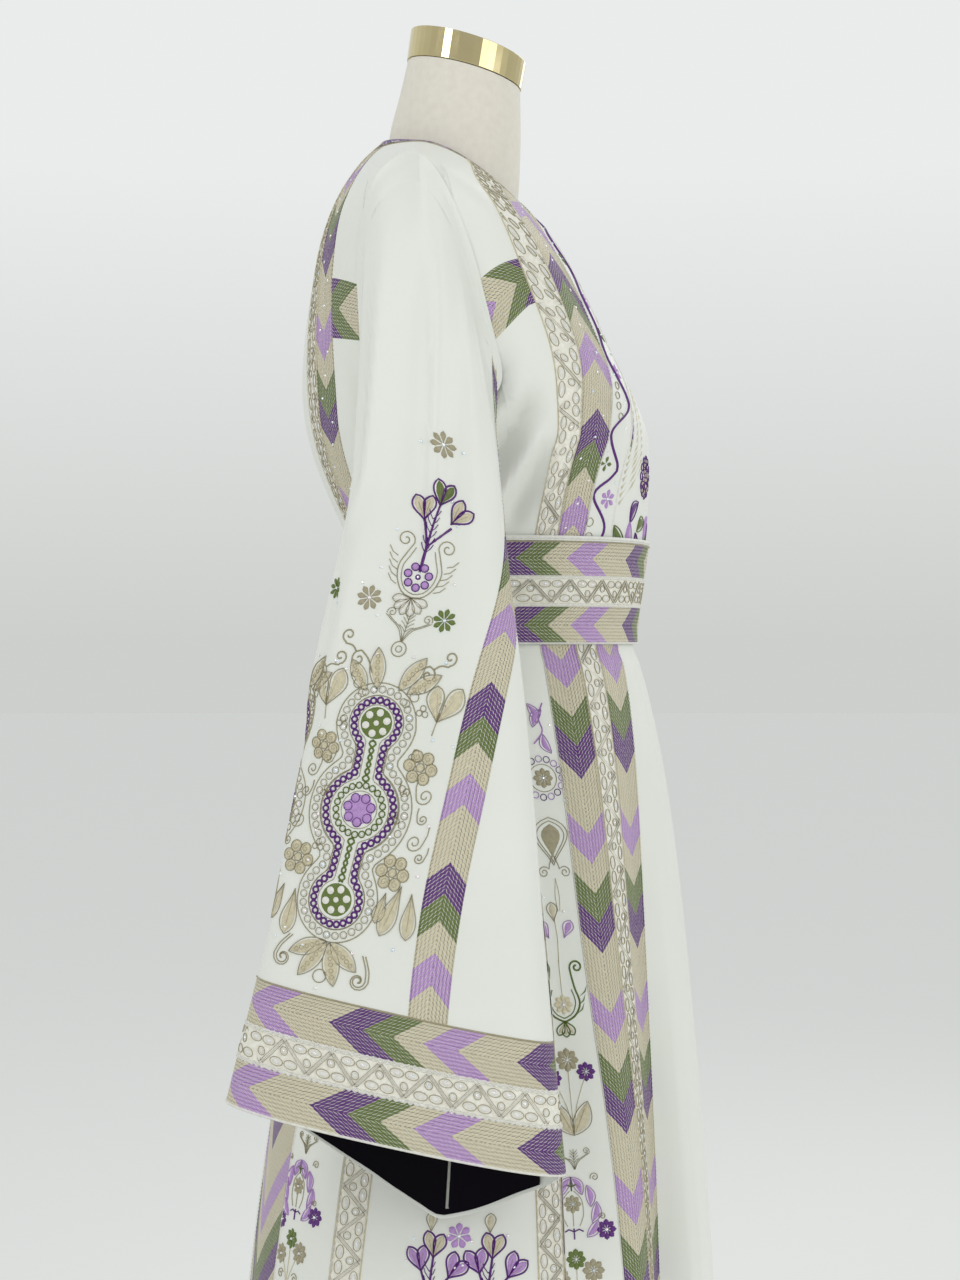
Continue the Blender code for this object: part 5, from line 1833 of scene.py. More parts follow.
def smooth_path(corners, points):
    """A soft curve through a few corners."""
    corners = np.asarray(corners, float)
    run = lengths_along(corners)
    places = np.linspace(0.0, run[-1], points)
    v = np.clip(np.searchsorted(run, places, "right") - 1, 0, len(corners) - 2)
    share = ((places - run[v]) / (run[v + 1] - run[v]))[:, None]
    before = corners[np.maximum(v - 1, 0)]
    after = corners[np.minimum(v + 2, len(corners) - 1)]
    first = corners[v]
    second = corners[v + 1]
    return 0.5 * (
        2 * first + (second - before) * share
        + (2 * before - 5 * first + 4 * second - after) * share ** 2
        + (3 * first - before - 3 * second + after) * share ** 3
    )


def even_points(path, pitch):
    """Points at an even pitch round a closed path."""
    path = np.asarray(path, float)
    path = np.vstack((path, path[:1]))
    run = lengths_along(path)
    count = max(int(round(run[-1] / pitch)), 2)
    places = np.linspace(0.0, run[-1], count, endpoint=False)
    return np.stack((np.interp(places, run, path[:, 0]), np.interp(places, run, path[:, 1])), -1)


def bulb_outline(bulbs, neck, count, grow=0.0):
    """A closed outline round a column of circles joined by a narrow neck."""
    low = min(y - r for y, r in bulbs) - grow
    high = max(y + r for y, r in bulbs) + grow
    y = low + (high - low) * (1 - np.cos(np.linspace(0.0, math.pi, 160))) / 2
    total = np.zeros(len(y))
    for middle, radius in bulbs:
        total += np.sqrt(np.clip((radius + grow) ** 2 - (y - middle) ** 2, 0, None)) ** 6
    inside = (y > bulbs[0][0]) & (y < bulbs[-1][0])
    half = (total + np.where(inside, (neck + grow) ** 6, 0.0)) ** (1 / 6)
    side = np.stack((half, y), -1)
    loop = np.vstack((side, (side * (-1, 1))[::-1][1:-1]))
    return even_points(loop, lengths_along(loop)[-1] / count)


# Stems of a tree: turn in degrees, reach and height of the root
TREE_STEMS = ((16.0, 24.0, 22.0), (-4.0, 36.0, 25.0), (-36.0, 25.0, 20.0))


def tree(drawing, x, y, size, fills):
    """A purple tree: three forked stems, each with two outlined drops."""
    for fill, (turn, reach, root) in zip(fills, TREE_STEMS):
        radians = math.radians(turn)
        top = np.array((-math.sin(radians) * reach * 1.05, root + math.cos(radians) * reach * 0.62))
        stem = smooth_path(((0.0, -6.0), (0.0, 12.0), (top[0] * 0.40, top[1] * 0.66), top), 9)
        drawing.spot(x, y, 0.0, size)
        drawing.cord(stem, 2.2, PURPLE, 1.1)
        for fork, length in ((-20.0, 20.0), (20.0, 21.0)):
            lean = turn * 0.90 + fork
            spot = np.array((x, y)) + top * size
            drawing.spot(spot[0], spot[1], lean, size)
            drawing.outlined(length, 9.8, PURPLE, fill, line=1.8, gap=0.4, start=-1.0)
            drawing.cord(((0.0, 4.0), (0.0, 9.0), (0.0, 14.0)), 0.7, TAUPE, 1.2)
    drawing.spot(x, y, 0.0, size)
    for low in range(6):
        height = 9.0 + low * 5.4
        for side in (-1, 1):
            barb = ((0.0, height), (side * 3.2, height + 4.2), (side * 4.6, height + 7.6))
            drawing.cord(barb, 0.9, PURPLE, 0.8)


# Outer and inner line of an urn's right half
URN_OUTER = ((0.0, -16.5), (8.5, -14.0), (15.0, -5.0), (17.0, 6.0), (13.5, 16.0), (10.0, 24.0))
URN_INNER = ((0.0, -13.8), (7.0, -11.5), (12.2, -4.0), (13.6, 6.0), (10.0, 15.0), (7.5, 22.0))


def urn(drawing, x, y, size, thread):
    """Twin spirals on a double U round a rosette, with a shell foot and side ferns."""
    for side in (-1, 1):
        drawing.spot(x, y, 0.0, size, side)
        curl = spiral(16.6, 26.5, 7.2, 1.35, 190.0, -1.0, 20)
        drawing.cord(np.vstack((smooth_path(URN_OUTER, 16), curl)), 1.2, thread, 0.8)
        drawing.cord(smooth_path(URN_INNER, 12), 1.0, thread, 0.7)
        for number in range(5):
            height = -9.0 + number * 5.4
            reach = 15.0 + number * 1.1
            frond = ((reach, height), (reach + 4.6, height + 2.0), (reach + 8.0, height + 6.4))
            drawing.cord(frond, 0.9, thread, 0.7)
    drawing.spot(x, y, 0.0, size)
    drawing.rosette(0.0, 0.0, 11.8, LILAC, PURPLE, 7, heart_thread=PURPLE, fill=0.86)
    drawing.crystal(0.0, 0.0, 1.6)
    for turn in (-78.0, -47.0, -16.0, 16.0, 47.0, 78.0):
        drawing.spot(x, y - 17.0 * size, 180.0 + turn, size)
        drawing.outlined(14.5, 6.6, thread, WHITE, line=0.8, gap=0.4)


def scroll_pair(drawing, x, y, size):
    """Two stems that part and curl outward, with fern strokes between them."""
    for side in (-1, 1):
        drawing.spot(x, y, 0.0, size, side)
        for lead in (0.0, 2.2):
            stem = ((lead * 0.3, 0.0), (4.0 + lead, 10.0), (13.0 + lead, 16.0), (19.0 + lead, 20.0))
            drawing.cord(smooth_path(stem, 12), 0.9, TAUPE, 0.7)
        drawing.cord(spiral(16.5, 22.5, 4.6, 1.4, -20.0, 1.0, 16), 1.0, TAUPE, 0.8)
        for number in range(4):
            height = 8.0 + number * 3.6
            stroke = ((0.0, height), (3.0, height + 3.5), (6.5 - number * 0.6, height + 5.4))
            drawing.cord(stroke, 0.8, TAUPE, 0.7)
    drawing.spot(x, y, 0.0, size)
    drawing.cord(((0.0, 2.0), (0.0, 14.0), (0.0, 25.0)), 0.9, TAUPE, 0.7)


def pebbled_leaf(drawing, length, width):
    """A filled leaf with a row of tiny rings down its middle."""
    start = 2.0
    drawing.outlined(length, width, TAUPE, BEIGE, "leaf", line=0.9, gap=0.5, start=start)
    for share in (0.22, 0.36, 0.50, 0.64, 0.78):
        drawing.ring(0.0, start + length * share, width * 0.13, 0.6, TAUPE, 1.1, 7)


# Leaves of a crown: turn, foot beside the middle, length, width
CROWN_LEAVES = (
    (42.0, -13.0, 27.0, 11.0),
    (15.0, -6.5, 31.0, 12.0),
    (-27.0, 8.5, 31.0, 12.0),
    (-50.0, 14.5, 29.0, 11.0),
)
# Curls on each side of a crown: their stems, and middle, radius, first angle, way round and points
CROWN_CURLS = (
    (smooth_path(((14.0, 10.0), (20.0, 19.0), (27.0, 24.0)), 8), (27.5, 17.5, 6.0, 1.15, 80.0, -1.0, 18)),
    (smooth_path(((31.0, 22.5), (35.0, 26.0), (41.0, 26.5)), 7), (40.5, 33.0, 5.6, 1.15, -80.0, 1.0, 18)),
)


def crown(drawing, x, y, size, up=1.0):
    """A crown of four pebbled leaves between double curls; up -1 turns it upside down."""
    base = 0.0 if up > 0 else 180.0
    way = math.cos(math.radians(base))
    for turn, foot, length, width in CROWN_LEAVES:
        drawing.spot(x + foot * size * way, y + abs(foot) * -0.22 * size * way, turn + base, size)
        pebbled_leaf(drawing, length, width)
    for side in (-1, 1):
        drawing.spot(x, y, base, size, side)
        for stem, curl in CROWN_CURLS:
            drawing.cord(np.vstack((stem, spiral(*curl))), 1.6, TAUPE, 0.9)
        for px, py, radius in ((17.0, -6.0, 3.0), (22.0, 0.0, 3.4), (26.0, 6.5, 2.8)):
            drawing.ring(px, py, radius, 0.9, TAUPE, 0.7, 10)


# A medallion's bulbs: middle and radius, for its inner links and its outer outline, and their necks
MEDALLION_BULBS = ((-64.5, 17.6), (0.0, 25.6), (63.5, 16.8))
MEDALLION_OUTER = ((-64.5, 30.0), (0.0, 38.5), (63.5, 29.0))
MEDALLION_NECK = 8.6
MEDALLION_OUTER_NECK = 19.5
# Its upper and lower bulb, each with the lower and upper end of the twisted cord that leads to it
MEDALLION_ENDS = ((63.5, 20.0, 51.0), (-64.5, -51.5, -20.0))


def medallion(drawing, x, y, turn):
    """A column of three ringed bulbs: domes on green above and below, a lilac rosette between."""
    drawing.spot(x, y, turn)
    for grow, width in ((0.6, 1.2), (-8.6, 0.9)):
        outline = bulb_outline(MEDALLION_OUTER, MEDALLION_OUTER_NECK, 130, grow)
        drawing.cord(outline, width, TAUPE, 0.8, closed=True)
    pearls = bulb_outline(MEDALLION_OUTER, MEDALLION_OUTER_NECK, 110, -4.2)
    drawing.chain(pearls, 6.4, 2.7, 0.75, TAUPE, stones=6)
    drawing.pearls(pearls, 6.4, 2.2, WHITE)
    for grow in (3.4, -3.4):
        outline = bulb_outline(MEDALLION_BULBS, MEDALLION_NECK, 120, grow)
        drawing.cord(outline, 0.7, TAUPE, 0.7, closed=True)
    links = bulb_outline(MEDALLION_BULBS, MEDALLION_NECK, 100)
    drawing.chain(links, 5.1, 2.2, 2.0, PURPLE)
    drawing.pearls(links, 5.1, 1.30, WHITE)
    middle_ring = circle(0.0, 0.0, 17.6, 60)
    drawing.chain(middle_ring, 5.3, 2.3, 1.3, GREEN)
    drawing.pearls(middle_ring, 5.3, 1.4, WHITE)
    drawing.ring(0.0, 0.0, 13.4, 0.7, TAUPE, 0.6, 30)
    drawing.dome(0.0, 0.0, 11.6, LILAC, 0.5, 22)
    drawing.rosette(0.0, 0.0, 12.6, LILAC, PURPLE, 7, heart_thread=LILAC, fill=0.98)
    for middle, low, high in MEDALLION_ENDS:
        drawing.dome(0.0, middle, 12.8, GREEN, 0.55, 26)
        drawing.rosette(0.0, middle, 11.6, WHITE, None, 6, heart_thread=WHITE, fill=0.88)
        height = np.linspace(low, high, 22)
        flare = 1.5 + 1.9 * (np.abs(height - (low + high) / 2) / (high - low) * 2) ** 3
        for phase in (0.0, math.pi):
            drawing.cord(np.stack((flare * np.sin(height * 0.62 + phase), height), -1), 1.8, GREEN, 0.9)


def ring_cluster(drawing, x, y, radius):
    """A six-petalled cluster: each round petal is filled, outlined and holds a smaller ring."""
    drawing.spot(x, y)
    for number in range(6):
        angle = math.tau * number / 6
        px = radius * 0.64 * math.cos(angle)
        py = radius * 0.64 * math.sin(angle)
        drawing.dome(px, py, radius * 0.33, BEIGE, 0.7, 11)
        drawing.ring(px, py, radius * 0.34, 0.9, TAUPE, 0.8, 12)
        drawing.cord(spiral(px, py, radius * 0.22, 1.2, 90.0 * number, 1.0, 12), 0.6, TAUPE, 1.0)
    drawing.dome(0.0, 0.0, radius * 0.26, BEIGE, 0.8, 9)
    drawing.ring(0.0, 0.0, radius * 0.24, 0.9, TAUPE, 0.9, 10)


def leaf_pair(drawing, x, y, turn, size):
    """Two broad round-ended leaves that share a stem."""
    for side, length, width in ((-1, 27.0, 12.5), (1, 23.0, 11.5)):
        drawing.spot(x, y, turn + side * 19.0, size)
        drawing.outlined(length, width, TAUPE, BEIGE, bend=side * -1.5, line=1.0, gap=0.5)
        drawing.fern(((0.0, 6.0), (0.0, 10.0), (0.0, 14.0), (0.0, 18.0)), 3.6, TAUPE, 0.8, 48.0)
    drawing.spot(x, y, turn, size)
    drawing.cord(((0.0, -9.0), (0.0, 0.0), (0.0, 6.0)), 0.9, TAUPE, 0.7)


# Lace, in millimetres: length of a full zigzag on a strip and on a ring, distance of its corners from
# the edges, half the gap of its two fine cords, length of a scallop, and its inset and depth
LACE_PITCH = 38.0
RING_LACE_PITCH = 37.0
LACE_INSET = 2.4
LACE_CORD_SHIFT = 1.7
SCALLOP = 5.5
SCALLOP_INSET = 0.9
SCALLOP_DEPTH = 0.75


def lace(drawing, length, width_at, pitch, along_x=False):
    """A doubled zigzag with three rings in each triangle, between two scalloped edges.

    It runs up the y axis, or along the x axis of a ring that goes round.
    """
    def turned(path):
        path = np.asarray(path, float)
        return path[:, ::-1] if along_x else path

    count = int(length // (pitch / 2))
    corners = []
    for number in range(count + 1):
        y = number * pitch / 2
        half = width_at(y) / 2 - LACE_INSET
        corners.append(((half if number % 2 else -half), y))
    corners = np.array(corners)
    for shift in (-LACE_CORD_SHIFT, LACE_CORD_SHIFT):
        drawing.cord(turned(corners + (0.0, shift)), 0.65, TAUPE, 0.9)
    drawing.cord(turned(corners), 1.8, WHITE, 1.0)
    for number in range(1, count):
        x, y = corners[number]
        side = 1.0 if number % 2 else -1.0
        half = abs(x)
        base = -side * half * 0.64
        tip = side * half * 0.22
        for px, py, wide, tall in ((base, y - pitch * 0.155, pitch * 0.142, half * 0.31),
                                   (base, y + pitch * 0.155, pitch * 0.142, half * 0.31),
                                   (tip, y, pitch * 0.080, half * 0.30)):
            oval = circle(0.0, 0.0, 1.0, 12) * (tall, wide) + (px, py)
            drawing.cord(turned(oval), 0.65, TAUPE, 0.8, closed=True)
            (cx, cy), (rx, ry) = turned(((px, py), (tall * 0.72, wide * 0.72)))
            drawing.dome(cx, cy, abs(rx), WHITE, 0.6, 9, abs(ry / rx))
            if (number + int(px == tip)) % 2 == 0:
                drawing.crystal(cx, cy, 1.3)
    for side in (-1.0, 1.0):
        scallop = []
        for number in range(max(int(length / SCALLOP), 2) * 2 + 1):
            y = min(number * SCALLOP / 2, length)
            scallop.append((side * (width_at(y) / 2 - SCALLOP_INSET - SCALLOP_DEPTH * (number % 2)), y))
        drawing.cord(turned(scallop), 1.0, WHITE, 0.7)


# The turned allowance all round the armhole seam: first and last angle, reach beyond the seam on the
# bodice, and how far down the sleeve it runs, in stations
ARMHOLE_COVER_ANGLES = (-90.0, 270.0)
ARMHOLE_COVER_REACH = 0.005
ARMHOLE_COVER_STATIONS = (0.015, 0.06)
ARMHOLE_COVER_LIFT = 0.0005


def build_armhole_covers():
    """The same cloth pressed flat over each armhole seam, so that cap and shoulder run together."""
    phi = np.linspace(*ARMHOLE_COVER_ANGLES, 240)
    edge = armhole_points(phi)
    inward = unit(ARMHOLE_MIDDLE - edge)
    ahead = unit(armhole_points(phi + 0.5) - armhole_points(phi - 0.5))
    outward = unit(np.cross(inward, ahead))
    outward = outward * -np.sign(outward[:, :1])
    lift = outward * ARMHOLE_COVER_LIFT
    rows = [
        edge - inward * ARMHOLE_COVER_REACH - lift * 0.4,
        edge - inward * ARMHOLE_COVER_REACH * 0.5 + lift,
        edge - inward * 0.0006 + lift * 1.4,
    ]
    for station in ARMHOLE_COVER_STATIONS:
        rows.append(sleeve_points(phi, station) + lift - inward * ARMHOLE_COVER_LIFT)
    rows.append(sleeve_points(phi, ARMHOLE_COVER_STATIONS[-1] * 1.5) - lift * 0.5)
    faces = grid_faces(len(rows), len(phi))
    for ending, placed, turned in both_sides(np.array(rows).reshape(-1, 3), faces):
        piece = make_mesh("armhole_cover" + ending, placed, turned, ["cloth"])
        seat(piece)


build_form()
build_bodice()
build_armhole_covers()
build_belt()
build_sleeves()
build_skirt()
build_neck_piping()


def edge_cords(drawing, panel, thread, width):
    """A fine cord along a panel's long edges."""
    drawing.spot()
    y = np.linspace(0.0, panel.length, 150)
    half = panel.width_at(y) / 2 * MM - 0.6
    for side in (-1, 1):
        drawing.cord(np.stack((side * half, y * MM), -1), width, thread, 1.0)


# Saw-teeth of the chevron strips: pitch, how far tip and root lie beyond and within the seam, lift
TOOTH_PITCH = 0.0034
TOOTH_REACH = 0.0010
TOOTH_ROOT = 0.0016
TOOTH_LIFT = 0.0007
# Corners of a tooth: distance beyond the seam, place along it in pitches, share of the lift
TOOTH_CORNERS = (
    (-TOOTH_ROOT, -0.55, 0.1),
    (TOOTH_REACH, -0.30, 0.2),
    (-TOOTH_ROOT, 0.55, 0.1),
    (-TOOTH_REACH * 0.4, 0.0, 1.0),
)


def edge_teeth(name, panel, lead, tips_up, material):
    """The outermost stitches of a chevron strip: they end beyond its seams in a saw-tooth outline."""
    middles = np.arange(TOOTH_PITCH / 2, panel.length, TOOTH_PITCH)
    half = panel.width_at(middles) / 2
    x = []
    y = []
    lift = []
    for side in (-1.0, 1.0):
        for out, ahead, high in TOOTH_CORNERS:
            x.append(side * (half + out))
            y.append(middles + ahead * TOOTH_PITCH)
            lift.append(np.full(len(middles), high * TOOTH_LIFT))
    x, y, lift = (np.array(rows).T for rows in (x, y, lift))
    y = np.clip(y, 0.0, panel.length)
    points = panel.place(x.ravel(), y.ravel(), lift.ravel())
    first = np.arange(len(middles))[:, None] * 8
    corners = np.array(((0, 1, 3, 3), (1, 2, 3, 3), (2, 0, 3, 3)))
    near = (first[:, :, None] + corners).reshape(-1, 4)
    faces = np.concatenate((flip(near), near + 4))
    band = np.stack((-x, (y - lead) * (-1.0 if tips_up else 1.0)), -1).reshape(-1, 2)
    for ending, placed, turned in both_sides(points, faces):
        piece = make_mesh("stitching_" + name + ending, placed, turned, [material], None, {"band": band},
                          STITCH_SHARP_ANGLE)
        seat(piece)


def width_in_mm(panel):
    """A function of the distance up a panel that gives its width, both in millimetres."""
    return lambda y: float(panel.width_at(y / MM)) * MM


def scatter_stones(drawing, places, radius=1.4):
    """Single stones at listed places."""
    drawing.spot()
    for x, y in places:
        drawing.crystal(x, y, radius)


# Single flowers on the sleeve: x, y, radius, thread
SLEEVE_FLOWERS = (
    (50.0, 416.0, 10.5, TAUPE),
    (17.0, 296.0, 10.0, TAUPE),
    (-22.0, 304.0, 8.5, GREEN),
    (80.0, 278.0, 9.0, GREEN),
)
# Curls beside the medallion: x, y, radius, way round
SLEEVE_CURLS = (
    (10.0, 163.0, 6.0, 1.0),
    (9.0, 146.0, 4.5, 1.0),
    (10.0, 124.0, 6.5, -1.0),
    (6.0, 108.0, 4.0, -1.0),
    (101.0, 150.0, 6.5, -1.0),
    (104.0, 134.0, 4.0, -1.0),
    (103.0, 118.0, 6.5, 1.0),
    (110.0, 108.0, 4.0, 1.0),
    (22.0, 172.0, 4.0, 1.0),
    (86.0, 152.0, 4.0, -1.0),
)
# Hanging drops low on the sleeve: x, y, turn, length, width
SLEEVE_DROPS = (
    (26.0, 74.0, 184.0, 35.0, 13.0),
    (16.0, 76.0, 168.0, 30.0, 11.0),
    (104.0, 88.0, 172.0, 37.0, 13.0),
    (113.0, 84.0, 190.0, 32.0, 11.5),
    (94.0, 82.0, 176.0, 22.0, 9.0),
)
# Single stones on the sleeve: x, y
SLEEVE_STONES = (
    (32.0, 419.0), (66.0, 410.0), (61.0, 372.0), (24.0, 350.0), (70.0, 352.0), (19.0, 320.0), (78.0, 306.0),
    (28.0, 282.0), (8.0, 308.0), (-12.0, 292.0), (66.0, 250.0), (38.0, 252.0), (18.0, 240.0), (92.0, 246.0),
    (96.0, 190.0), (8.0, 196.0), (112.0, 186.0), (110.0, 130.0), (0.0, 140.0), (84.0, 120.0), (28.0, 118.0),
    (113.0, 96.0), (8.0, 82.0), (84.0, 36.0), (46.0, 34.0), (112.0, 44.0), (22.0, 36.0), (66.0, 5.0),
)
# Ring clusters round the medallion: x, y, radius
SLEEVE_CLUSTERS = ((16.0, 181.5, 12.5), (92.0, 170.0, 13.0), (20.0, 97.0, 13.0), (94.0, 96.0, 13.0))
# Groups of three small rings: x, y
SLEEVE_TRIOS = ((27.0, 147.0), (83.0, 133.0), (33.0, 108.0), (86.0, 178.0), (26.0, 200.0), (84.0, 210.0))
# Middle of the outer side's motif
SLEEVE_CENTRE = 53.0
# Lean of the sleeve's y axis in degrees at its lower edge and from a height up
SLEEVE_LEAN_LOW = 3.0
SLEEVE_LEAN_HIGH = 15.0
SLEEVE_LEAN_HEIGHT = 310.0


def sleeve_lean(y):
    """How far the sleeve's y axis leans from square to its x axis, in degrees, at a height."""
    share = min(max(y / SLEEVE_LEAN_HEIGHT, 0.0), 1.0)
    return SLEEVE_LEAN_LOW + (SLEEVE_LEAN_HIGH - SLEEVE_LEAN_LOW) * share


def crown_and_medallion(drawing, centre):
    """The part of the sleeve's motif that goes all round: a crown over a medallion."""
    crown(drawing, centre, 225.0, 1.0)
    medallion(drawing, centre + 2.6, 136.5, 3.4)


def sleeve_motifs(drawing):
    """The large motif of a sleeve's outer side, from its top flower to the crown over the cuff."""
    x = SLEEVE_CENTRE
    for px, py, radius, thread in SLEEVE_FLOWERS:
        drawing.spot(px, py)
        drawing.flower(0.0, 0.0, radius, thread, width=0.50)
    tree(drawing, x - 4.0, 322.0, 1.0, (BEIGE, GREEN, BEIGE))
    urn(drawing, x - 4.0, 312.0, 0.98, TAUPE)
    drawing.spot(x, 256.0)
    drawing.ring(0.0, 0.0, 5.6, 1.1, TAUPE, 0.8, 16)
    drawing.ring(0.0, 0.0, 2.4, 0.8, TAUPE, 0.8, 10)
    scroll_pair(drawing, x, 262.0, 0.86)
    crown_and_medallion(drawing, x)
    for side, px, py in ((-1, 10.0, 212.0), (1, 96.0, 203.0)):
        leaf_pair(drawing, px, py, side * -8.0, 1.12)
    for px, py, radius in SLEEVE_CLUSTERS:
        ring_cluster(drawing, px, py, radius)
    drawing.spot()
    for px, py, radius, way in SLEEVE_CURLS:
        out = radius * way
        tail = ((px + out * 1.2, py + radius * 1.9), (px + out * 1.25, py + radius * 0.9))
        first = 0.0 if way > 0 else 180.0
        drawing.cord(spiral(px, py, radius, 1.5, first, -way, 20, tail=tail), 1.1, TAUPE, 0.8)
    for px, py, turn, length, width in SLEEVE_DROPS:
        drawing.spot(px, py, turn)
        drawing.outlined(length, width, TAUPE, BEIGE, line=0.9, gap=0.5)
        drawing.cord(((0.0, 3.0), (0.0, length * 0.5), (0.0, length * 0.8)), 0.7, TAUPE, 1.1)
    for px, py in SLEEVE_TRIOS:
        drawing.spot(px, py)
        for angle in (90.0, 210.0, 330.0):
            radians = math.radians(angle)
            drawing.ring(2.6 * math.cos(radians), 2.6 * math.sin(radians), 2.2, 0.9, TAUPE, 0.7, 8)
    for turn, length in ((58.0, 30.0), (24.0, 33.0), (-24.0, 33.0), (-58.0, 30.0)):
        drawing.spot(x + 11.0, 42.0, 180.0 + turn)
        pebbled_leaf(drawing, length, 12.5)
    for side in (-1, 1):
        drawing.spot(x + 11.0, 40.0, 0.0, 1.0, side)
        for lead in (0.0, 2.4):
            tail = smooth_path(((28.0 + lead, -2.0), (34.0 + lead, -12.0), (36.0 + lead, -20.0)), 8)
            curl = spiral(30.5, -20.5, 5.4 + lead, 1.2, 0.0, -1.0, 16)
            drawing.cord(np.vstack((tail, curl)), 1.2, TAUPE, 0.8)
    drawing.spot(x + 13.0, 14.5)
    drawing.ring(0.0, 0.0, 5.0, 1.1, TAUPE, 0.8, 16)


# Middles of the medallions round the sleeve's back and underarm
SLEEVE_BACK_CENTRES = (-31.0, -115.0)


def stitch_sleeves():
    """The sleeve's main panel: the motif on its outer side, and its crown and medallion round the back."""
    panel = PANELS["sleeve_main"]
    drawing = Drawing(sleeve_lean)
    sleeve_motifs(drawing)
    scatter_stones(drawing, SLEEVE_STONES)
    for centre in SLEEVE_BACK_CENTRES:
        crown_and_medallion(drawing, centre)
    drawing.spot(-54.0, 290.0)
    drawing.flower(0.0, 0.0, 9.5, TAUPE)
    drawing.spot(-60.0, 324.0)
    drawing.flower(0.0, 0.0, 8.5, PURPLE)
    scatter_stones(drawing, [(px - 84.0, py) for px, py in SLEEVE_STONES if py < 260.0])
    drawing.build("stitching_sleeve_main", panel)
    panel = PANELS["sleeve_chevron_band"]
    edge_teeth("sleeve_band", panel, panel.height_of(SLEEVE_LEAD), True, "chevron_sleeve")


def lace_on(name, panel):
    """Lace stitching over the whole of a strip."""
    drawing = Drawing()
    lace(drawing, panel.length * MM, width_in_mm(panel), LACE_PITCH)
    edge_cords(drawing, panel, BEIGE, 1.8)
    drawing.build(name, panel)


def ring_of_rings(drawing, x, y, reach, step, radius, width, threads, lift):
    """Small rings round a circle, one at every step in degrees, in threads that take turns."""
    for number, angle in enumerate(range(0, 360, step)):
        radians = math.radians(angle)
        drawing.ring(x + reach * math.cos(radians), y + reach * math.sin(radians), radius, width,
                     threads[number % len(threads)], lift, 9)


# Leaves on the paisley's stem: x, y, turn
PAISLEY_LEAVES = ((8.0, 112.0, 148.0), (2.0, 98.0, 20.0), (5.0, 88.0, 200.0))
PAISLEY_STEM = ((10.0, 118.0), (4.0, 104.0), (6.0, 90.0), (-4.0, 78.0))
PAISLEY_STONES = ((14.0, 96.0), (-13.0, 70.0), (18.0, 22.0), (-18.0, 20.0), (15.0, -50.0), (-14.0, -72.0))


def paisley(drawing, y, x, size):
    """The top motif of a flower panel: a leafy stem, a flower in a ring of rings, and a drop on curls."""
    drawing.spot(x, y, 0.0, size)
    drawing.cord(smooth_path(PAISLEY_STEM, 18), 2.0, LILAC, 1.0)
    for px, py, turn in PAISLEY_LEAVES:
        drawing.spot(x + px * size, y + py * size, turn, size)
        drawing.outlined(21.0, 9.0, LILAC, LILAC, "leaf", bend=2.5, line=1.2)
    drawing.spot(x, y, 0.0, size)
    ring_of_rings(drawing, 0.0, 44.0, 19.0, 24, 3.2, 1.1, (LILAC, PURPLE), 0.8)
    drawing.ring(0.0, 44.0, 13.5, 1.0, TAUPE, 0.7, 26)
    drawing.flower(0.0, 44.0, 10.0, TAUPE)
    for px, py in PAISLEY_STONES:
        drawing.crystal(px, py, 1.4)
    drawing.spot(x, y - 38.0 * size, 0.0, size)
    for grow in (0.0, 3.4):
        drawing.cord(teardrop(40.0 + grow * 2, 27.0 + grow * 2, -grow), 1.1, TAUPE, 0.9, closed=True)
    drawing.blade(33.0, 21.0, TAUPE, "drop", lift=0.6, start=4.0, steps=10)
    for side in (-1, 1):
        drawing.spot(x, y - 38.0 * size, 0.0, size, side)
        curl = spiral(10.5, -10.0, 6.0, 1.5, 150.0, -1.0, 20, tail=((1.0, 6.0), (4.0, -2.0)))
        drawing.cord(curl, 1.2, TAUPE, 0.8)
        drawing.spot(x, y - 64.0 * size, 0.0, size, side)
        drawing.cord(smooth_path(((0.0, 10.0), (2.0, -6.0), (1.0, -22.0)), 8), 0.9, BEIGE, 0.7)


def teardrop(length, width, start):
    """A closed drop outline."""
    share = np.linspace(0.0, 1.0, 15)
    half = blade_half(share, "drop") * width / 2
    right = np.stack((half, start + share * length), -1)
    return np.vstack((right[:-1], (right * (-1, 1))[::-1][:-1]))


# Buds on a stem: x, y, turn, outline and filling
BUDS = (
    (0.0, 26.0, 4.0, TAUPE, BEIGE),
    (-6.0, 12.0, 24.0, LILAC, LILAC),
    (-10.0, 10.0, 62.0, TAUPE, BEIGE),
    (7.0, 12.0, -26.0, LILAC, LILAC),
)


def bud_row(drawing, x, y, size):
    """Four buds on one stem."""
    drawing.spot(x, y, 0.0, size)
    drawing.cord(((0.0, 34.0), (1.5, 12.0), (0.0, -12.0)), 0.9, BEIGE, 0.7)
    for px, py, turn, edge, fill in BUDS:
        drawing.spot(x + px * size, y + py * size, turn, size)
        drawing.outlined(16.0, 9.0, edge, fill, line=1.0)
    drawing.spot(x, y, 0.0, size)
    drawing.crystal(-11.0, 32.0, 1.4)
    drawing.crystal(9.0, 34.0, 1.4)


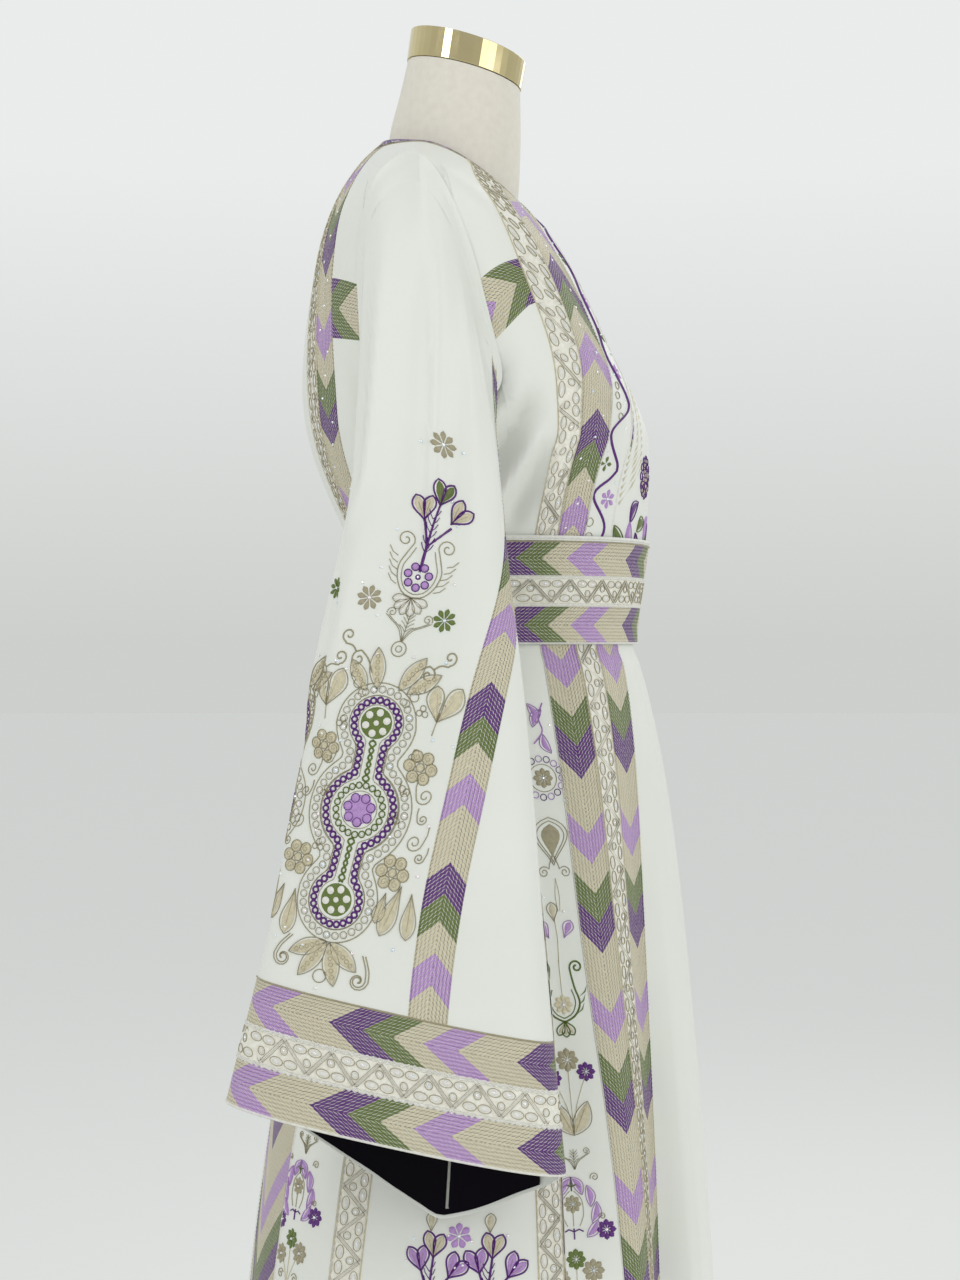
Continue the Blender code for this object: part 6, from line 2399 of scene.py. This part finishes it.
def green_urn(drawing, x, y, size):
    """A green vase of two curling stems tied with a knot."""
    for side in (-1, 1):
        drawing.spot(x, y, 0.0, size, side)
        stem = smooth_path(((0.0, -14.0), (9.0, -9.0), (14.0, 1.0), (11.0, 13.0), (9.0, 24.0)), 16)
        curl = spiral(14.0, 30.0, 5.6, 1.3, 190.0, -1.0, 18)
        drawing.cord(np.vstack((stem, curl)), 1.9, GREEN, 1.0)
        inner = smooth_path(((0.0, -11.0), (7.0, -7.0), (10.5, 2.0), (8.0, 12.0)), 10)
        drawing.cord(inner, 1.1, GREEN, 0.8)
        for number in range(3):
            height = -8.0 + number * 7.0
            reach = 10.5 + number * 1.8
            frond = ((reach, height), (reach + 5.0, height + 4.0), (reach + 7.0, height + 9.0))
            drawing.cord(frond, 1.4, GREEN, 0.8, taper=0.3)
    for turn in (150.0, 180.0, 210.0):
        drawing.spot(x, y - 13.0 * size, turn, size)
        drawing.outlined(13.0, 6.5, GREEN, BEIGE, line=1.4)
    drawing.spot(x, y, 0.0, size)
    drawing.cord(((0.0, 36.0), (0.0, 18.0), (0.0, 6.0)), 0.8, BEIGE, 0.7)
    drawing.flower(0.0, 0.0, 8.0, BEIGE)


def bouquet(drawing, x, y, size):
    """A taupe flower between two purple ones, on stems over paired leaves."""
    drawing.spot(x, y, 0.0, size)
    for px, py in ((0.0, 34.0), (-15.0, 20.0), (16.0, 24.0)):
        drawing.cord(smooth_path(((0.0, -30.0), (px * 0.3, -4.0), (px, py)), 9), 0.9, BEIGE, 0.7)
    drawing.flower(0.0, 38.0, 11.0, TAUPE)
    drawing.flower(-15.5, 22.0, 9.0, PURPLE)
    drawing.flower(16.5, 27.0, 9.0, PURPLE)
    for turn, side in ((27.0, 1), (-27.0, -1)):
        drawing.spot(x, y - 30.0 * size, turn, size)
        drawing.outlined(34.0, 16.0, TAUPE, BEIGE, "leaf", bend=-2.0 * side, line=1.0, gap=0.8)
        drawing.cord(((0.0, 4.0), (0.0, 16.0), (0.0, 26.0)), 0.8, TAUPE, 1.1)
    drawing.spot(x, y, 0.0, size)
    drawing.crystal(-18.0, 36.0, 1.5)
    drawing.crystal(-12.0, 6.0, 1.3)


def wreath(drawing, x, y, size):
    """A wreath of lilac leaves round a small vase of flowers."""
    for side in (-1, 1):
        for angle, length in ((58.0, 19.0), (22.0, 20.0), (-14.0, 20.0), (-50.0, 19.0)):
            px = side * 19.0 * math.cos(math.radians(angle))
            py = 24.0 * math.sin(math.radians(angle))
            drawing.spot(x + px * size, y + (py - 8.0) * size, side * (-6.0 + angle * 0.62), size)
            drawing.outlined(length, 9.0, LILAC, LILAC, "leaf", bend=side * 1.8, line=1.1)
        drawing.spot(x, y, 0.0, size, side)
        drawing.cord(spiral(23.0, 28.0, 4.4, 1.4, 200.0, -1.0, 16), 1.0, TAUPE, 0.8)
        drawing.cord(spiral(28.0, -8.0, 3.6, 1.4, 200.0, -1.0, 14), 1.0, TAUPE, 0.8)
        stem = smooth_path(((2.0, 16.0), (9.0, 8.0), (10.0, -6.0), (6.0, -16.0)), 12)
        drawing.cord(stem, 0.9, TAUPE, 0.7)
        drawing.cord(((0.0, 20.0), (5.0, 22.0), (8.5, 19.0)), 1.7, GREEN, 1.0)
        drawing.cord(((0.0, -21.0), (5.0, -19.0), (9.0, -21.0)), 1.6, PURPLE, 1.0)
    drawing.spot(x, y, 0.0, size)
    drawing.cord(((0.0, 16.0), (0.0, 22.0), (0.0, 29.0)), 1.9, GREEN, 1.0)
    drawing.cord(((0.0, -28.0), (0.0, -23.0), (0.0, -18.0)), 1.7, PURPLE, 1.0)
    drawing.flower(0.0, 4.0, 8.5, TAUPE)
    drawing.cord(((0.0, -16.0), (0.0, -8.0), (0.0, -2.0)), 0.9, TAUPE, 0.7)


def flower_trio(drawing, x, y, size):
    """A green flower with two taupe ones on stems."""
    drawing.spot(x, y, 0.0, size)
    for px, py, radius, thread in ((0.0, 16.0, 9.0, GREEN), (-15.0, 0.0, 9.0, TAUPE),
                                   (15.0, 6.0, 10.0, TAUPE)):
        drawing.cord(smooth_path(((0.0, -26.0), (px * 0.4, -10.0), (px, py)), 8), 0.9, BEIGE, 0.7)
        drawing.flower(px, py, radius, thread)
    for side in (-1, 1):
        drawing.spot(x, y, 0.0, size, side)
        drawing.cord(spiral(12.0, -17.0, 5.0, 1.4, 160.0, -1.0, 16), 1.0, TAUPE, 0.8)


def front_column(drawing):
    """The flower panel's motifs from the belt down to its hem."""
    paisley(drawing, 860.0, -1.0, 0.82)
    bud_row(drawing, -6.0, 757.0, 0.95)
    green_urn(drawing, -6.0, 716.0, 0.98)
    bouquet(drawing, -8.0, 640.0, 0.86)
    scroll_pair(drawing, -10.0, 588.0, 0.62)
    wreath(drawing, -14.0, 558.0, 0.84)
    drawing.spot()
    drawing.flower(12.0, 541.0, 8.0, PURPLE)
    drawing.flower(-34.0, 531.0, 7.0, PURPLE)
    flower_trio(drawing, -14.0, 505.0, 0.9)
    crown(drawing, 0.0, 452.0, 0.95)
    green_urn(drawing, 0.0, 408.0, 1.25)
    bouquet(drawing, 0.0, 318.0, 1.2)
    wreath(drawing, 0.0, 216.0, 1.2)
    flower_trio(drawing, 0.0, 136.0, 1.2)
    scroll_pair(drawing, 0.0, 44.0, 1.1)


# Middle line of the side panel's motifs
SIDE_CENTRE = 8.0


def side_column(drawing):
    """The side panel: pairs of purple trees over medallions."""
    centre = SIDE_CENTRE
    for x in (-13.0, 33.0):
        tree(drawing, x, 477.0, 1.0, (LILAC, BEIGE, LILAC))
        drawing.spot(x, 543.0)
        drawing.outlined(15.0, 8.5, TAUPE, BEIGE, line=1.0)
        drawing.spot()
        drawing.crystal(x, 566.0, 2.4)
        for dx, dy in ((-14.0, -6.0), (14.0, -2.0), (-20.0, -24.0), (20.0, -26.0)):
            drawing.crystal(x + dx, 543.0 + dy, 1.3)
    drawing.spot()
    drawing.flower(9.0, 541.0, 10.0, LILAC, 7)
    urn(drawing, 10.0, 440.0, 1.5, TAUPE)
    for x in (-58.0, 74.0):
        leaf_pair(drawing, x, 452.0, 0.0, 1.2)
        ring_cluster(drawing, x, 404.0, 13.0)
    medallion(drawing, centre, 250.0, 0.0)
    for side in (-1, 1):
        for y in (300.0, 200.0):
            ring_cluster(drawing, centre + side * 58.0, y, 14.0)
        leaf_pair(drawing, centre + side * 66.0, 250.0, side * -12.0, 1.25)
        leaf_pair(drawing, centre + side * 62.0, 128.0, side * 14.0, 1.3)
    crown(drawing, centre, 348.0, 1.15)
    crown(drawing, centre, 140.0, 1.15, up=-1.0)
    tree(drawing, centre, 30.0, 1.15, (LILAC, GREEN, BEIGE))
    urn(drawing, centre, 640.0, 1.0, TAUPE)
    tree(drawing, centre, 656.0, 0.9, (LILAC, GREEN, BEIGE))
    drawing.spot()
    drawing.flower(centre, 752.0, 10.0, TAUPE)
    drawing.flower(-22.0, 700.0, 8.0, GREEN)
    drawing.flower(38.0, 700.0, 8.0, GREEN)


def stitch_skirt():
    """Lace strips, the chevron strips' teeth, flower panels with fine cords, and the side panels."""
    for name in ("skirt_front_lace", "skirt_side_front_lace", "skirt_side_back_lace"):
        lace_on("stitching_" + name, PANELS[name])
    for name, lead in SKIRT_LEAD.items():
        panel = PANELS[name]
        edge_teeth(name, panel, panel.height_of(lead), False, "chevron_long")
    for name in ("skirt_front_flower_panel", "skirt_back_flower_panel"):
        drawing = Drawing()
        front_column(drawing)
        edge_cords(drawing, PANELS[name], WHITE, 1.6)
        drawing.build("stitching_" + name, PANELS[name])
    drawing = Drawing()
    side_column(drawing)
    drawing.build("stitching_skirt_side", PANELS["skirt_side_panel"])


# Corners of the purple cord on the front panels: x, y from the waist seam
SERPENTINE = (
    (-10.0, 380.0), (6.0, 352.0), (-8.0, 322.0), (6.0, 292.0), (-10.0, 262.0), (-4.0, 236.0), (-15.0, 205.0),
    (9.0, 174.0), (10.0, 158.0), (-14.0, 133.0), (6.0, 105.0), (2.0, 94.0), (-13.0, 78.0), (5.0, 52.0),
    (-6.0, 20.0), (2.0, 0.0),
)


# Flowers along the cord: x, y, radius, thread, petals
CORD_FLOWERS = (
    (-9.0, 105.0, 6.5, GREEN, 4),
    (3.0, 76.0, 8.0, LILAC, 6),
    (1.0, 195.0, 7.5, LILAC, 6),
    (8.0, 28.0, 7.5, GREEN, 5),
    (6.0, 232.0, 6.5, GREEN, 5),
    (4.0, 262.0, 6.5, LILAC, 6),
    (-5.0, 300.0, 6.0, GREEN, 5),
)
CORD_RINGS = ((-9.0, 170.0), (-8.0, 180.0), (-7.0, 160.0), (-12.0, 56.0), (-10.0, 44.0), (-3.0, 150.0))
# Stones down a chevron strip: how many, the first one's height, their pitch and how far they stray
STRIP_STONES = (20, 14.0, 19.0, 8.0)
CORD_STONES = (14, 15.0, 25.0, 11.0)


def stitch_bodice():
    """Lace strips, the chevron strips' teeth and stones, the cord panels and the bib."""
    for name in ("front_lace_strip", "back_lace_strip"):
        lace_on("stitching_" + name, PANELS[name])
    for name, lead in BODICE_LEAD.items():
        panel = PANELS[name]
        edge_teeth(name, panel, panel.height_of(lead), name.startswith("front"), "chevron_long")
        drawing = Drawing()
        count, first, pitch, stray = STRIP_STONES
        places = [(stray * math.sin(number * 2.1), first + number * pitch) for number in range(count)]
        scatter_stones(drawing, places, 1.2)
        drawing.build("stones_" + name, panel)
    panel = PANELS["front_cord_panel"]
    drawing = Drawing()
    edge_cords(drawing, panel, WHITE, 3.0)
    drawing.cord(smooth_path(SERPENTINE, 110), 3.0, PURPLE, 1.6)
    for flower in CORD_FLOWERS:
        drawing.flower(*flower)
    for x, y in CORD_RINGS:
        drawing.ring(x, y, 3.6, 1.0, TAUPE, 0.8, 10)
    count, first, pitch, stray = CORD_STONES
    for number in range(count):
        drawing.crystal(stray * math.cos(number * 2.3), first + number * pitch, 1.3)
    drawing.build("stitching_cord_panel", panel)
    stitch_bib()


# Leaves low on the bib: x, y, turn, thread
BIB_LEAVES = (
    (100.0, 40.0, 60.0, GREEN),
    (92.0, 56.0, -40.0, PURPLE),
    (84.0, 34.0, 20.0, LILAC),
    (72.0, 50.0, -70.0, GREEN),
    (60.0, 30.0, 40.0, PURPLE),
    (44.0, 44.0, -30.0, LILAC),
    (30.0, 26.0, 10.0, GREEN),
    (16.0, 44.0, -50.0, PURPLE),
)


def bib_stripes(drawing, half):
    """Slanted satin stripes and three coloured ones, from the bib's edge towards its middle."""
    for number in range(13):
        base = 70.0 + number * 6.4
        inner = half(base) / 2
        stripe = ((inner - 4.0, base), (inner - 26.0, base + 17.0), (inner - 46.0, base + 33.0))
        drawing.ribbon(stripe, 4.6, BEIGE, 0.5)
    for number, thread in enumerate((GREEN, PURPLE, LILAC)):
        base = 118.0 + number * 7.0
        inner = half(base) / 2
        stripe = ((inner - 3.0, base), (inner - 12.0, base + 26.0), (inner - 16.0, base + 50.0))
        drawing.ribbon(stripe, 5.6, thread, 0.9)


def bib_slit(drawing, top):
    """The scalloped edge of the neck slit, with flowers, stones and rings beside it."""
    edge = []
    for number in range(17):
        edge.append((4.0 + (5.0 if number % 2 else 0.0) + number * 0.15, top - 4.0 - number * 8.5))
    drawing.cord(smooth_path(edge, 90), 2.4, PURPLE, 1.8)
    drawing.cord(smooth_path([(x + 3.6, y) for x, y in edge], 90), 1.6, WHITE, 1.4)
    for number in range(8):
        x = 17.0 + number * 1.4
        y = top - 12.0 - number * 17.0
        drawing.flower(x, y, 5.4, (LILAC, GREEN, PURPLE)[number % 3], 5)
        drawing.crystal(x + 8.0, y - 6.0, 1.4)
        drawing.ring(x + 15.0, y - 2.0, 3.4, 1.0, TAUPE, 0.8, 9)


def stitch_bib():
    """The centre front: satin stripes, rosettes, leaves, rings and a scalloped slit."""
    panel = PANELS["front_bib"]
    drawing = Drawing()
    for side in (-1, 1):
        drawing.spot(flip=side)
        bib_stripes(drawing, width_in_mm(panel))
        for x, y in ((58.0, 104.0), (50.0, 92.0), (64.0, 88.0)):
            drawing.rosette(x, y, 9.0, BEIGE, PURPLE, 7, PURPLE)
        ring_of_rings(drawing, 58.0, 96.0, 15.0, 30, 3.4, 1.2, (PURPLE,), 0.9)
        for x, y, turn, thread in BIB_LEAVES:
            drawing.spot(x * side, y, turn, 1.0, side)
            drawing.outlined(24.0, 12.0, thread, thread, "leaf", bend=3.0, line=1.4)
        drawing.spot(flip=side)
        for number in range(8):
            x = 14.0 + number * 11.5
            y = 12.0 + 3.0 * (number % 2)
            drawing.ring(x, y, 4.0, 1.2, TAUPE, 0.8, 10)
            drawing.crystal(x, y, 1.6)
        bib_slit(drawing, panel.length * MM)
    drawing.build("stitching_bib", panel, pair=False)


def level_cord(drawing, half, count, level, width, thread, lift):
    """A cord across a strip at one level."""
    path = np.stack((np.linspace(-half, half, count), np.full(count, level)), -1)
    drawing.cord(path, width, thread, lift)


def ring_lace(drawing, width, low, high):
    """The lace row that goes round a belt or cuff between two levels."""
    drawing.spot(-width / 2, (low + high) / 2)
    lace(drawing, width, lambda y: high - low - 1.0, RING_LACE_PITCH, along_x=True)
    drawing.spot()


# The neck's edging: degrees that it covers each way, its lower and upper rise, pitch of its rings
NECK_EDGING_REACH = 178.0
NECK_EDGING_RISES = (0.952, 0.996)
NECK_RING_PITCH = 6.2
NECK_THREADS = (PURPLE, TAUPE, LILAC, GREEN)


def stitch_neck():
    """A narrow edging of rings and stones round the neck, laid on the bodice itself."""
    degrees = np.linspace(-NECK_EDGING_REACH, NECK_EDGING_REACH, 130)
    strip = even_panel(BODICE_SURFACE, degrees, np.linspace(*NECK_EDGING_RISES, 6))
    drawing = Drawing()
    half = float(strip.widths.mean()) * MM / 2
    height = strip.length * MM
    for number in range(int(half * 2 / NECK_RING_PITCH)):
        x = -half + NECK_RING_PITCH / 2 + number * NECK_RING_PITCH
        drawing.ring(x, height * 0.50, 2.6, 1.1, NECK_THREADS[number % 4], 0.9, 9)
        drawing.crystal(x, height * 0.50, 1.35)
        if number % 2:
            drawing.crystal(x, height * 0.86, 1.2)
    level_cord(drawing, half, 200, height * 0.18, 1.3, TAUPE, 0.8)
    drawing.build("stitching_neck", strip, pair=False)


def stitch_belt():
    """The belt's lace row and its piped edges."""
    rows = np.linspace(0.0, BELT_ROWS[-1], 20)
    low, high, top_seam, top = (level * MM for level in BELT_ROWS[1:])
    for name, start in (("back", -180.0), ("front", 0.0)):
        strip = belt_panel(start, start + 180.0, 90, rows)
        drawing = Drawing()
        width = float(strip.widths.mean()) * MM
        ring_lace(drawing, width, low, high)
        for level, size, thread in ((0.6, 2.4, WHITE), (low, 1.7, WHITE),
                                    (high, 1.7, WHITE), (top_seam, 1.6, TAUPE),
                                    (top - 0.8, 2.6, WHITE)):
            level_cord(drawing, width / 2, 120, level, size, thread, 1.0)
        drawing.build("stitching_belt_" + name + "_half", strip, pair=False)


def stitch_cuffs():
    """The cuff's lace row, crocheted edges and piping."""
    stations = np.linspace(HEM_STATION, CUFF_STATION, 24)
    strip = even_panel(SLEEVE_SURFACE, np.linspace(0.0, 1.0, CUFF_COLUMNS), stations)
    width = float(strip.widths.mean()) * MM
    height = strip.length * MM
    low, high = (CUFF_ROWS[1] * height, CUFF_ROWS[2] * height)
    drawing = Drawing()
    ring_lace(drawing, width, low, high)
    for level, size, thread in ((0.8, 2.6, WHITE), (height - 0.8, 1.8, TAUPE)):
        level_cord(drawing, width / 2, 260, level, size, thread, 1.0)
    x = np.linspace(-width / 2, width / 2, 260)
    for level in (low, high):
        drawing.cord(np.stack((x, level + 0.9 * np.sin(x * math.tau / 5.2)), -1), 2.2, WHITE, 1.1)
    drawing.build("stitching_cuff", strip)


stitch_sleeves()
stitch_cuffs()
stitch_lining()
stitch_belt()
stitch_bodice()
stitch_neck()
stitch_skirt()

# The photograph's camera: its distance from the garment's middle, place and lens
CAMERA_X = -2.0
CAMERA_Y = 0.0174
CAMERA_Z = 1.017
FOCAL_PIXELS = 2.0 / 0.00087
FRAME_HEIGHT = 1280
SENSOR = 36.0


def add_camera():
    """A level camera that looks along +X, at the wearer's right side."""
    data = bpy.data.cameras.new("camera")
    data.sensor_fit = "VERTICAL"
    data.sensor_height = SENSOR
    data.lens = FOCAL_PIXELS / FRAME_HEIGHT * SENSOR
    camera = bpy.data.objects.new("camera", data)
    camera.location = (CAMERA_X, CAMERA_Y, CAMERA_Z)
    camera.rotation_euler = (math.pi / 2, 0.0, -math.pi / 2)
    bpy.context.scene.collection.objects.link(camera)
    bpy.context.scene.camera = camera


def add_light(name, place, target, size, power):
    """A soft white light that looks at a target."""
    data = bpy.data.lights.new(name, "AREA")
    data.shape = "RECTANGLE"
    data.size, data.size_y = size
    data.energy = power
    light = bpy.data.objects.new(name, data)
    light.location = place
    light.rotation_euler = (Vector(target) - Vector(place)).to_track_quat("-Z", "Y").to_euler()
    bpy.context.scene.collection.objects.link(light)


# The room's colours behind the dress, on the camera's side and at the horizon, with the spans of the
# direction's x and z over which they blend, then the floor's half size and paint
SKY_BRIGHT = (0.820, 0.840, 0.835)
SKY_DIM = (0.565, 0.575, 0.565)
SKY_LOW = (0.610, 0.625, 0.605)
SKY_BLEND = (-0.6, 0.7)
SKY_RISE = (0.0, 0.20)
FLOOR_REACH = 30.0
FLOOR_PAINT = (0.900, 0.910, 0.895, 1.0)


def add_sky():
    """A pale room all round: bright behind the dress, dimmer on the camera's side."""
    world = bpy.data.worlds.new("studio")
    world.use_nodes = True
    tree = world.node_tree
    direction = tree.nodes.new("ShaderNodeTexCoord")
    split = tree.nodes.new("ShaderNodeSeparateXYZ")
    share = tree.nodes.new("ShaderNodeMapRange")
    share.inputs["From Min"].default_value, share.inputs["From Max"].default_value = SKY_BLEND
    blend = tree.nodes.new("ShaderNodeMix")
    blend.data_type = "RGBA"
    blend.inputs[6].default_value = (*SKY_DIM, 1.0)
    blend.inputs[7].default_value = (*SKY_BRIGHT, 1.0)
    height = tree.nodes.new("ShaderNodeMapRange")
    height.inputs["From Min"].default_value, height.inputs["From Max"].default_value = SKY_RISE
    whole = tree.nodes.new("ShaderNodeMix")
    whole.data_type = "RGBA"
    whole.inputs[6].default_value = (*SKY_LOW, 1.0)
    tree.links.new(direction.outputs["Generated"], split.inputs[0])
    tree.links.new(split.outputs[0], share.inputs["Value"])
    tree.links.new(share.outputs[0], blend.inputs[0])
    tree.links.new(split.outputs[2], height.inputs["Value"])
    tree.links.new(height.outputs[0], whole.inputs[0])
    tree.links.new(blend.outputs[2], whole.inputs[7])
    tree.links.new(whole.outputs[2], tree.nodes["Background"].inputs["Color"])
    bpy.context.scene.world = world


def add_floor():
    """A plain pale floor."""
    material = bpy.data.materials.new("floor")
    material.use_nodes = True
    shader = material.node_tree.nodes["Principled BSDF"]
    shader.inputs["Base Color"].default_value = FLOOR_PAINT
    shader.inputs["Roughness"].default_value = 0.95
    shader.inputs["Specular IOR Level"].default_value = 0.1
    mesh = bpy.data.meshes.new("floor")
    far = FLOOR_REACH
    mesh.from_pydata([(-far, -far, 0), (far, -far, 0), (far, far, 0), (-far, far, 0)], [], [(0, 1, 2, 3)])
    mesh.materials.append(material)
    floor = bpy.data.objects.new("floor", mesh)
    bpy.context.scene.collection.objects.link(floor)


# Lights: name, place, what it looks at, width and height, watts
LIGHTS = (
    ("key", (-2.2, 1.7, 2.8), (0.0, 0.0, 1.0), (1.2, 1.2), 21.0),
    ("side", (-2.4, -2.0, 2.2), (0.0, 0.0, 0.9), (1.6, 2.0), 15.0),
    ("front", (-1.4, -2.6, 0.9), (0.0, -0.1, 0.7), (1.6, 1.6), 6.5),
    ("back", (2.0, -1.6, 2.6), (0.0, 0.0, 1.0), (1.6, 1.6), 10.0),
)


def add_studio():
    """The sky, the floor and four soft lights."""
    bpy.context.scene.view_settings.view_transform = "Standard"
    add_sky()
    add_floor()
    for light in LIGHTS:
        add_light(*light)


add_camera()
add_studio()
